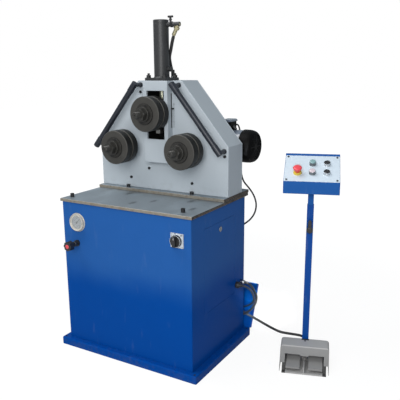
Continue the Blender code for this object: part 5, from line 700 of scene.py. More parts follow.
def lobed(radius, lobes, share, count=96):
    """The outline of a knob with round lobes, whose depth is a share of its radius."""
    points = []
    for k in range(count):
        angle = 2 * math.pi * k / count
        reach = radius * (1 - share / 2 + share / 2 * math.cos(lobes * angle))
        points.append((reach * math.cos(angle), reach * math.sin(angle)))
    return points


def placed(at, turn):
    """The place and turn of a shape, in millimetres, from a matrix or from a point and a turn."""
    if isinstance(at, Matrix):
        return at
    return Matrix.Translation(at) @ Euler(turn).to_matrix().to_4x4()


def aimed(start, end):
    """A place at start whose Z points at end."""
    start, end = Vector(start), Vector(end)
    return Matrix.Translation(start) @ (end - start).to_track_quat("Z", "Y").to_matrix().to_4x4()


class Piece:
    """A mesh in the making, to which shapes are added one after another, each with its finish."""

    def __init__(self, name):
        self.name = name
        self.points, self.faces, self.slots, self.finishes, self.marks = [], [], [], [], []

    def add(self, shape, finish, at=(0, 0, 0), turn=UP):
        """Adds a shape of millimetres at a place, with the turning marks' distances from its axis."""
        points, faces, marks = shape
        matrix = placed(at, turn)
        base = len(self.points)
        self.points += [(matrix @ point) * MM for point in points]
        self.faces += [[base + k for k in face] for face in faces]
        self.marks += marks or [(0.0, point.length) for point in points]
        if finish not in self.finishes:
            self.finishes.append(finish)
        self.slots += [self.finishes.index(finish)] * len(faces)

    def done(self, body, *nodes, edge=None, slot=None, segments=2):
        """The finished mesh as an object on its body, in place of these CAD nodes."""
        mesh = bpy.data.meshes.new(self.name)
        mesh.from_pydata(self.points, [], self.faces)
        for k, name in enumerate(("turn_radius", "turn_height")):
            layer = mesh.attributes.new(name, "FLOAT", "POINT")
            layer.data.foreach_set("value", [mark[k] * MM for mark in self.marks])
        for finish in self.finishes:
            mesh.materials.append(finish_of(finish))
        mesh.polygons.foreach_set("material_index", self.slots)
        return settled(self.name, mesh, body, nodes, edge, segments)


def linked(name, data):
    """A new object of this data, linked to the scene."""
    made = bpy.data.objects.new(name, data)
    bpy.context.scene.collection.objects.link(made)
    return made


def evaluated(piece):
    """The mesh that an object has once its modifiers have run."""
    return bpy.data.meshes.new_from_object(piece.evaluated_get(bpy.context.evaluated_depsgraph_get()))


def in_metres(place):
    """A place and turn whose millimetres are made metres."""
    metres = place.copy()
    metres.translation = place.translation * MM
    return metres


def settled(name, mesh, body, nodes=(), edge=None, segments=2):
    """An object of the mesh with its edges rounded, riding on its body in place of CAD nodes."""
    mesh.shade_smooth()
    mesh.set_sharp_from_angle(angle=SHARP)
    piece = linked(name, mesh)
    width = bpy.context.scene.machine_sizes.edge if edge is None else edge * MM
    if width > 0:
        bevel = piece.modifiers.new("edges", "BEVEL")
        bevel.width = width
        bevel.segments = segments
        bevel.limit_method = "ANGLE"
        bevel.angle_limit = SHARP
        normals = piece.modifiers.new("normals", "WEIGHTED_NORMAL")
        normals.keep_sharp = True
        final = evaluated(piece)
        piece.modifiers.clear()
        piece.data = final
        final.name = name
    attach(piece, body)
    if nodes:
        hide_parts(*nodes)
    return piece


def refined(name, node, body, finish, edge):
    """A CAD node's own shape, merged and with its edges rounded."""
    shape = bmesh.new()
    shape.from_mesh(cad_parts[node].data)
    bmesh.ops.remove_doubles(shape, verts=shape.verts, dist=0.000004)
    bmesh.ops.dissolve_limit(shape, angle_limit=math.radians(0.6), verts=shape.verts, edges=shape.edges)
    mesh = bpy.data.meshes.new(name)
    shape.to_mesh(mesh)
    shape.free()
    mesh.materials.clear()
    mesh.materials.append(finish_of(finish))
    mesh.polygons.foreach_set("material_index", [0] * len(mesh.polygons))
    settled(name, mesh, body, (node,), edge)


def dress(finish, *nodes):
    """Gives CAD nodes that stay as they are a finish of their own."""
    for node in nodes:
        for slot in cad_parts[node].material_slots:
            slot.material = finish_of(finish)


class Pattern(Nodes):
    """A Geometry Nodes tree for what repeats, with named inputs for its sizes."""

    def __init__(self, name, inputs):
        super().__init__(bpy.data.node_groups.new(name, "GeometryNodeTree"))
        kinds = {float: "NodeSocketFloat", int: "NodeSocketInt"}
        face = self.tree.interface
        face.new_socket("Geometry", in_out="INPUT", socket_type="NodeSocketGeometry")
        for key, default in inputs.items():
            made = face.new_socket(key, in_out="INPUT", socket_type=kinds[type(default)])
            made.default_value = default
        face.new_socket("Finish", in_out="INPUT", socket_type="NodeSocketMaterial")
        face.new_socket("Geometry", in_out="OUTPUT", socket_type="NodeSocketGeometry")
        self.group = self.tree.nodes.new("NodeGroupInput")

    def value(self, name):
        """One of the tree's inputs."""
        return Field(self, self.group.outputs[name])

    def close(self, **values):
        """Sets an instance on points and ends the tree in Realize Instances and Set Material."""
        geometry = self.node("GeometryNodeInstanceOnPoints", None, values)
        real = self.node("GeometryNodeRealizeInstances", None, {0: geometry})
        dressed = self.node("GeometryNodeSetMaterial", None, {0: real, "Material": self.value("Finish")})
        end = self.tree.nodes.new("NodeGroupOutput")
        self.feed(end.inputs[0], dressed)
        return self.tree


def spread(name, tree, body, finish, values, points=((0, 0, 0),), facing=None, place=None, slot=None):
    """The tree's result on these points, as one plain mesh that rides on a body."""
    mesh = bpy.data.meshes.new(name)
    mesh.from_pydata([Vector(point) * MM for point in points], [], [])
    if facing:
        layer = mesh.attributes.new("facing", "FLOAT_VECTOR", "POINT")
        layer.data.foreach_set("vector", [c for vector in facing for c in vector])
    piece = linked(name, mesh)
    maker = piece.modifiers.new("pattern", "NODES")
    maker.node_group = tree
    values = dict(values, Finish=finish_of(finish))
    for item in tree.interface.items_tree:
        if item.in_out == "INPUT" and item.name in values:
            maker[item.identifier] = values[item.name]
    final = evaluated(piece)
    piece.modifiers.clear()
    if place is not None:
        final.transform(in_metres(place))
    final.shade_smooth()
    final.set_sharp_from_angle(angle=SHARP)
    final.name = name
    piece.data = final
    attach(piece, body)


def tree_named(name, maker):
    """The tree of this name, made once."""
    return bpy.data.node_groups.get(name) or maker(name)


def screw_tree(name):
    """Socket screws: a head with a six sided recess, on each point, along its facing."""
    inputs = {"Head Radius": 0.006, "Head Height": 0.004, "Recess Radius": 0.003, "Recess Depth": 0.002}
    tree = Pattern(name, inputs)
    tall = tree.value("Head Height")
    cylinder = "GeometryNodeMeshCylinder"
    head = tree.node(cylinder, None, {"Vertices": 28, "Radius": tree.value("Head Radius"), "Depth": tall})
    deep = tree.value("Recess Depth") * 2.0
    recess = tree.node(cylinder, None, {"Vertices": 6, "Radius": tree.value("Recess Radius"), "Depth": deep})
    half_up, full_up = tree.vector(0, 0, tall * 0.5), tree.vector(0, 0, tall)
    head = tree.node("GeometryNodeTransform", None, {"Geometry": head, "Translation": half_up})
    recess = tree.node("GeometryNodeTransform", None, {"Geometry": recess, "Translation": full_up})
    meshes = {"Mesh 1": head, "Mesh 2": recess}
    cut = tree.node("GeometryNodeMeshBoolean", {"operation": "DIFFERENCE"}, meshes)
    named = {"data_type": "FLOAT_VECTOR"}
    facing = tree.node("GeometryNodeInputNamedAttribute", named, {"Name": "facing"})
    turn = tree.node("FunctionNodeAlignRotationToVector", {"axis": "Z"}, {"Vector": facing})
    return tree.close(Points=tree.value("Geometry"), Instance=cut, Rotation=turn)


def spoke_tree(name):
    """Spokes round a circle, each standing out from the axis."""
    inputs = {"Count": 24, "Inner": 0.06, "Outer": 0.07, "Length": 0.1, "Thickness": 0.002}
    tree = Pattern(name, inputs)
    inner, outer = tree.value("Inner"), tree.value("Outer")
    values = {"Vertices": tree.value("Count"), "Radius": (inner + outer) * 0.5}
    points = tree.node("GeometryNodeMeshCircle", None, values)
    size = tree.vector(outer - inner, tree.value("Thickness"), tree.value("Length"))
    spoke = tree.node("GeometryNodeMeshCube", None, {"Size": size})
    spot = tree.node("GeometryNodeInputPosition")
    turn = tree.node("FunctionNodeAlignRotationToVector", {"axis": "X", "pivot_axis": "Z"}, {"Vector": spot})
    return tree.close(Points=points, Instance=spoke, Rotation=turn)


def dial_tree(name):
    """Ticks round part of a circle, each fifth one longer."""
    inputs = {"Count": 31, "Start": 0.0, "Sweep": 1.0, "Radius": 0.03, "Length": 0.003, "Width": 0.0004}
    tree = Pattern(name, inputs)
    count = tree.value("Count")
    line = tree.node("GeometryNodePoints", None, {"Count": count})
    index = tree.node("GeometryNodeInputIndex")
    angle = tree.value("Start") + index / (count - 1) * tree.value("Sweep")
    reach = tree.value("Radius")
    spot = tree.vector(angle.math("COSINE") * reach, angle.math("SINE") * reach)
    line = tree.node("GeometryNodeSetPosition", None, {"Geometry": line, "Position": spot})
    width = tree.value("Width")
    size = tree.vector(tree.value("Length"), width, width)
    tick = tree.node("GeometryNodeMeshCube", None, {"Size": size})
    every = 1.0 + (index.math("MODULO", 5) < 0.5) * 0.8
    grow = tree.vector(every, every, 1.0)
    turn = tree.node("FunctionNodeAlignRotationToVector", {"axis": "X", "pivot_axis": "Z"}, {"Vector": spot})
    return tree.close(Points=line, Instance=tick, Rotation=turn, Scale=grow)


def scale_tree(name):
    """Ticks in a line along Z, each fifth one longer."""
    inputs = {"Count": 21, "Step": 0.005, "Length": 0.005, "Width": 0.0006}
    tree = Pattern(name, inputs)
    offset = tree.vector(0, 0, tree.value("Step"))
    line = tree.node("GeometryNodeMeshLine", None, {"Count": tree.value("Count"), "Offset": offset})
    index = tree.node("GeometryNodeInputIndex")
    width = tree.value("Width")
    size = tree.vector(tree.value("Length"), width, width)
    tick = tree.node("GeometryNodeMeshCube", None, {"Size": size})
    every = 1.0 + (index.math("MODULO", 5) < 0.5) * 0.7
    grow = tree.vector(every, 1.0, 1.0)
    return tree.close(Points=line, Instance=tick, Scale=grow)


def screws(name, body, radius, height, spots, facing):
    """A group of socket screws with the same head and facing."""
    values = {
        "Head Radius": radius,
        "Head Height": height,
        "Recess Radius": radius * 0.52,
        "Recess Depth": height * 0.6,
    }
    tree = tree_named("socket_screws", screw_tree)
    spread(name, tree, body, "screw_black", values, spots, [facing] * len(spots), slot="black_oxide")


def smooth_route(points, step):
    """Even steps along a smooth curve through a cord's route, between its two straight ends."""
    route = [Vector(point) for point in points]
    fine = []
    for before, first, second, after in zip(route, route[1:], route[2:], route[3:]):
        fine += [spline_point(before, first, second, after, k / 24) for k in range(24)]
    fine.append(route[-2])
    return [route[0]] + even_steps(fine, step) + [route[-1]]


def spline_point(before, first, second, after, share):
    """A centripetal Catmull-Rom curve between its two middle points."""
    t1 = math.sqrt((first - before).length)
    t2 = t1 + math.sqrt((second - first).length)
    t3 = t2 + math.sqrt((after - second).length)
    t = t1 + (t2 - t1) * share
    a1 = before.lerp(first, t / t1)
    a2 = first.lerp(second, (t - t1) / (t2 - t1))
    a3 = second.lerp(after, (t - t2) / (t3 - t2))
    b1 = a1.lerp(a2, t / t2)
    b2 = a2.lerp(a3, (t - t1) / (t3 - t1))
    return b1.lerp(b2, (t - t1) / (t2 - t1))


def even_steps(points, step):
    """Points at even steps along a line through these points, with both its ends."""
    total = route_length(points)
    count = max(2, round(total / step))
    result, travelled = [points[0]], 0.0
    for first, second in zip(points, points[1:]):
        length = (second - first).length
        while len(result) < count and travelled + length >= total * len(result) / count:
            share = (total * len(result) / count - travelled) / length
            result.append(first.lerp(second, share))
        travelled += length
    return result + [points[-1]]


def route_length(points):
    """The length of a line through these points."""
    return sum((b - a).length for a, b in zip(points, points[1:]))


def coil_route():
    """The put away coil of the mains cable: in along the floor, out again on top, then to the plug."""
    middle_x, middle_y, inner, way_out = 105.0, 520.0, 40.0, 27.0
    step, lowest, plug_height, turns = 9.8, 4.8, 27.3, 6.25
    points = []
    for k in range(401):
        turn = turns * k / 400
        climb = min(1.0, max(0.0, (turn - turns / 2 + 0.25) * 2))
        leave = min(1.0, max(0.0, (turn - turns + 0.5) * 2))
        ease = leave * leave * (3 - 2 * leave)
        radius = inner + step * abs(turn - turns / 2) + way_out * ease
        height = lowest + step * climb
        height += (plug_height - height) * ease
        angle = 2 * math.pi * turn
        across, back = radius * math.cos(angle), radius * math.sin(angle)
        points.append(Vector((middle_x + across, middle_y + back, height)))
    return points + [points[-1] - Vector((9.0, 0, 0))]


def tube(name, points, radius, finish):
    """One round curve through these points."""
    curve = bpy.data.curves.new(name, "CURVE")
    curve.dimensions = "3D"
    curve.bevel_depth = radius * MM
    curve.bevel_resolution = 6
    curve.use_fill_caps = True
    line = curve.splines.new("POLY")
    line.points.add(len(points) - 1)
    for spot, point in zip(line.points, points):
        spot.co = (*(point * MM), 1.0)
    curve.materials.append(finish_of(finish))
    return linked(name, curve)


def cord(name, points, diameter, finish, nodes):
    """A cord as one round tube along its route, in place of its CAD nodes."""
    piece = tube(name, points, diameter / 2, finish)
    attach(piece, "machine")
    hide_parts(*nodes)
    points[0] * MM
    route_length(points) * MM


class MakeOperator:
    """What the operators of this file share."""

    bl_options = {"REGISTER", "UNDO"}

    def execute(self, context):
        """Makes the pieces from the scene's sizes."""
        self.make(context.scene.machine_sizes)
        return {"FINISHED"}


class BENDING_OT_camera(MakeOperator, bpy.types.Operator):
    """Places the camera at the front right corner, a little above the rollers"""

    bl_idname = "bending.camera"
    bl_label = "Camera"

    def make(self, sizes):
        data = bpy.data.cameras.new("camera")
        data.lens = CAMERA_LENS
        data.sensor_width = 36.0
        data.sensor_fit = "HORIZONTAL"
        camera = linked("camera", data)
        yaw, pitch, roll = (math.radians(angle) for angle in CAMERA_ANGLES)
        look = Vector((-math.sin(yaw) * math.cos(pitch), math.cos(yaw) * math.cos(pitch), -math.sin(pitch)))
        side = Vector((math.cos(yaw), math.sin(yaw), 0))
        top = side.cross(look)
        right = side * math.cos(roll) + top * math.sin(roll)
        above = top * math.cos(roll) - side * math.sin(roll)
        turn = Matrix((right, above, -look)).transposed().to_4x4()
        camera.matrix_world = Matrix.Translation(CAMERA_PLACE) @ turn
        bpy.context.scene.camera = camera


class BENDING_OT_cords(MakeOperator, bpy.types.Operator):
    """Lays the control cable, the mains cable with its coil and plug, the motor lead and the hose"""

    bl_idname = "bending.cords"
    bl_label = "Cords"

    def make(self, sizes):
        control = smooth_route(CONTROL_ROUTE, 6.0)
        cord("control_cord", control, 12.0, "rubber", ["control_cable"])
        plug = self.plug()
        mains = smooth_route(MAINS_ROUTE, 5.0)[:-1] + coil_route()
        nodes = ["mains_cable", "mains_coil"]
        cord("mains_cord", mains, 9.0, "rubber", nodes)
        lead = smooth_route(LEAD_ROUTE, 5.0)
        cord("motor_cord", lead, 8.0, "rubber", ["motor_lead"])
        hose = smooth_route(HOSE_ROUTE, 5.0)
        bare = 6
        on_it = [self.fittings(), self.sleeve(hose[bare:-bare])]
        cord("hose", hose, 12.0, "rubber", ["pressure_hose"])

    def sleeve(self, points):
        """A thicker sleeve that keeps the hose from rubbing on the cylinder."""
        piece = tube("hose_sleeve", points, 7.4, "rubber")
        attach(piece, "machine")
        return piece

    def plug(self):
        """A round industrial plug: ribbed strain relief, body, and a collar round four pins."""
        start = Vector((high("mains_plug").x, *middle("mains_plug").yz))
        relief = [(0, 0), (6.0, 0)]
        for k in range(5):
            rib, height = 7.0 + k * 1.6, k * 4
            relief += [(rib, height + 1.0), (rib + 1.8, height + 2.0), (rib + 1.8, height + 4.2)]
        body = relief + [(19, 22), (23.0, 27), (24, 40), (23.2, 62), (24, 66), (24, 84), (0, 84)]
        piece = Piece("plug")
        piece.add(turned(body), "plastic_red", start, LEFTWARD)
        rim = [(24, 84), (27, 84), (27, 90), (26.2, 92), (26.2, 110), (27, 112), (27, 118), (24, 118)]
        piece.add(turned(rim), "plastic_red", start, LEFTWARD)
        pin = [(0, 84), (2.8, 84), (2.8, 112), (1.8, 114), (0, 114)]
        for k in range(4):
            angle = QUARTER * k + QUARTER / 2
            spot = start + Vector((0, 13 * math.cos(angle), 13 * math.sin(angle)))
            piece.add(turned(pin, 20), "bright_steel", spot, LEFTWARD)
        return piece.done("machine", "mains_plug", edge=0.4, slot="signal_red")

    def fittings(self):
        """Crimped ferrules at the two ends of the hose."""
        piece = Piece("hose_fittings")
        ferrule = [(6.1, 0), (8.2, 0), (8.6, 1.5), (8.6, 8), (8.0, 9), (8.6, 10), (8.6, 17), (8.0, 18)]
        ferrule += [(8.6, 19), (8.6, 26), (7.0, 29), (6.1, 29)]
        top = aimed(HOSE_ROUTE[0], HOSE_ROUTE[1])
        bottom = aimed(HOSE_ROUTE[-1], HOSE_ROUTE[-2])
        piece.add(turned(ferrule, 40), "zinc_yellow", top)
        piece.add(turned(ferrule, 40), "screw_black", bottom)
        return piece.done("machine", edge=0.3)


class BENDING_OT_base(MakeOperator, bpy.types.Operator):
    """Finishes the plinth, the cabinet, its door with the lock, and the panel behind it"""

    bl_idname = "bending.base"
    bl_label = "Plinth and cabinet"

    def make(self, sizes):
        round_off = sizes.sheet_edge / MM
        refined("plinth", "base_plinth", "machine", "cabinet_blue", round_off)
        # Painted shade: black plugs fill the plinth's anchor holes
        hole_shades = Piece("anchor_hole_shades")
        rim = high("base_plinth").z - 1.2
        hole_shade = ring(0, 6.2, 3, rim, 32)
        for x in (-ANCHOR_X, ANCHOR_X):
            for y in (-ANCHOR_Y, ANCHOR_Y):
                hole_shades.add(hole_shade, "shadow_black", (x, y, 0))
        hole_shades.done("machine", edge=0)
        refined("cabinet", "cabinet_shell", "machine", "cabinet_blue", round_off)
        refined("door", "access_door", "door", "cabinet_blue", 0.8)
        refined("back_panel", "rear_panel", "machine", "cabinet_blue", 1.0)
        refined("pump_unit", "power_pack", "machine", "pump_grey", 2.0)
        self.lock()

    def lock(self):
        """The lock's head on the door, its shank through the sheet, its key slot and its cam inside."""
        inner = low("door_lock").x
        back, height = LOCK_PLACE
        at = placed((inner, back, height), RIGHTWARD)
        piece = Piece("lock")
        head = [(0, 5.0), (8, 5.0), (8, 6.3), (12, 6.3), (12, 7.6), (10.6, 8.8), (8.6, 8.8), (8.0, 8.2)]
        piece.add(turned(head + [(0, 8.2)]), "chrome", at)
        piece.add(ring(0, 8, 2.9, 6.4), "chrome", at)
        piece.add(block((-5, -1.1, 8.15), (5, 1.1, 8.4)), "shadow_black", at)
        cam = block((inner, back - 7, height - 7), (inner + 3, high("door_lock").y, height + 7))
        piece.add(cam, "bright_steel")
        piece.done("lock", "door_lock", edge=0.4, slot="bare_steel")


class BENDING_OT_plates(MakeOperator, bpy.types.Operator):
    """Finishes the table plate and the riser plate, with their screws"""

    bl_idname = "bending.plates"
    bl_label = "Table and riser"

    def make(self, sizes):
        refined("table", "table_plate", "machine", "table_steel", 0.8)
        refined("riser", "riser_plate", "machine", "riser_steel", 0.8)
        table, riser = high("table_plate").z, high("riser_plate").z
        spots = [(x, y, table) for x, y in TABLE_SCREWS]
        screws("table_screws", "machine", sizes.table_screw, 0.017, spots, (0, 0, 1))
        spots = [(x, y, riser) for x, y in RISER_SCREWS]
        screws("riser_screws", "machine", sizes.table_screw, 0.012, spots, (0, 0, 1))


class BENDING_OT_head(MakeOperator, bpy.types.Operator):
    """Finishes the head, its cover and slide housing, with screws and the press scale"""

    bl_idname = "bending.head"
    bl_label = "Head"

    def make(self, sizes):
        refined("head", "head_shell", "machine", "head_enamel", 1.2)
        refined("cover", "head_cover", "machine", "head_enamel", 1.0)
        refined("housing", "slide_housing", "machine", "housing_enamel", 0.9)
        refined("block", "slide_block", "press_slide", "slide_black", 0.8)
        face = low("head_shell").y + BOSS
        boss = ring(31.5, 48, 0, BOSS + 0.2)
        piece = Piece("bosses")
        for side in ("left", "right"):
            spot = middle(side + "_front_roller")
            piece.add(boss, "head_enamel", (spot.x, face + 0.1, spot.z), FORWARD)
        piece.done("machine", edge=1.0)
        spots = [(x, face, z) for x, z in FACE_SCREWS]
        screws("face_screws", "machine", sizes.face_screw, 0.005, spots, (0, -1, 0))
        self.scale(sizes, face)
        self.cover_screws(sizes)

    def scale(self, sizes, face):
        """The press scale beside the pointer, a black strip as painted shade in the pointer's slot, and a
        stop on the slide block.
        """
        values = {"Count": sizes.scale_ticks, "Step": 0.005, "Length": 0.006, "Width": 0.0011}
        tree = tree_named("scale_ticks", scale_tree)
        across, lowest = SCALE_START
        place = Matrix.Translation((across, face - 0.2, lowest))
        spread("press_scale", tree, "machine", "ink_black", values, place=place)
        # Painted shade: a thin black strip on the housing's side, in the pointer's slot
        piece = Piece("slot_shade")
        side = high("slide_housing").x
        piece.add(block((side - 0.1, 55.4, 1030), (side + 0.15, 61.4, 1184)), "shadow_black")
        piece.done("machine", edge=0)
        piece = Piece("slide_stop")
        piece.add(block((-6, 35.5, 1004), (16, 60, 1031.4)), "gear_steel")
        piece.done("press_slide", edge=1.0)

    def cover_screws(self, sizes):
        """The screws round the cover on the back of the head."""
        back = high("head_cover").y
        spots = [(side * x, back, z) for side in (-1, 1) for x, z in ((335, 752), (335, 940), (112, 1215))]
        spots += [(0, back, 752), (190, back, 1130), (-190, back, 1130)]
        screws("cover_screws", "machine", sizes.face_screw, 0.004, spots, (0, 1, 0))


class BENDING_OT_bars(MakeOperator, bpy.types.Operator):
    """Turns the two guide bars with their sleeves and pins"""

    bl_idname = "bending.bars"
    bl_label = "Guide bars"

    def make(self, sizes):
        pin_inset = 13
        for side, name in ((-1, "left_guide_bar"), (1, "right_guide_bar")):
            top, bottom = (Vector((side * x, BAR_DEPTH, z)) for x, z in (BAR_TOP, BAR_FOOT))
            length = (bottom - top).length
            way = aimed(top, bottom)
            half = [(0, 0), (13.4, 0), (14.6, 1.3), (14.6, 49), (13.8, 50), (13.0, 50)]
            other = [(r, length - h) for r, h in half[::-1]]
            piece = Piece(name.replace("guide_bar", "bar"))
            piece.add(turned(half + other), "bar_black", way)
            for spot in (top.lerp(bottom, pin_inset / length), bottom.lerp(top, pin_inset / length)):
                piece.add(ring(0, 9, 0, 52.5, 48), "bar_black", spot, BACKWARD)
                piece.add(ring(9, 11.5, 46.5, 52.6, 48), "bar_black", spot, BACKWARD)
            piece.done("machine", name, slot="black_oxide")


class BENDING_OT_rollers(MakeOperator, bpy.types.Operator):
    """Turns the three sets of rollers with their shafts and lock nuts"""

    bl_idname = "bending.rollers"
    bl_label = "Rollers"

    def make(self, sizes):
        screw_circle, hub_front = 39, -65
        outer = sizes.roller_radius / MM
        rim = outer - 2.5
        for hand in ("upper", "left", "right"):
            spot = middle(hand + "_front_roller")
            at = (spot.x, 0, spot.z)
            body = hand + "_roller"
            self.shaft(hand, body, at, sizes)
            front = [(25.3, 23), (rim, 23), (outer, 25.5), (outer, 58.5), (rim, 61), (47, 61), (46.2, 60.2)]
            front += [(44.5, 60.2), (44.5, 65), (25.3, 65)]
            piece = Piece(hand + "_front_roll")
            piece.add(turned(front, 96), "roller_black", at, FORWARD)
            piece.done(body, hand + "_front_roller", slot="black_oxide")
            rear = [(25.3, -21), (rim, -21), (outer, -18.5), (outer, 14.5), (rim, 17), (62, 17), (62, 22.7)]
            piece = Piece(hand + "_rear_roll")
            piece.add(turned(rear + [(25.3, 22.7)], 96), "roller_black", at, FORWARD)
            piece.done(body, hand + "_rear_roller", slot="black_oxide")
            self.lock_nut(hand, body, at)
            spots = []
            for angle in (math.radians(72), math.radians(252)):
                across, up = screw_circle * math.cos(angle), screw_circle * math.sin(angle)
                spots.append((spot.x + across, hub_front, spot.z + up))
            screws(hand + "_hub_screws", body, sizes.set_screw, 0.0012, spots, (0, -1, 0))

    def shaft(self, hand, body, at, sizes):
        """Threaded end, seat for the rollers, shoulder, and the journal behind."""
        if hand == "upper":
            back = [(25, -35), (25, -121), (24, -122), (0, -122)]
            shoulder = 35.0
        else:
            back = [(25, -42.7), (25, -192), (20, -192), (20, -199), (19, -200), (0, -200)]
            shoulder = 42.7
        tip = [(0, 126), (2.2, 127), (3.5, 131), (4.4, 132), (12.2, 132), (14.5, 129.7)]
        thread = threaded(14.5, 103, 129.7, sizes.thread_pitch / MM)[::-1]
        seat = [(14.5, 63), (25, 63), (25, -21.3), (31, -21.3), (31, -shoulder)]
        piece = Piece(hand + "_spindle")
        piece.add(turned(tip + thread + seat + back, 64), "shaft_black", at, FORWARD)
        piece.done(body, hand + "_shaft", edge=0.3, slot="dark_steel")

    def lock_nut(self, hand, body, at):
        """A round collar and a hexagon nut on the shaft's thread."""
        piece = Piece(hand + "_nut")
        collar = [(14.8, 65.3), (32, 65.3), (33, 66.3), (33, 77.3), (32, 78.3), (14.8, 78.3)]
        piece.add(turned(collar, 64), "shaft_black", at, FORWARD)
        piece.add(nut(29, 14.8, 78.3, 102.3, 0.2), "shaft_black", at, FORWARD)
        piece.done(body, hand + "_lock_nut", edge=0.4, slot="black_oxide")


class BENDING_OT_press(MakeOperator, bpy.types.Operator):
    """Turns the press cylinder with its flange, ports, piston rod and bleed knob"""

    bl_idname = "bending.press"
    bl_label = "Press cylinder"

    def make(self, sizes):
        base, top = low("cylinder_barrel").z, high("cylinder_barrel").z
        piece = Piece("press_cylinder")
        piece.add(block((-55.5, 29, base), (55.5, 140, base + 12)), "cylinder_paint")
        barrel = [(17, base + 12), (37.8, base + 12), (36.2, base + 15), (34.6, base + 17)]
        barrel += [(34.6, top - 17), (34.1, top - 16.5), (34.1, top - 15.5), (34.6, top - 15)]
        barrel += [(34.6, top - 3), (33.7, top - 0.9), (31.6, top), (0, top)]
        barrel += [(0, top - 14), (25.5, top - 14), (25.5, base + 40), (17, base + 36)]
        piece.add(turned(barrel, 96), "cylinder_paint", PRESS_AXIS)
        upper_port = placed(PRESS_AXIS + Vector((PORT_OFFSET, 0, top - 22)), RIGHTWARD)
        lower_port = placed(PRESS_AXIS + Vector((PORT_OFFSET, 0, base + 50)), RIGHTWARD)
        piece.add(ring(0, 10, 0, 73, 48), "cylinder_paint", upper_port)
        piece.add(ring(10, 12.5, 26, 38, 6), "screw_black", upper_port)
        start = PRESS_AXIS + Vector((92, 0, top - 22))
        place = aimed(start, start + Vector((-9.25, 0, -16)))
        elbow = [(0, -9), (5, -8.4), (8, -6), (9.5, -2), (9.5, 3), (8.4, 6), (8.4, 15), (0, 15)]
        piece.add(turned(elbow, 40), "zinc_yellow", place)
        piece.add(nut(13, 5, 12.5, 24.5), "zinc_yellow", place)
        piece.add(ring(0, 10, 0, 26, 48), "cylinder_paint", lower_port)
        piece.add(nut(11.5, 3, 16, 24), "screw_black", lower_port)
        roof = high("head_shell").z
        across, back = HOSE_ROUTE[-1][:2]
        piece.add(nut(11, 6.2, roof - 18, roof), "screw_black", (across, back, 0))
        piece.done("machine", "cylinder_barrel", edge=0.8, slot="black_oxide")
        self.studs(sizes, base + 12)
        self.rod()
        self.bleed()

    def studs(self, sizes, height):
        """Four studs through the flange, each with its washer and nut."""
        piece = Piece("flange_nuts")
        washer = ring(0, 12, 0, 1.8, 32)
        hexagon = nut(sizes.flange_nut / MM, 4, 1.8, 12, 0.3)
        stud = turned([(0, 1)] + threaded(5.6, 1, 20, 1.5, 0.6) + [(0, 20)], 24)
        for x in (-43, 43):
            for y in (-43, 43):
                for shape in (washer, hexagon, stud):
                    piece.add(shape, "screw_black", PRESS_AXIS + Vector((x, y, height)))
        piece.done("machine", edge=0.35)

    def rod(self):
        """The piston rod, with its grooved piston at the top."""
        bottom, top = low("piston_rod").z, high("piston_rod").z
        rod = [(0, bottom), (16, bottom), (16, top - 20), (25, top - 20), (25, top - 12), (24, top - 11)]
        rod += [(24, top - 8), (25, top - 7), (25, top), (0, top)]
        piece = Piece("rod")
        piece.add(turned(rod, 64), "rod_steel", PRESS_AXIS)
        piece.done("press_slide", "piston_rod", edge=0.4, slot="bare_steel")

    def bleed(self):
        """The bleed screw: a stem with a collar and a cross bar."""
        bottom, top = low("bleed_knob").z, high("bleed_knob").z
        piece = Piece("bleed_screw")
        piece.add(ring(0, 5, bottom, top - 9, 32), "screw_black", BLEED_AXIS)
        collar = [(5, top - 20), (7.5, top - 19), (7.5, top - 16), (5, top - 15)]
        piece.add(turned(collar, 32), "screw_black", BLEED_AXIS)
        bar = turned([(0, -13), (3.6, -13), (4.5, -12), (4.5, 12), (3.6, 13), (0, 13)], 32)
        piece.add(bar, "screw_black", BLEED_AXIS + Vector((0, 0, top - 4.5)), RIGHTWARD)
        piece.done("bleed", "bleed_knob", edge=0.4, slot="black_oxide")


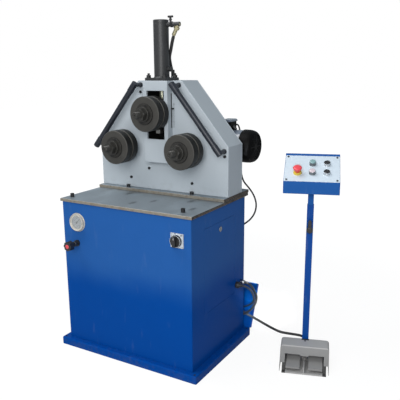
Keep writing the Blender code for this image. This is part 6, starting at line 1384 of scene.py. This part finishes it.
class BENDING_OT_drive(MakeOperator, bpy.types.Operator):
    """Finishes the gears and turns the gearbox and the motor with its cowl and terminal box"""

    bl_idname = "bending.drive"
    bl_label = "Drive"

    def make(self, sizes):
        dress("gear_steel", "left_gear", "right_gear", "drive_pinion")
        self.gearbox()
        self.motor(sizes)

    def gearbox(self):
        """The round gearbox on the cover, and the worm's housing across its back."""
        front = low("gearbox").y
        piece = Piece("worm_gearbox")
        body = [(0, 0), (104, 0), (104, 12), (88, 12), (88, 112), (82, 118), (36, 118), (34, 116), (0, 116)]
        piece.add(turned(body, 96), "gearbox_blue", (0, front, GEARBOX_HEIGHT), BACKWARD)
        worm = [(0, -100), (40, -100), (44, -96), (44, 120), (80, 150), (80, 164), (0, 164)]
        piece.add(turned(worm, 72), "gearbox_blue", MOTOR_AXIS, RIGHTWARD)
        piece.add(ring(0, 30, 0, 2.5, 48), "screw_black", MOTOR_AXIS + Vector((-100, 0, 0)), LEFTWARD)
        piece.done("machine", "gearbox", edge=1.5, slot="cabinet_blue")
        screw_circle, first, flange = 96, 0.4, 12
        angles = [math.pi * k / 3 + first for k in range(6)]
        around = [(math.cos(a) * screw_circle, math.sin(a) * screw_circle) for a in angles]
        spots = [(x, front + flange, GEARBOX_HEIGHT + z) for x, z in around]
        screws("gearbox_screws", "machine", 0.0075, 0.008, spots, (0, 1, 0))

    def motor(self, sizes):
        """A smooth motor with a round cowl and its grille, a little shorter than the solid."""
        end = high("drive_motor").x - MOTOR_SHORTER
        start, grille = end - 62, end - 4
        axis = placed(MOTOR_AXIS, RIGHTWARD)
        piece = Piece("motor")
        body = [(0, 164.3), (80, 164.3), (80, 178.3), (73.5, 179.5), (73.5, end - 58), (0, end - 58)]
        piece.add(turned(body, 96), "motor_gloss", axis)
        cowl = [(64, start), (75.5, start), (77, end - 60), (77, end - 38), (76.2, end - 27)]
        cowl += [(74, end - 17), (70.5, end - 9), (66, end - 3.5), (61, end - 0.6), (57, end)]
        cowl += [(57, end - 3), (62, end - 6)]
        piece.add(turned(cowl, 96), "cowl_black", axis)
        piece.add(ring(0, 62, start, end - 14), "shadow_black", axis)
        for radius in (50, 41.5, 33, 24.5):
            piece.add(ring(radius - 1.8, radius + 1.8, grille, end - 1), "cowl_black", axis)
        piece.add(ring(0, 17, grille, end - 1), "cowl_black", axis)
        self.terminal_box(piece)
        piece.done("machine", "drive_motor", edge=0.7, slot="black_oxide")
        tree = tree_named("spokes", spoke_tree)
        values = {"Count": sizes.spokes, "Inner": 0.015, "Outer": 0.059, "Length": 0.003, "Thickness": 0.0035}
        place = placed(MOTOR_AXIS + Vector((end - 2.6, 0, 0)), RIGHTWARD)
        spread("cowl_spokes", tree, "machine", "cowl_black", values, place=place, slot="black_oxide")

    def terminal_box(self, piece):
        """The box on the motor, with its lid, its foot, the lead's inlet and a drooping gland."""
        top = 1059.3
        outline = [(216.3, 256), (255, 256), (262, 263), (262, 318), (255, 325.3), (216.3, 325.3)]
        piece.add(prism(outline, 996, top - 12), "cowl_black")
        lid = [(216.3, top - 11), (264, top - 11), (264, top - 8), (261.5, top - 3), (256, top), (216.3, top)]
        piece.add(prism(lid, -326.3, -254.3), "motor_gloss", turn=FORWARD)
        piece.add(block((226, 262, 985), (254, 318, 1000)), "cowl_black")
        stub = [(0, 0), (9, 0), (9, 5), (7, 6), (7, 13), (0, 13)]
        inlet = Vector(LEAD_ROUTE[0]) - Vector((0, 13.3, 0))
        piece.add(turned(stub, 32), "plastic_black", inlet, BACKWARD)
        gland = [(0, -8), (8, -8), (8, 4), (6.5, 6), (5.5, 15), (3.5, 19), (0, 19)]
        start = Vector((262, MOTOR_AXIS.y, 1023))
        piece.add(turned(gland, 32), "plastic_black", aimed(start, start + Vector((14, 0, -11))))


class BENDING_OT_gauge(MakeOperator, bpy.types.Operator):
    """Turns the pressure gauge, with its dial, ticks, numbers, needle and glass"""

    bl_idname = "bending.gauge"
    bl_label = "Pressure gauge"

    def make(self, sizes):
        place = placed(GAUGE_PLACE, FORWARD)
        piece = Piece("gauge")
        case = [(0, -26), (31, -26), (31, 0), (43, 0), (43, 2.4), (42.4, 3), (40, 3), (40, 10.5)]
        case += [(38.6, 12.6), (36.8, 13), (35.6, 12.2), (35, 10.5), (34.4, 9.2), (29.5, 7.4)]
        case += [(28.6, 6), (0, 6)]
        piece.add(turned(case, 96), "bezel_steel", place)
        piece.add(ring(0, 7, -46, -24, 32), "bright_steel", place)
        piece.add(ring(0, 28.8, 5.8, 6.15, 96), "dial_white", place)
        # Painted shade: a near black wedge round the dial's edge, under the bezel
        piece.add(turned([(28.0, 6.1), (29.2, 6.1), (29.2, 7.4), (28.0, 6.4)], 96), "ink_black", place)
        piece.done("machine", "gauge_case", edge=0.3, slot="bare_steel")
        values = {
            "Count": sizes.dial_ticks,
            "Start": DIAL_START,
            "Sweep": -DIAL_SWEEP,
            "Radius": 0.0248,
            "Length": 0.0032,
            "Width": 0.0006,
        }
        tree = tree_named("dial_ticks", dial_tree)
        above = place @ Matrix.Translation((0, 0, 6.2))
        spread("dial_marks", tree, "machine", "ink_grey", values, place=above)
        numbers(place)
        glass = Piece("gauge_lens")
        lens = [(0, 9.9), (34.8, 9.6), (34.8, 10.6), (26, 11.1), (14, 11.4), (0, 11.5)]
        glass.add(turned(lens, 64), "gauge_glass", place)
        glass.done("machine", edge=0)
        self.needle(place)

    def needle(self, place):
        """A tapered needle with a round hub and a short tail, at 45 degrees."""
        turn = place @ Matrix.Rotation(math.radians(45), 4, "Z")
        piece = Piece("needle")
        blade = [(-10, -2), (0, -1.6), (26, -0.5), (26, 0.5), (0, 1.6), (-10, 2)]
        piece.add(prism(blade, 6.5, 7.2), "ink_black", turn)
        piece.add(turned([(0, 6.4), (4, 6.4), (4, 7.4), (3, 7.8), (0, 7.8)], 32), "ink_black", turn)
        piece.done("needle", "gauge_needle", edge=0.1)


def numbers(place):
    """Plain numbers round the dial, made a mesh before they are placed."""
    words = ("0", "10", "20", "30", "40")
    reach = 0.0190
    whole = bmesh.new()
    for k, word in enumerate(words):
        angle = DIAL_START - DIAL_SWEEP * k / (len(words) - 1)
        text = bpy.data.curves.new("number", "FONT")
        text.body = word
        text.size = 0.0056
        text.align_x = "CENTER"
        text.align_y = "CENTER"
        text.extrude = 0.00008
        source = linked("number", text)
        bpy.context.view_layer.update()
        mesh = evaluated(source)
        bpy.data.objects.remove(source)
        spot = Vector((math.cos(angle) * reach, math.sin(angle) * reach, 0.0063))
        mesh.transform(in_metres(place) @ Matrix.Translation(spot))
        whole.from_mesh(mesh)
    result = bpy.data.meshes.new("dial_numbers")
    whole.to_mesh(result)
    whole.free()
    result.materials.append(finish_of("ink_black"))
    result.polygons.foreach_set("material_index", [0] * len(result.polygons))
    settled("dial_numbers", result, "machine", edge=0)


class BENDING_OT_valve(MakeOperator, bpy.types.Operator):
    """Turns the flow valve and its lobed knob with a red cap"""

    bl_idname = "bending.valve"
    bl_label = "Flow valve"

    def make(self, sizes):
        place = placed(VALVE_PLACE, FORWARD)
        back = high("valve_body").y - CABINET_FRONT
        piece = Piece("valve")
        piece.add(nut(16, 9, 0, 8, 0.25), "plastic_black", place)
        neck = [(0, -14), (12, -14), (12, 0), (10, 0), (10, 14), (12.4, 15), (12.4, 24), (10, 26), (10, 42)]
        piece.add(turned(neck + [(0, 42)], 48), "plastic_black", place)
        piece.add(ring(0, 5, 42, 66, 24), "bright_steel", place)
        piece.add(block((-23, -23, -back), (23, 23, -14)), "pump_grey", place)
        piece.done("machine", "valve_body", edge=0.5, slot="black_plastic")
        knob = Piece("valve_grip")
        knob.add(prism(lobed(22, sizes.lobes, 0.12), 42.3, 68.3, circle(5.4, 96)), "plastic_black", place)
        knob.add(ring(5.4, 15.5, 68.3, 69.1, 48), "plastic_black", place)
        cap = [(0, 66.5), (10, 66.5), (10, 68.6), (9, 69.6), (5, 70.2), (0, 70.3)]
        knob.add(turned(cap, 48), "plastic_red", place)
        knob.done("valve", "valve_knob", edge=1.6, slot="black_plastic", segments=3)


class BENDING_OT_switch(MakeOperator, bpy.types.Operator):
    """Makes the main switch: a square plate with its marks, and a round dial with a grip"""

    bl_idname = "bending.switch"
    bl_label = "Main switch"

    def make(self, sizes):
        place = placed(SWITCH_PLACE, FORWARD)
        plate = Piece("switch_frame")
        plate.add(block((-30, -30, 0.3), (30, 30, 6.3)), "plate_white", place)
        plate.add(turned([(0, 6.3), (27, 6.3), (27, 8.4), (26.2, 9.3), (0, 9.3)], 72), "plate_white", place)
        plate.add(block((-12, 27.2, 6.2), (-4, 29.4, 6.5)), "ink_black", place)
        plate.add(ring(1.6, 3.4, 6.2, 6.5, 32), "ink_black", place @ Matrix.Translation((20, 24, 0)))
        plate.add(block((-26.5, 15, 6.2), (-25, 22, 6.5)), "ink_black", place)
        screw = ring(0, 2, 6.3, 6.9, 20)
        for x in (-25.5, 25.5):
            for y in (-25.5, 25.5):
                plate.add(screw, "chrome", place @ Matrix.Translation((x, y, 0)))
        plate.done("machine", "switch_plate", edge=0.9, slot="panel_white")
        knob = Piece("switch_grip")
        dial = [(0, 9.6), (25.5, 9.6), (26, 11), (26, 19.5), (24.6, 21), (0, 21)]
        knob.add(turned(dial, 72), "plastic_black", place)
        grip = [(-7, -20), (-4.5, -21.5), (4.5, -21.5), (7, -20), (6.4, 20), (4.0, 21.5), (-4.0, 21.5)]
        knob.add(prism(grip + [(-6.4, 20)], 20.5, 33.6), "plastic_black", place)
        knob.add(turned([(24.0, 20.9), (25.2, 20.4), (25.2, 21.2), (24.0, 21.4)], 72), "plate_white", place)
        knob.add(block((-0.9, 9, 33.5), (0.9, 20, 33.8)), "ink_white", place)
        knob.done("switch", "switch_knob", edge=1.2, slot="black_plastic", segments=3)


class BENDING_OT_glands(MakeOperator, bpy.types.Operator):
    """Turns the two cable glands on the cabinet's side"""

    bl_idname = "bending.glands"
    bl_label = "Cable glands"

    def make(self, sizes):
        side = high("cabinet_shell").x + 0.3
        piece = Piece("control_inlet")
        spot = (side, *CONTROL_INLET)
        piece.add(nut(13, 6.3, 0, 7), "chrome", spot, RIGHTWARD)
        dome = [(6.2, 6.5), (11.5, 6.5), (11.5, 13), (10.8, 16), (9.0, 20.5), (8.0, 22), (6.2, 22)]
        piece.add(turned(dome, 48), "chrome", spot, RIGHTWARD)
        piece.add(ring(6.1, 8, -12, 0.1, 32), "chrome", spot, RIGHTWARD)
        piece.done("machine", "control_gland", edge=0.4, slot="bare_steel")
        piece = Piece("mains_inlet")
        spot = (side, *MAINS_INLET)
        piece.add(nut(17, 6, 0, 8), "plastic_black", spot, RIGHTWARD)
        dome = [(4.6, 7.5), (14.5, 7.5), (14.5, 14), (12.5, 17.5), (9.6, 19)]
        for k in range(4):
            rib, groove, height = 9.4 - k * 0.9, 7.6 - k * 0.55, 20 + k * 3.6
            dome += [(rib, height), (groove, height + 1.6), (rib - 0.6, height + 3.2)]
        dome += [(5.6, 34), (4.6, 34)]
        piece.add(turned(dome, 48), "plastic_black", spot, RIGHTWARD)
        piece.add(ring(4.6, 8, -12, 0.1, 32), "plastic_black", spot, RIGHTWARD)
        piece.done("machine", "mains_gland", edge=0.4, slot="black_plastic")


class BENDING_OT_stand(MakeOperator, bpy.types.Operator):
    """Finishes the stand's foot, post, pedals and hood, and makes the clamp lever"""

    bl_idname = "bending.stand"
    bl_label = "Pedal stand"

    def make(self, sizes):
        refined("stand", "stand_base", "machine", "stand_paint", 0.8)
        refined("hood", "pedal_hood", "machine", "pedal_grey", 0.7)
        refined("left_tread", "left_pedal", "left_pedal", "tread_grey", 0.9)
        refined("right_tread", "right_pedal", "right_pedal", "tread_grey", 0.9)
        spot = STAND @ Vector((0, -43, 91))
        screws("hood_screw", "machine", 0.0036, 0.0016, [spot], (0, 0, 1))
        # Painted shade: a black block fills the hood's opening in front of the post
        gap_shade = Piece("post_gap_shade")
        slot = [(-17.5, -26), (17.5, -26), (17.5, -15), (-17.5, -15)]
        gap_shade.add(prism(slot, 83, 88), "shadow_black", STAND)
        gap_shade.done("machine", edge=0)
        self.clamp()

    def clamp(self):
        """A rounded lever on a round hub, on the front of the post."""
        hub = STAND @ placed((0, -14.8, 606), FORWARD)
        piece = Piece("clamp")
        base = [(0, 0), (13.5, 0), (13.5, 17), (11, 20), (0, 20)]
        piece.add(turned(base, 48), "plastic_black", hub)
        arm = [(-8, -2), (8, -2), (7.2, 38), (5.0, 44), (0, 46), (-5.0, 44), (-7.2, 38)]
        piece.add(prism(arm, 8.5, 19.5), "plastic_black", hub)
        piece.done("clamp", "clamp_lever", edge=2.2, slot="black_plastic", segments=3)


class BENDING_OT_controls(MakeOperator, bpy.types.Operator):
    """Finishes the control box and makes its panel, push buttons and stop switch"""

    bl_idname = "bending.controls"
    bl_label = "Control box"

    def make(self, sizes):
        refined("box", "control_box", "control_head", "cabinet_blue", 1.2)
        self.panel(sizes)
        lens = [(0, 19), (7, 18.8), (11, 18.2), (12.6, 17), (13, 15.4), (13, 9.5), (10.8, 9.5)]
        cap = [(0, 13.6), (2.4, 13.6), (3.6, 14.6), (10.6, 15.0), (12.6, 14.0), (12.8, 12), (10.8, 10.8)]
        self.button("start", "start_lens", lens, "lens_green", "signal_green")
        self.button("stop", "stop_lens", lens, "lens_white", "panel_white")
        self.button("up", "up_cap", cap, "plastic_black", "black_plastic")
        self.button("down", "down_cap", cap, "plastic_black", "black_plastic")
        self.mushroom()

    def spot(self, place):
        """The frame of a button on the panel's face."""
        return PANEL @ Matrix.Translation((*place, PANEL_FACE))

    def button(self, body, name, head, finish, slot):
        """A push button's head on its stem, which reaches through the panel."""
        stem = [(10.8, 3), (7, 3), (7, -24), (0, -24)]
        piece = Piece(name)
        piece.add(turned(head + stem, 48), finish, self.spot(BUTTONS[body]))
        piece.done(body, body + "_button", edge=0.3, slot=slot)

    def panel(self, sizes):
        """The panel's plate with the rings of its buttons, the stop switch's collar and a blank plate."""
        piece = Piece("panel")
        piece.add(block((-115.8, 1.5, 0.3), (115.8, 176, PANEL_FACE)), "panel_face", PANEL)
        for name, place in BUTTONS.items():
            finish, tall = ("lamp_ring", 14.2) if name in ("start", "stop") else ("button_ring", 13.2)
            outer = [(11.1, -0.5), (14.3, -0.5), (14.3, 4.0), (13.4, 5.0), (11.1, 5.0)]
            piece.add(turned(outer, 48), finish, self.spot(place))
            inner = [(13.15, 4.6), (14.1, 4.6), (13.9, tall - 0.6), (13.5, tall), (13.15, tall)]
            piece.add(turned(inner, 48), finish, self.spot(place))
        collar = [(10.3, -0.5), (18, -0.5), (18, 4.5), (17, 7.6), (15.5, 9), (10.3, 9)]
        piece.add(turned(collar, 48), "plastic_yellow", self.spot(STOP_SWITCH))
        piece.add(block((-74, 92, PANEL_FACE), (-47, 118, PANEL_FACE + 0.5)), "plate_white", PANEL)
        piece.done("control_head", "control_panel", edge=0.4, slot="panel_white")
        corners = [PANEL @ Vector((x, y, PANEL_FACE)) for x in (-105, 105) for y in (11, 166)]
        facing = PANEL.to_3x3() @ Vector((0, 0, 1))
        screws("panel_screws", "control_head", sizes.panel_screw, 0.0022, corners, facing)

    def mushroom(self):
        """The stop switch's head: domed on top, waisted over its yellow collar."""
        head = [(0, 34), (6, 33.9), (11, 33.5), (15.5, 32.4), (18.2, 30.0), (19, 27.4), (18.6, 25)]
        head += [(17.2, 22), (15.4, 18.5), (14.0, 15.2), (10, 14.8), (10, 4.0), (7, 4.0), (7, -24), (0, -24)]
        piece = Piece("stop_mushroom")
        piece.add(turned(head, 64), "plastic_red", self.spot(STOP_SWITCH))
        piece.done("estop", "estop_cap", edge=0.3, slot="signal_red")


def seen_by_ray(nodes, gloss_share):
    """1 for the camera's own rays and those through glass, a share of 1 for glossy ones, 0 for the rest."""
    kinds = ("Is Camera Ray", "Is Glossy Ray", "Is Transmission Ray")
    sight, gloss, clear = (nodes.node("ShaderNodeLightPath", output=kind) for kind in kinds)
    return (sight + gloss * gloss_share + clear).math("MINIMUM", 1.0)


class BENDING_OT_stage(MakeOperator, bpy.types.Operator):
    """Lays the pale floor and sets the lamps and the white surroundings"""

    bl_idname = "bending.stage"
    bl_label = "Stage"

    def make(self, sizes):
        self.floor()
        self.surroundings()
        self.lamp("key_lamp", (1.5, -3.6, 2.2), (0.1, 0.0, 0.7), 2.6, 120)
        self.lamp("top_lamp", (-1.2, -0.9, 4.0), (0.1, 0.0, 0.7), 2.6, 92)
        self.lamp("side_lamp", (0.95, -1.2, 1.2), (0.43, 0.33, 0.16), 0.12, 0.4, 7)
        bpy.context.scene.view_settings.view_transform = "Standard"

    def floor(self):
        """A pale floor that keeps the shadow and turns white away from the machine."""
        mesh = bpy.data.meshes.new("floor")
        reach = 14.0
        corners = [(-reach, -reach, 0), (reach, -reach, 0), (reach, reach, 0), (-reach, reach, 0)]
        mesh.from_pydata(corners, [], [(0, 1, 2, 3)])
        made = Finish("floor", Specular_IOR_Level=0.0)
        clouds = made.noise(0.8, 3.0)
        made.wire(made.mix(clouds, (0.60, 0.60, 0.60), (0.64, 0.64, 0.64)), 0.9)
        away = made.node("ShaderNodeVectorMath", {"operation": "LENGTH"}, {0: made.place}, "Value")
        glow = made.node("ShaderNodeEmission", None, {"Color": (1, 1, 1, 1), "Strength": 1.1}).socket.node
        mixer = made.tree.nodes.new("ShaderNodeMixShader")
        made.feed(mixer.inputs[0], seen_by_ray(made, 0.35) * away.between(1.2, 3.2, 0.84, 0.95))
        made.tree.links.new(made.shader.outputs[0], mixer.inputs[1])
        made.tree.links.new(glow.outputs[0], mixer.inputs[2])
        made.tree.links.new(mixer.outputs[0], made.tree.nodes["Material Output"].inputs["Surface"])
        mesh.materials.append(made.material)
        linked("floor", mesh)

    def surroundings(self):
        """A white background, and a dimmer bluish light from all round on the machine itself."""
        world = bpy.data.worlds.new("studio")
        world.use_nodes = True
        bpy.context.scene.world = world
        nodes = Nodes(world.node_tree)
        back = world.node_tree.nodes["Background"]
        seen = seen_by_ray(nodes, 0.25)
        values = {0: seen, 6: (0.74, 0.88, 1.0, 1.0), 7: (1.0, 1.0, 1.0, 1.0)}
        sky = nodes.node("ShaderNodeMix", {"data_type": "RGBA"}, values, 2)
        nodes.feed(back.inputs["Color"], sky)
        nodes.feed(back.inputs["Strength"], 0.24 + seen * 0.76)

    def lamp(self, name, at, target, size, power, spread=180):
        """A square lamp that points at a target."""
        data = bpy.data.lights.new(name, "AREA")
        data.size = size
        data.energy = power
        data.spread = math.radians(spread)
        lamp = linked(name, data)
        lamp.location = at
        lamp.rotation_euler = (Vector(target) - Vector(at)).to_track_quat("-Z", "Y").to_euler()


OPERATORS = (
    BENDING_OT_camera,
    BENDING_OT_cords,
    BENDING_OT_base,
    BENDING_OT_plates,
    BENDING_OT_head,
    BENDING_OT_bars,
    BENDING_OT_rollers,
    BENDING_OT_press,
    BENDING_OT_drive,
    BENDING_OT_gauge,
    BENDING_OT_valve,
    BENDING_OT_switch,
    BENDING_OT_glands,
    BENDING_OT_stand,
    BENDING_OT_controls,
    BENDING_OT_stage,
)


class BENDING_PT_machine(bpy.types.Panel):
    """The operators, sizes and colours of the bending machine"""

    bl_idname = "BENDING_PT_machine"
    bl_label = "Profile bending machine"
    bl_space_type = "VIEW_3D"
    bl_region_type = "UI"
    bl_category = "Bending"

    def draw(self, context):
        for operator in OPERATORS:
            self.layout.operator(operator.bl_idname)
        for group in (context.scene.machine_sizes, context.scene.machine_colours):
            for name in group.__annotations__:
                self.layout.prop(group, name)


CLASSES = (MachineSizes, MachineColours) + OPERATORS + (BENDING_PT_machine,)


def register():
    for item in CLASSES:
        bpy.utils.register_class(item)
    bpy.types.Scene.machine_sizes = PointerProperty(type=MachineSizes)
    bpy.types.Scene.machine_colours = PointerProperty(type=MachineColours)


def unregister():
    del bpy.types.Scene.machine_colours
    del bpy.types.Scene.machine_sizes
    for item in reversed(CLASSES):
        bpy.utils.unregister_class(item)


def main():
    register()
    for operator in OPERATORS:
        group, name = operator.bl_idname.split(".")
        getattr(getattr(bpy.ops, group), name)()


if __name__ == "__main__":
    main()
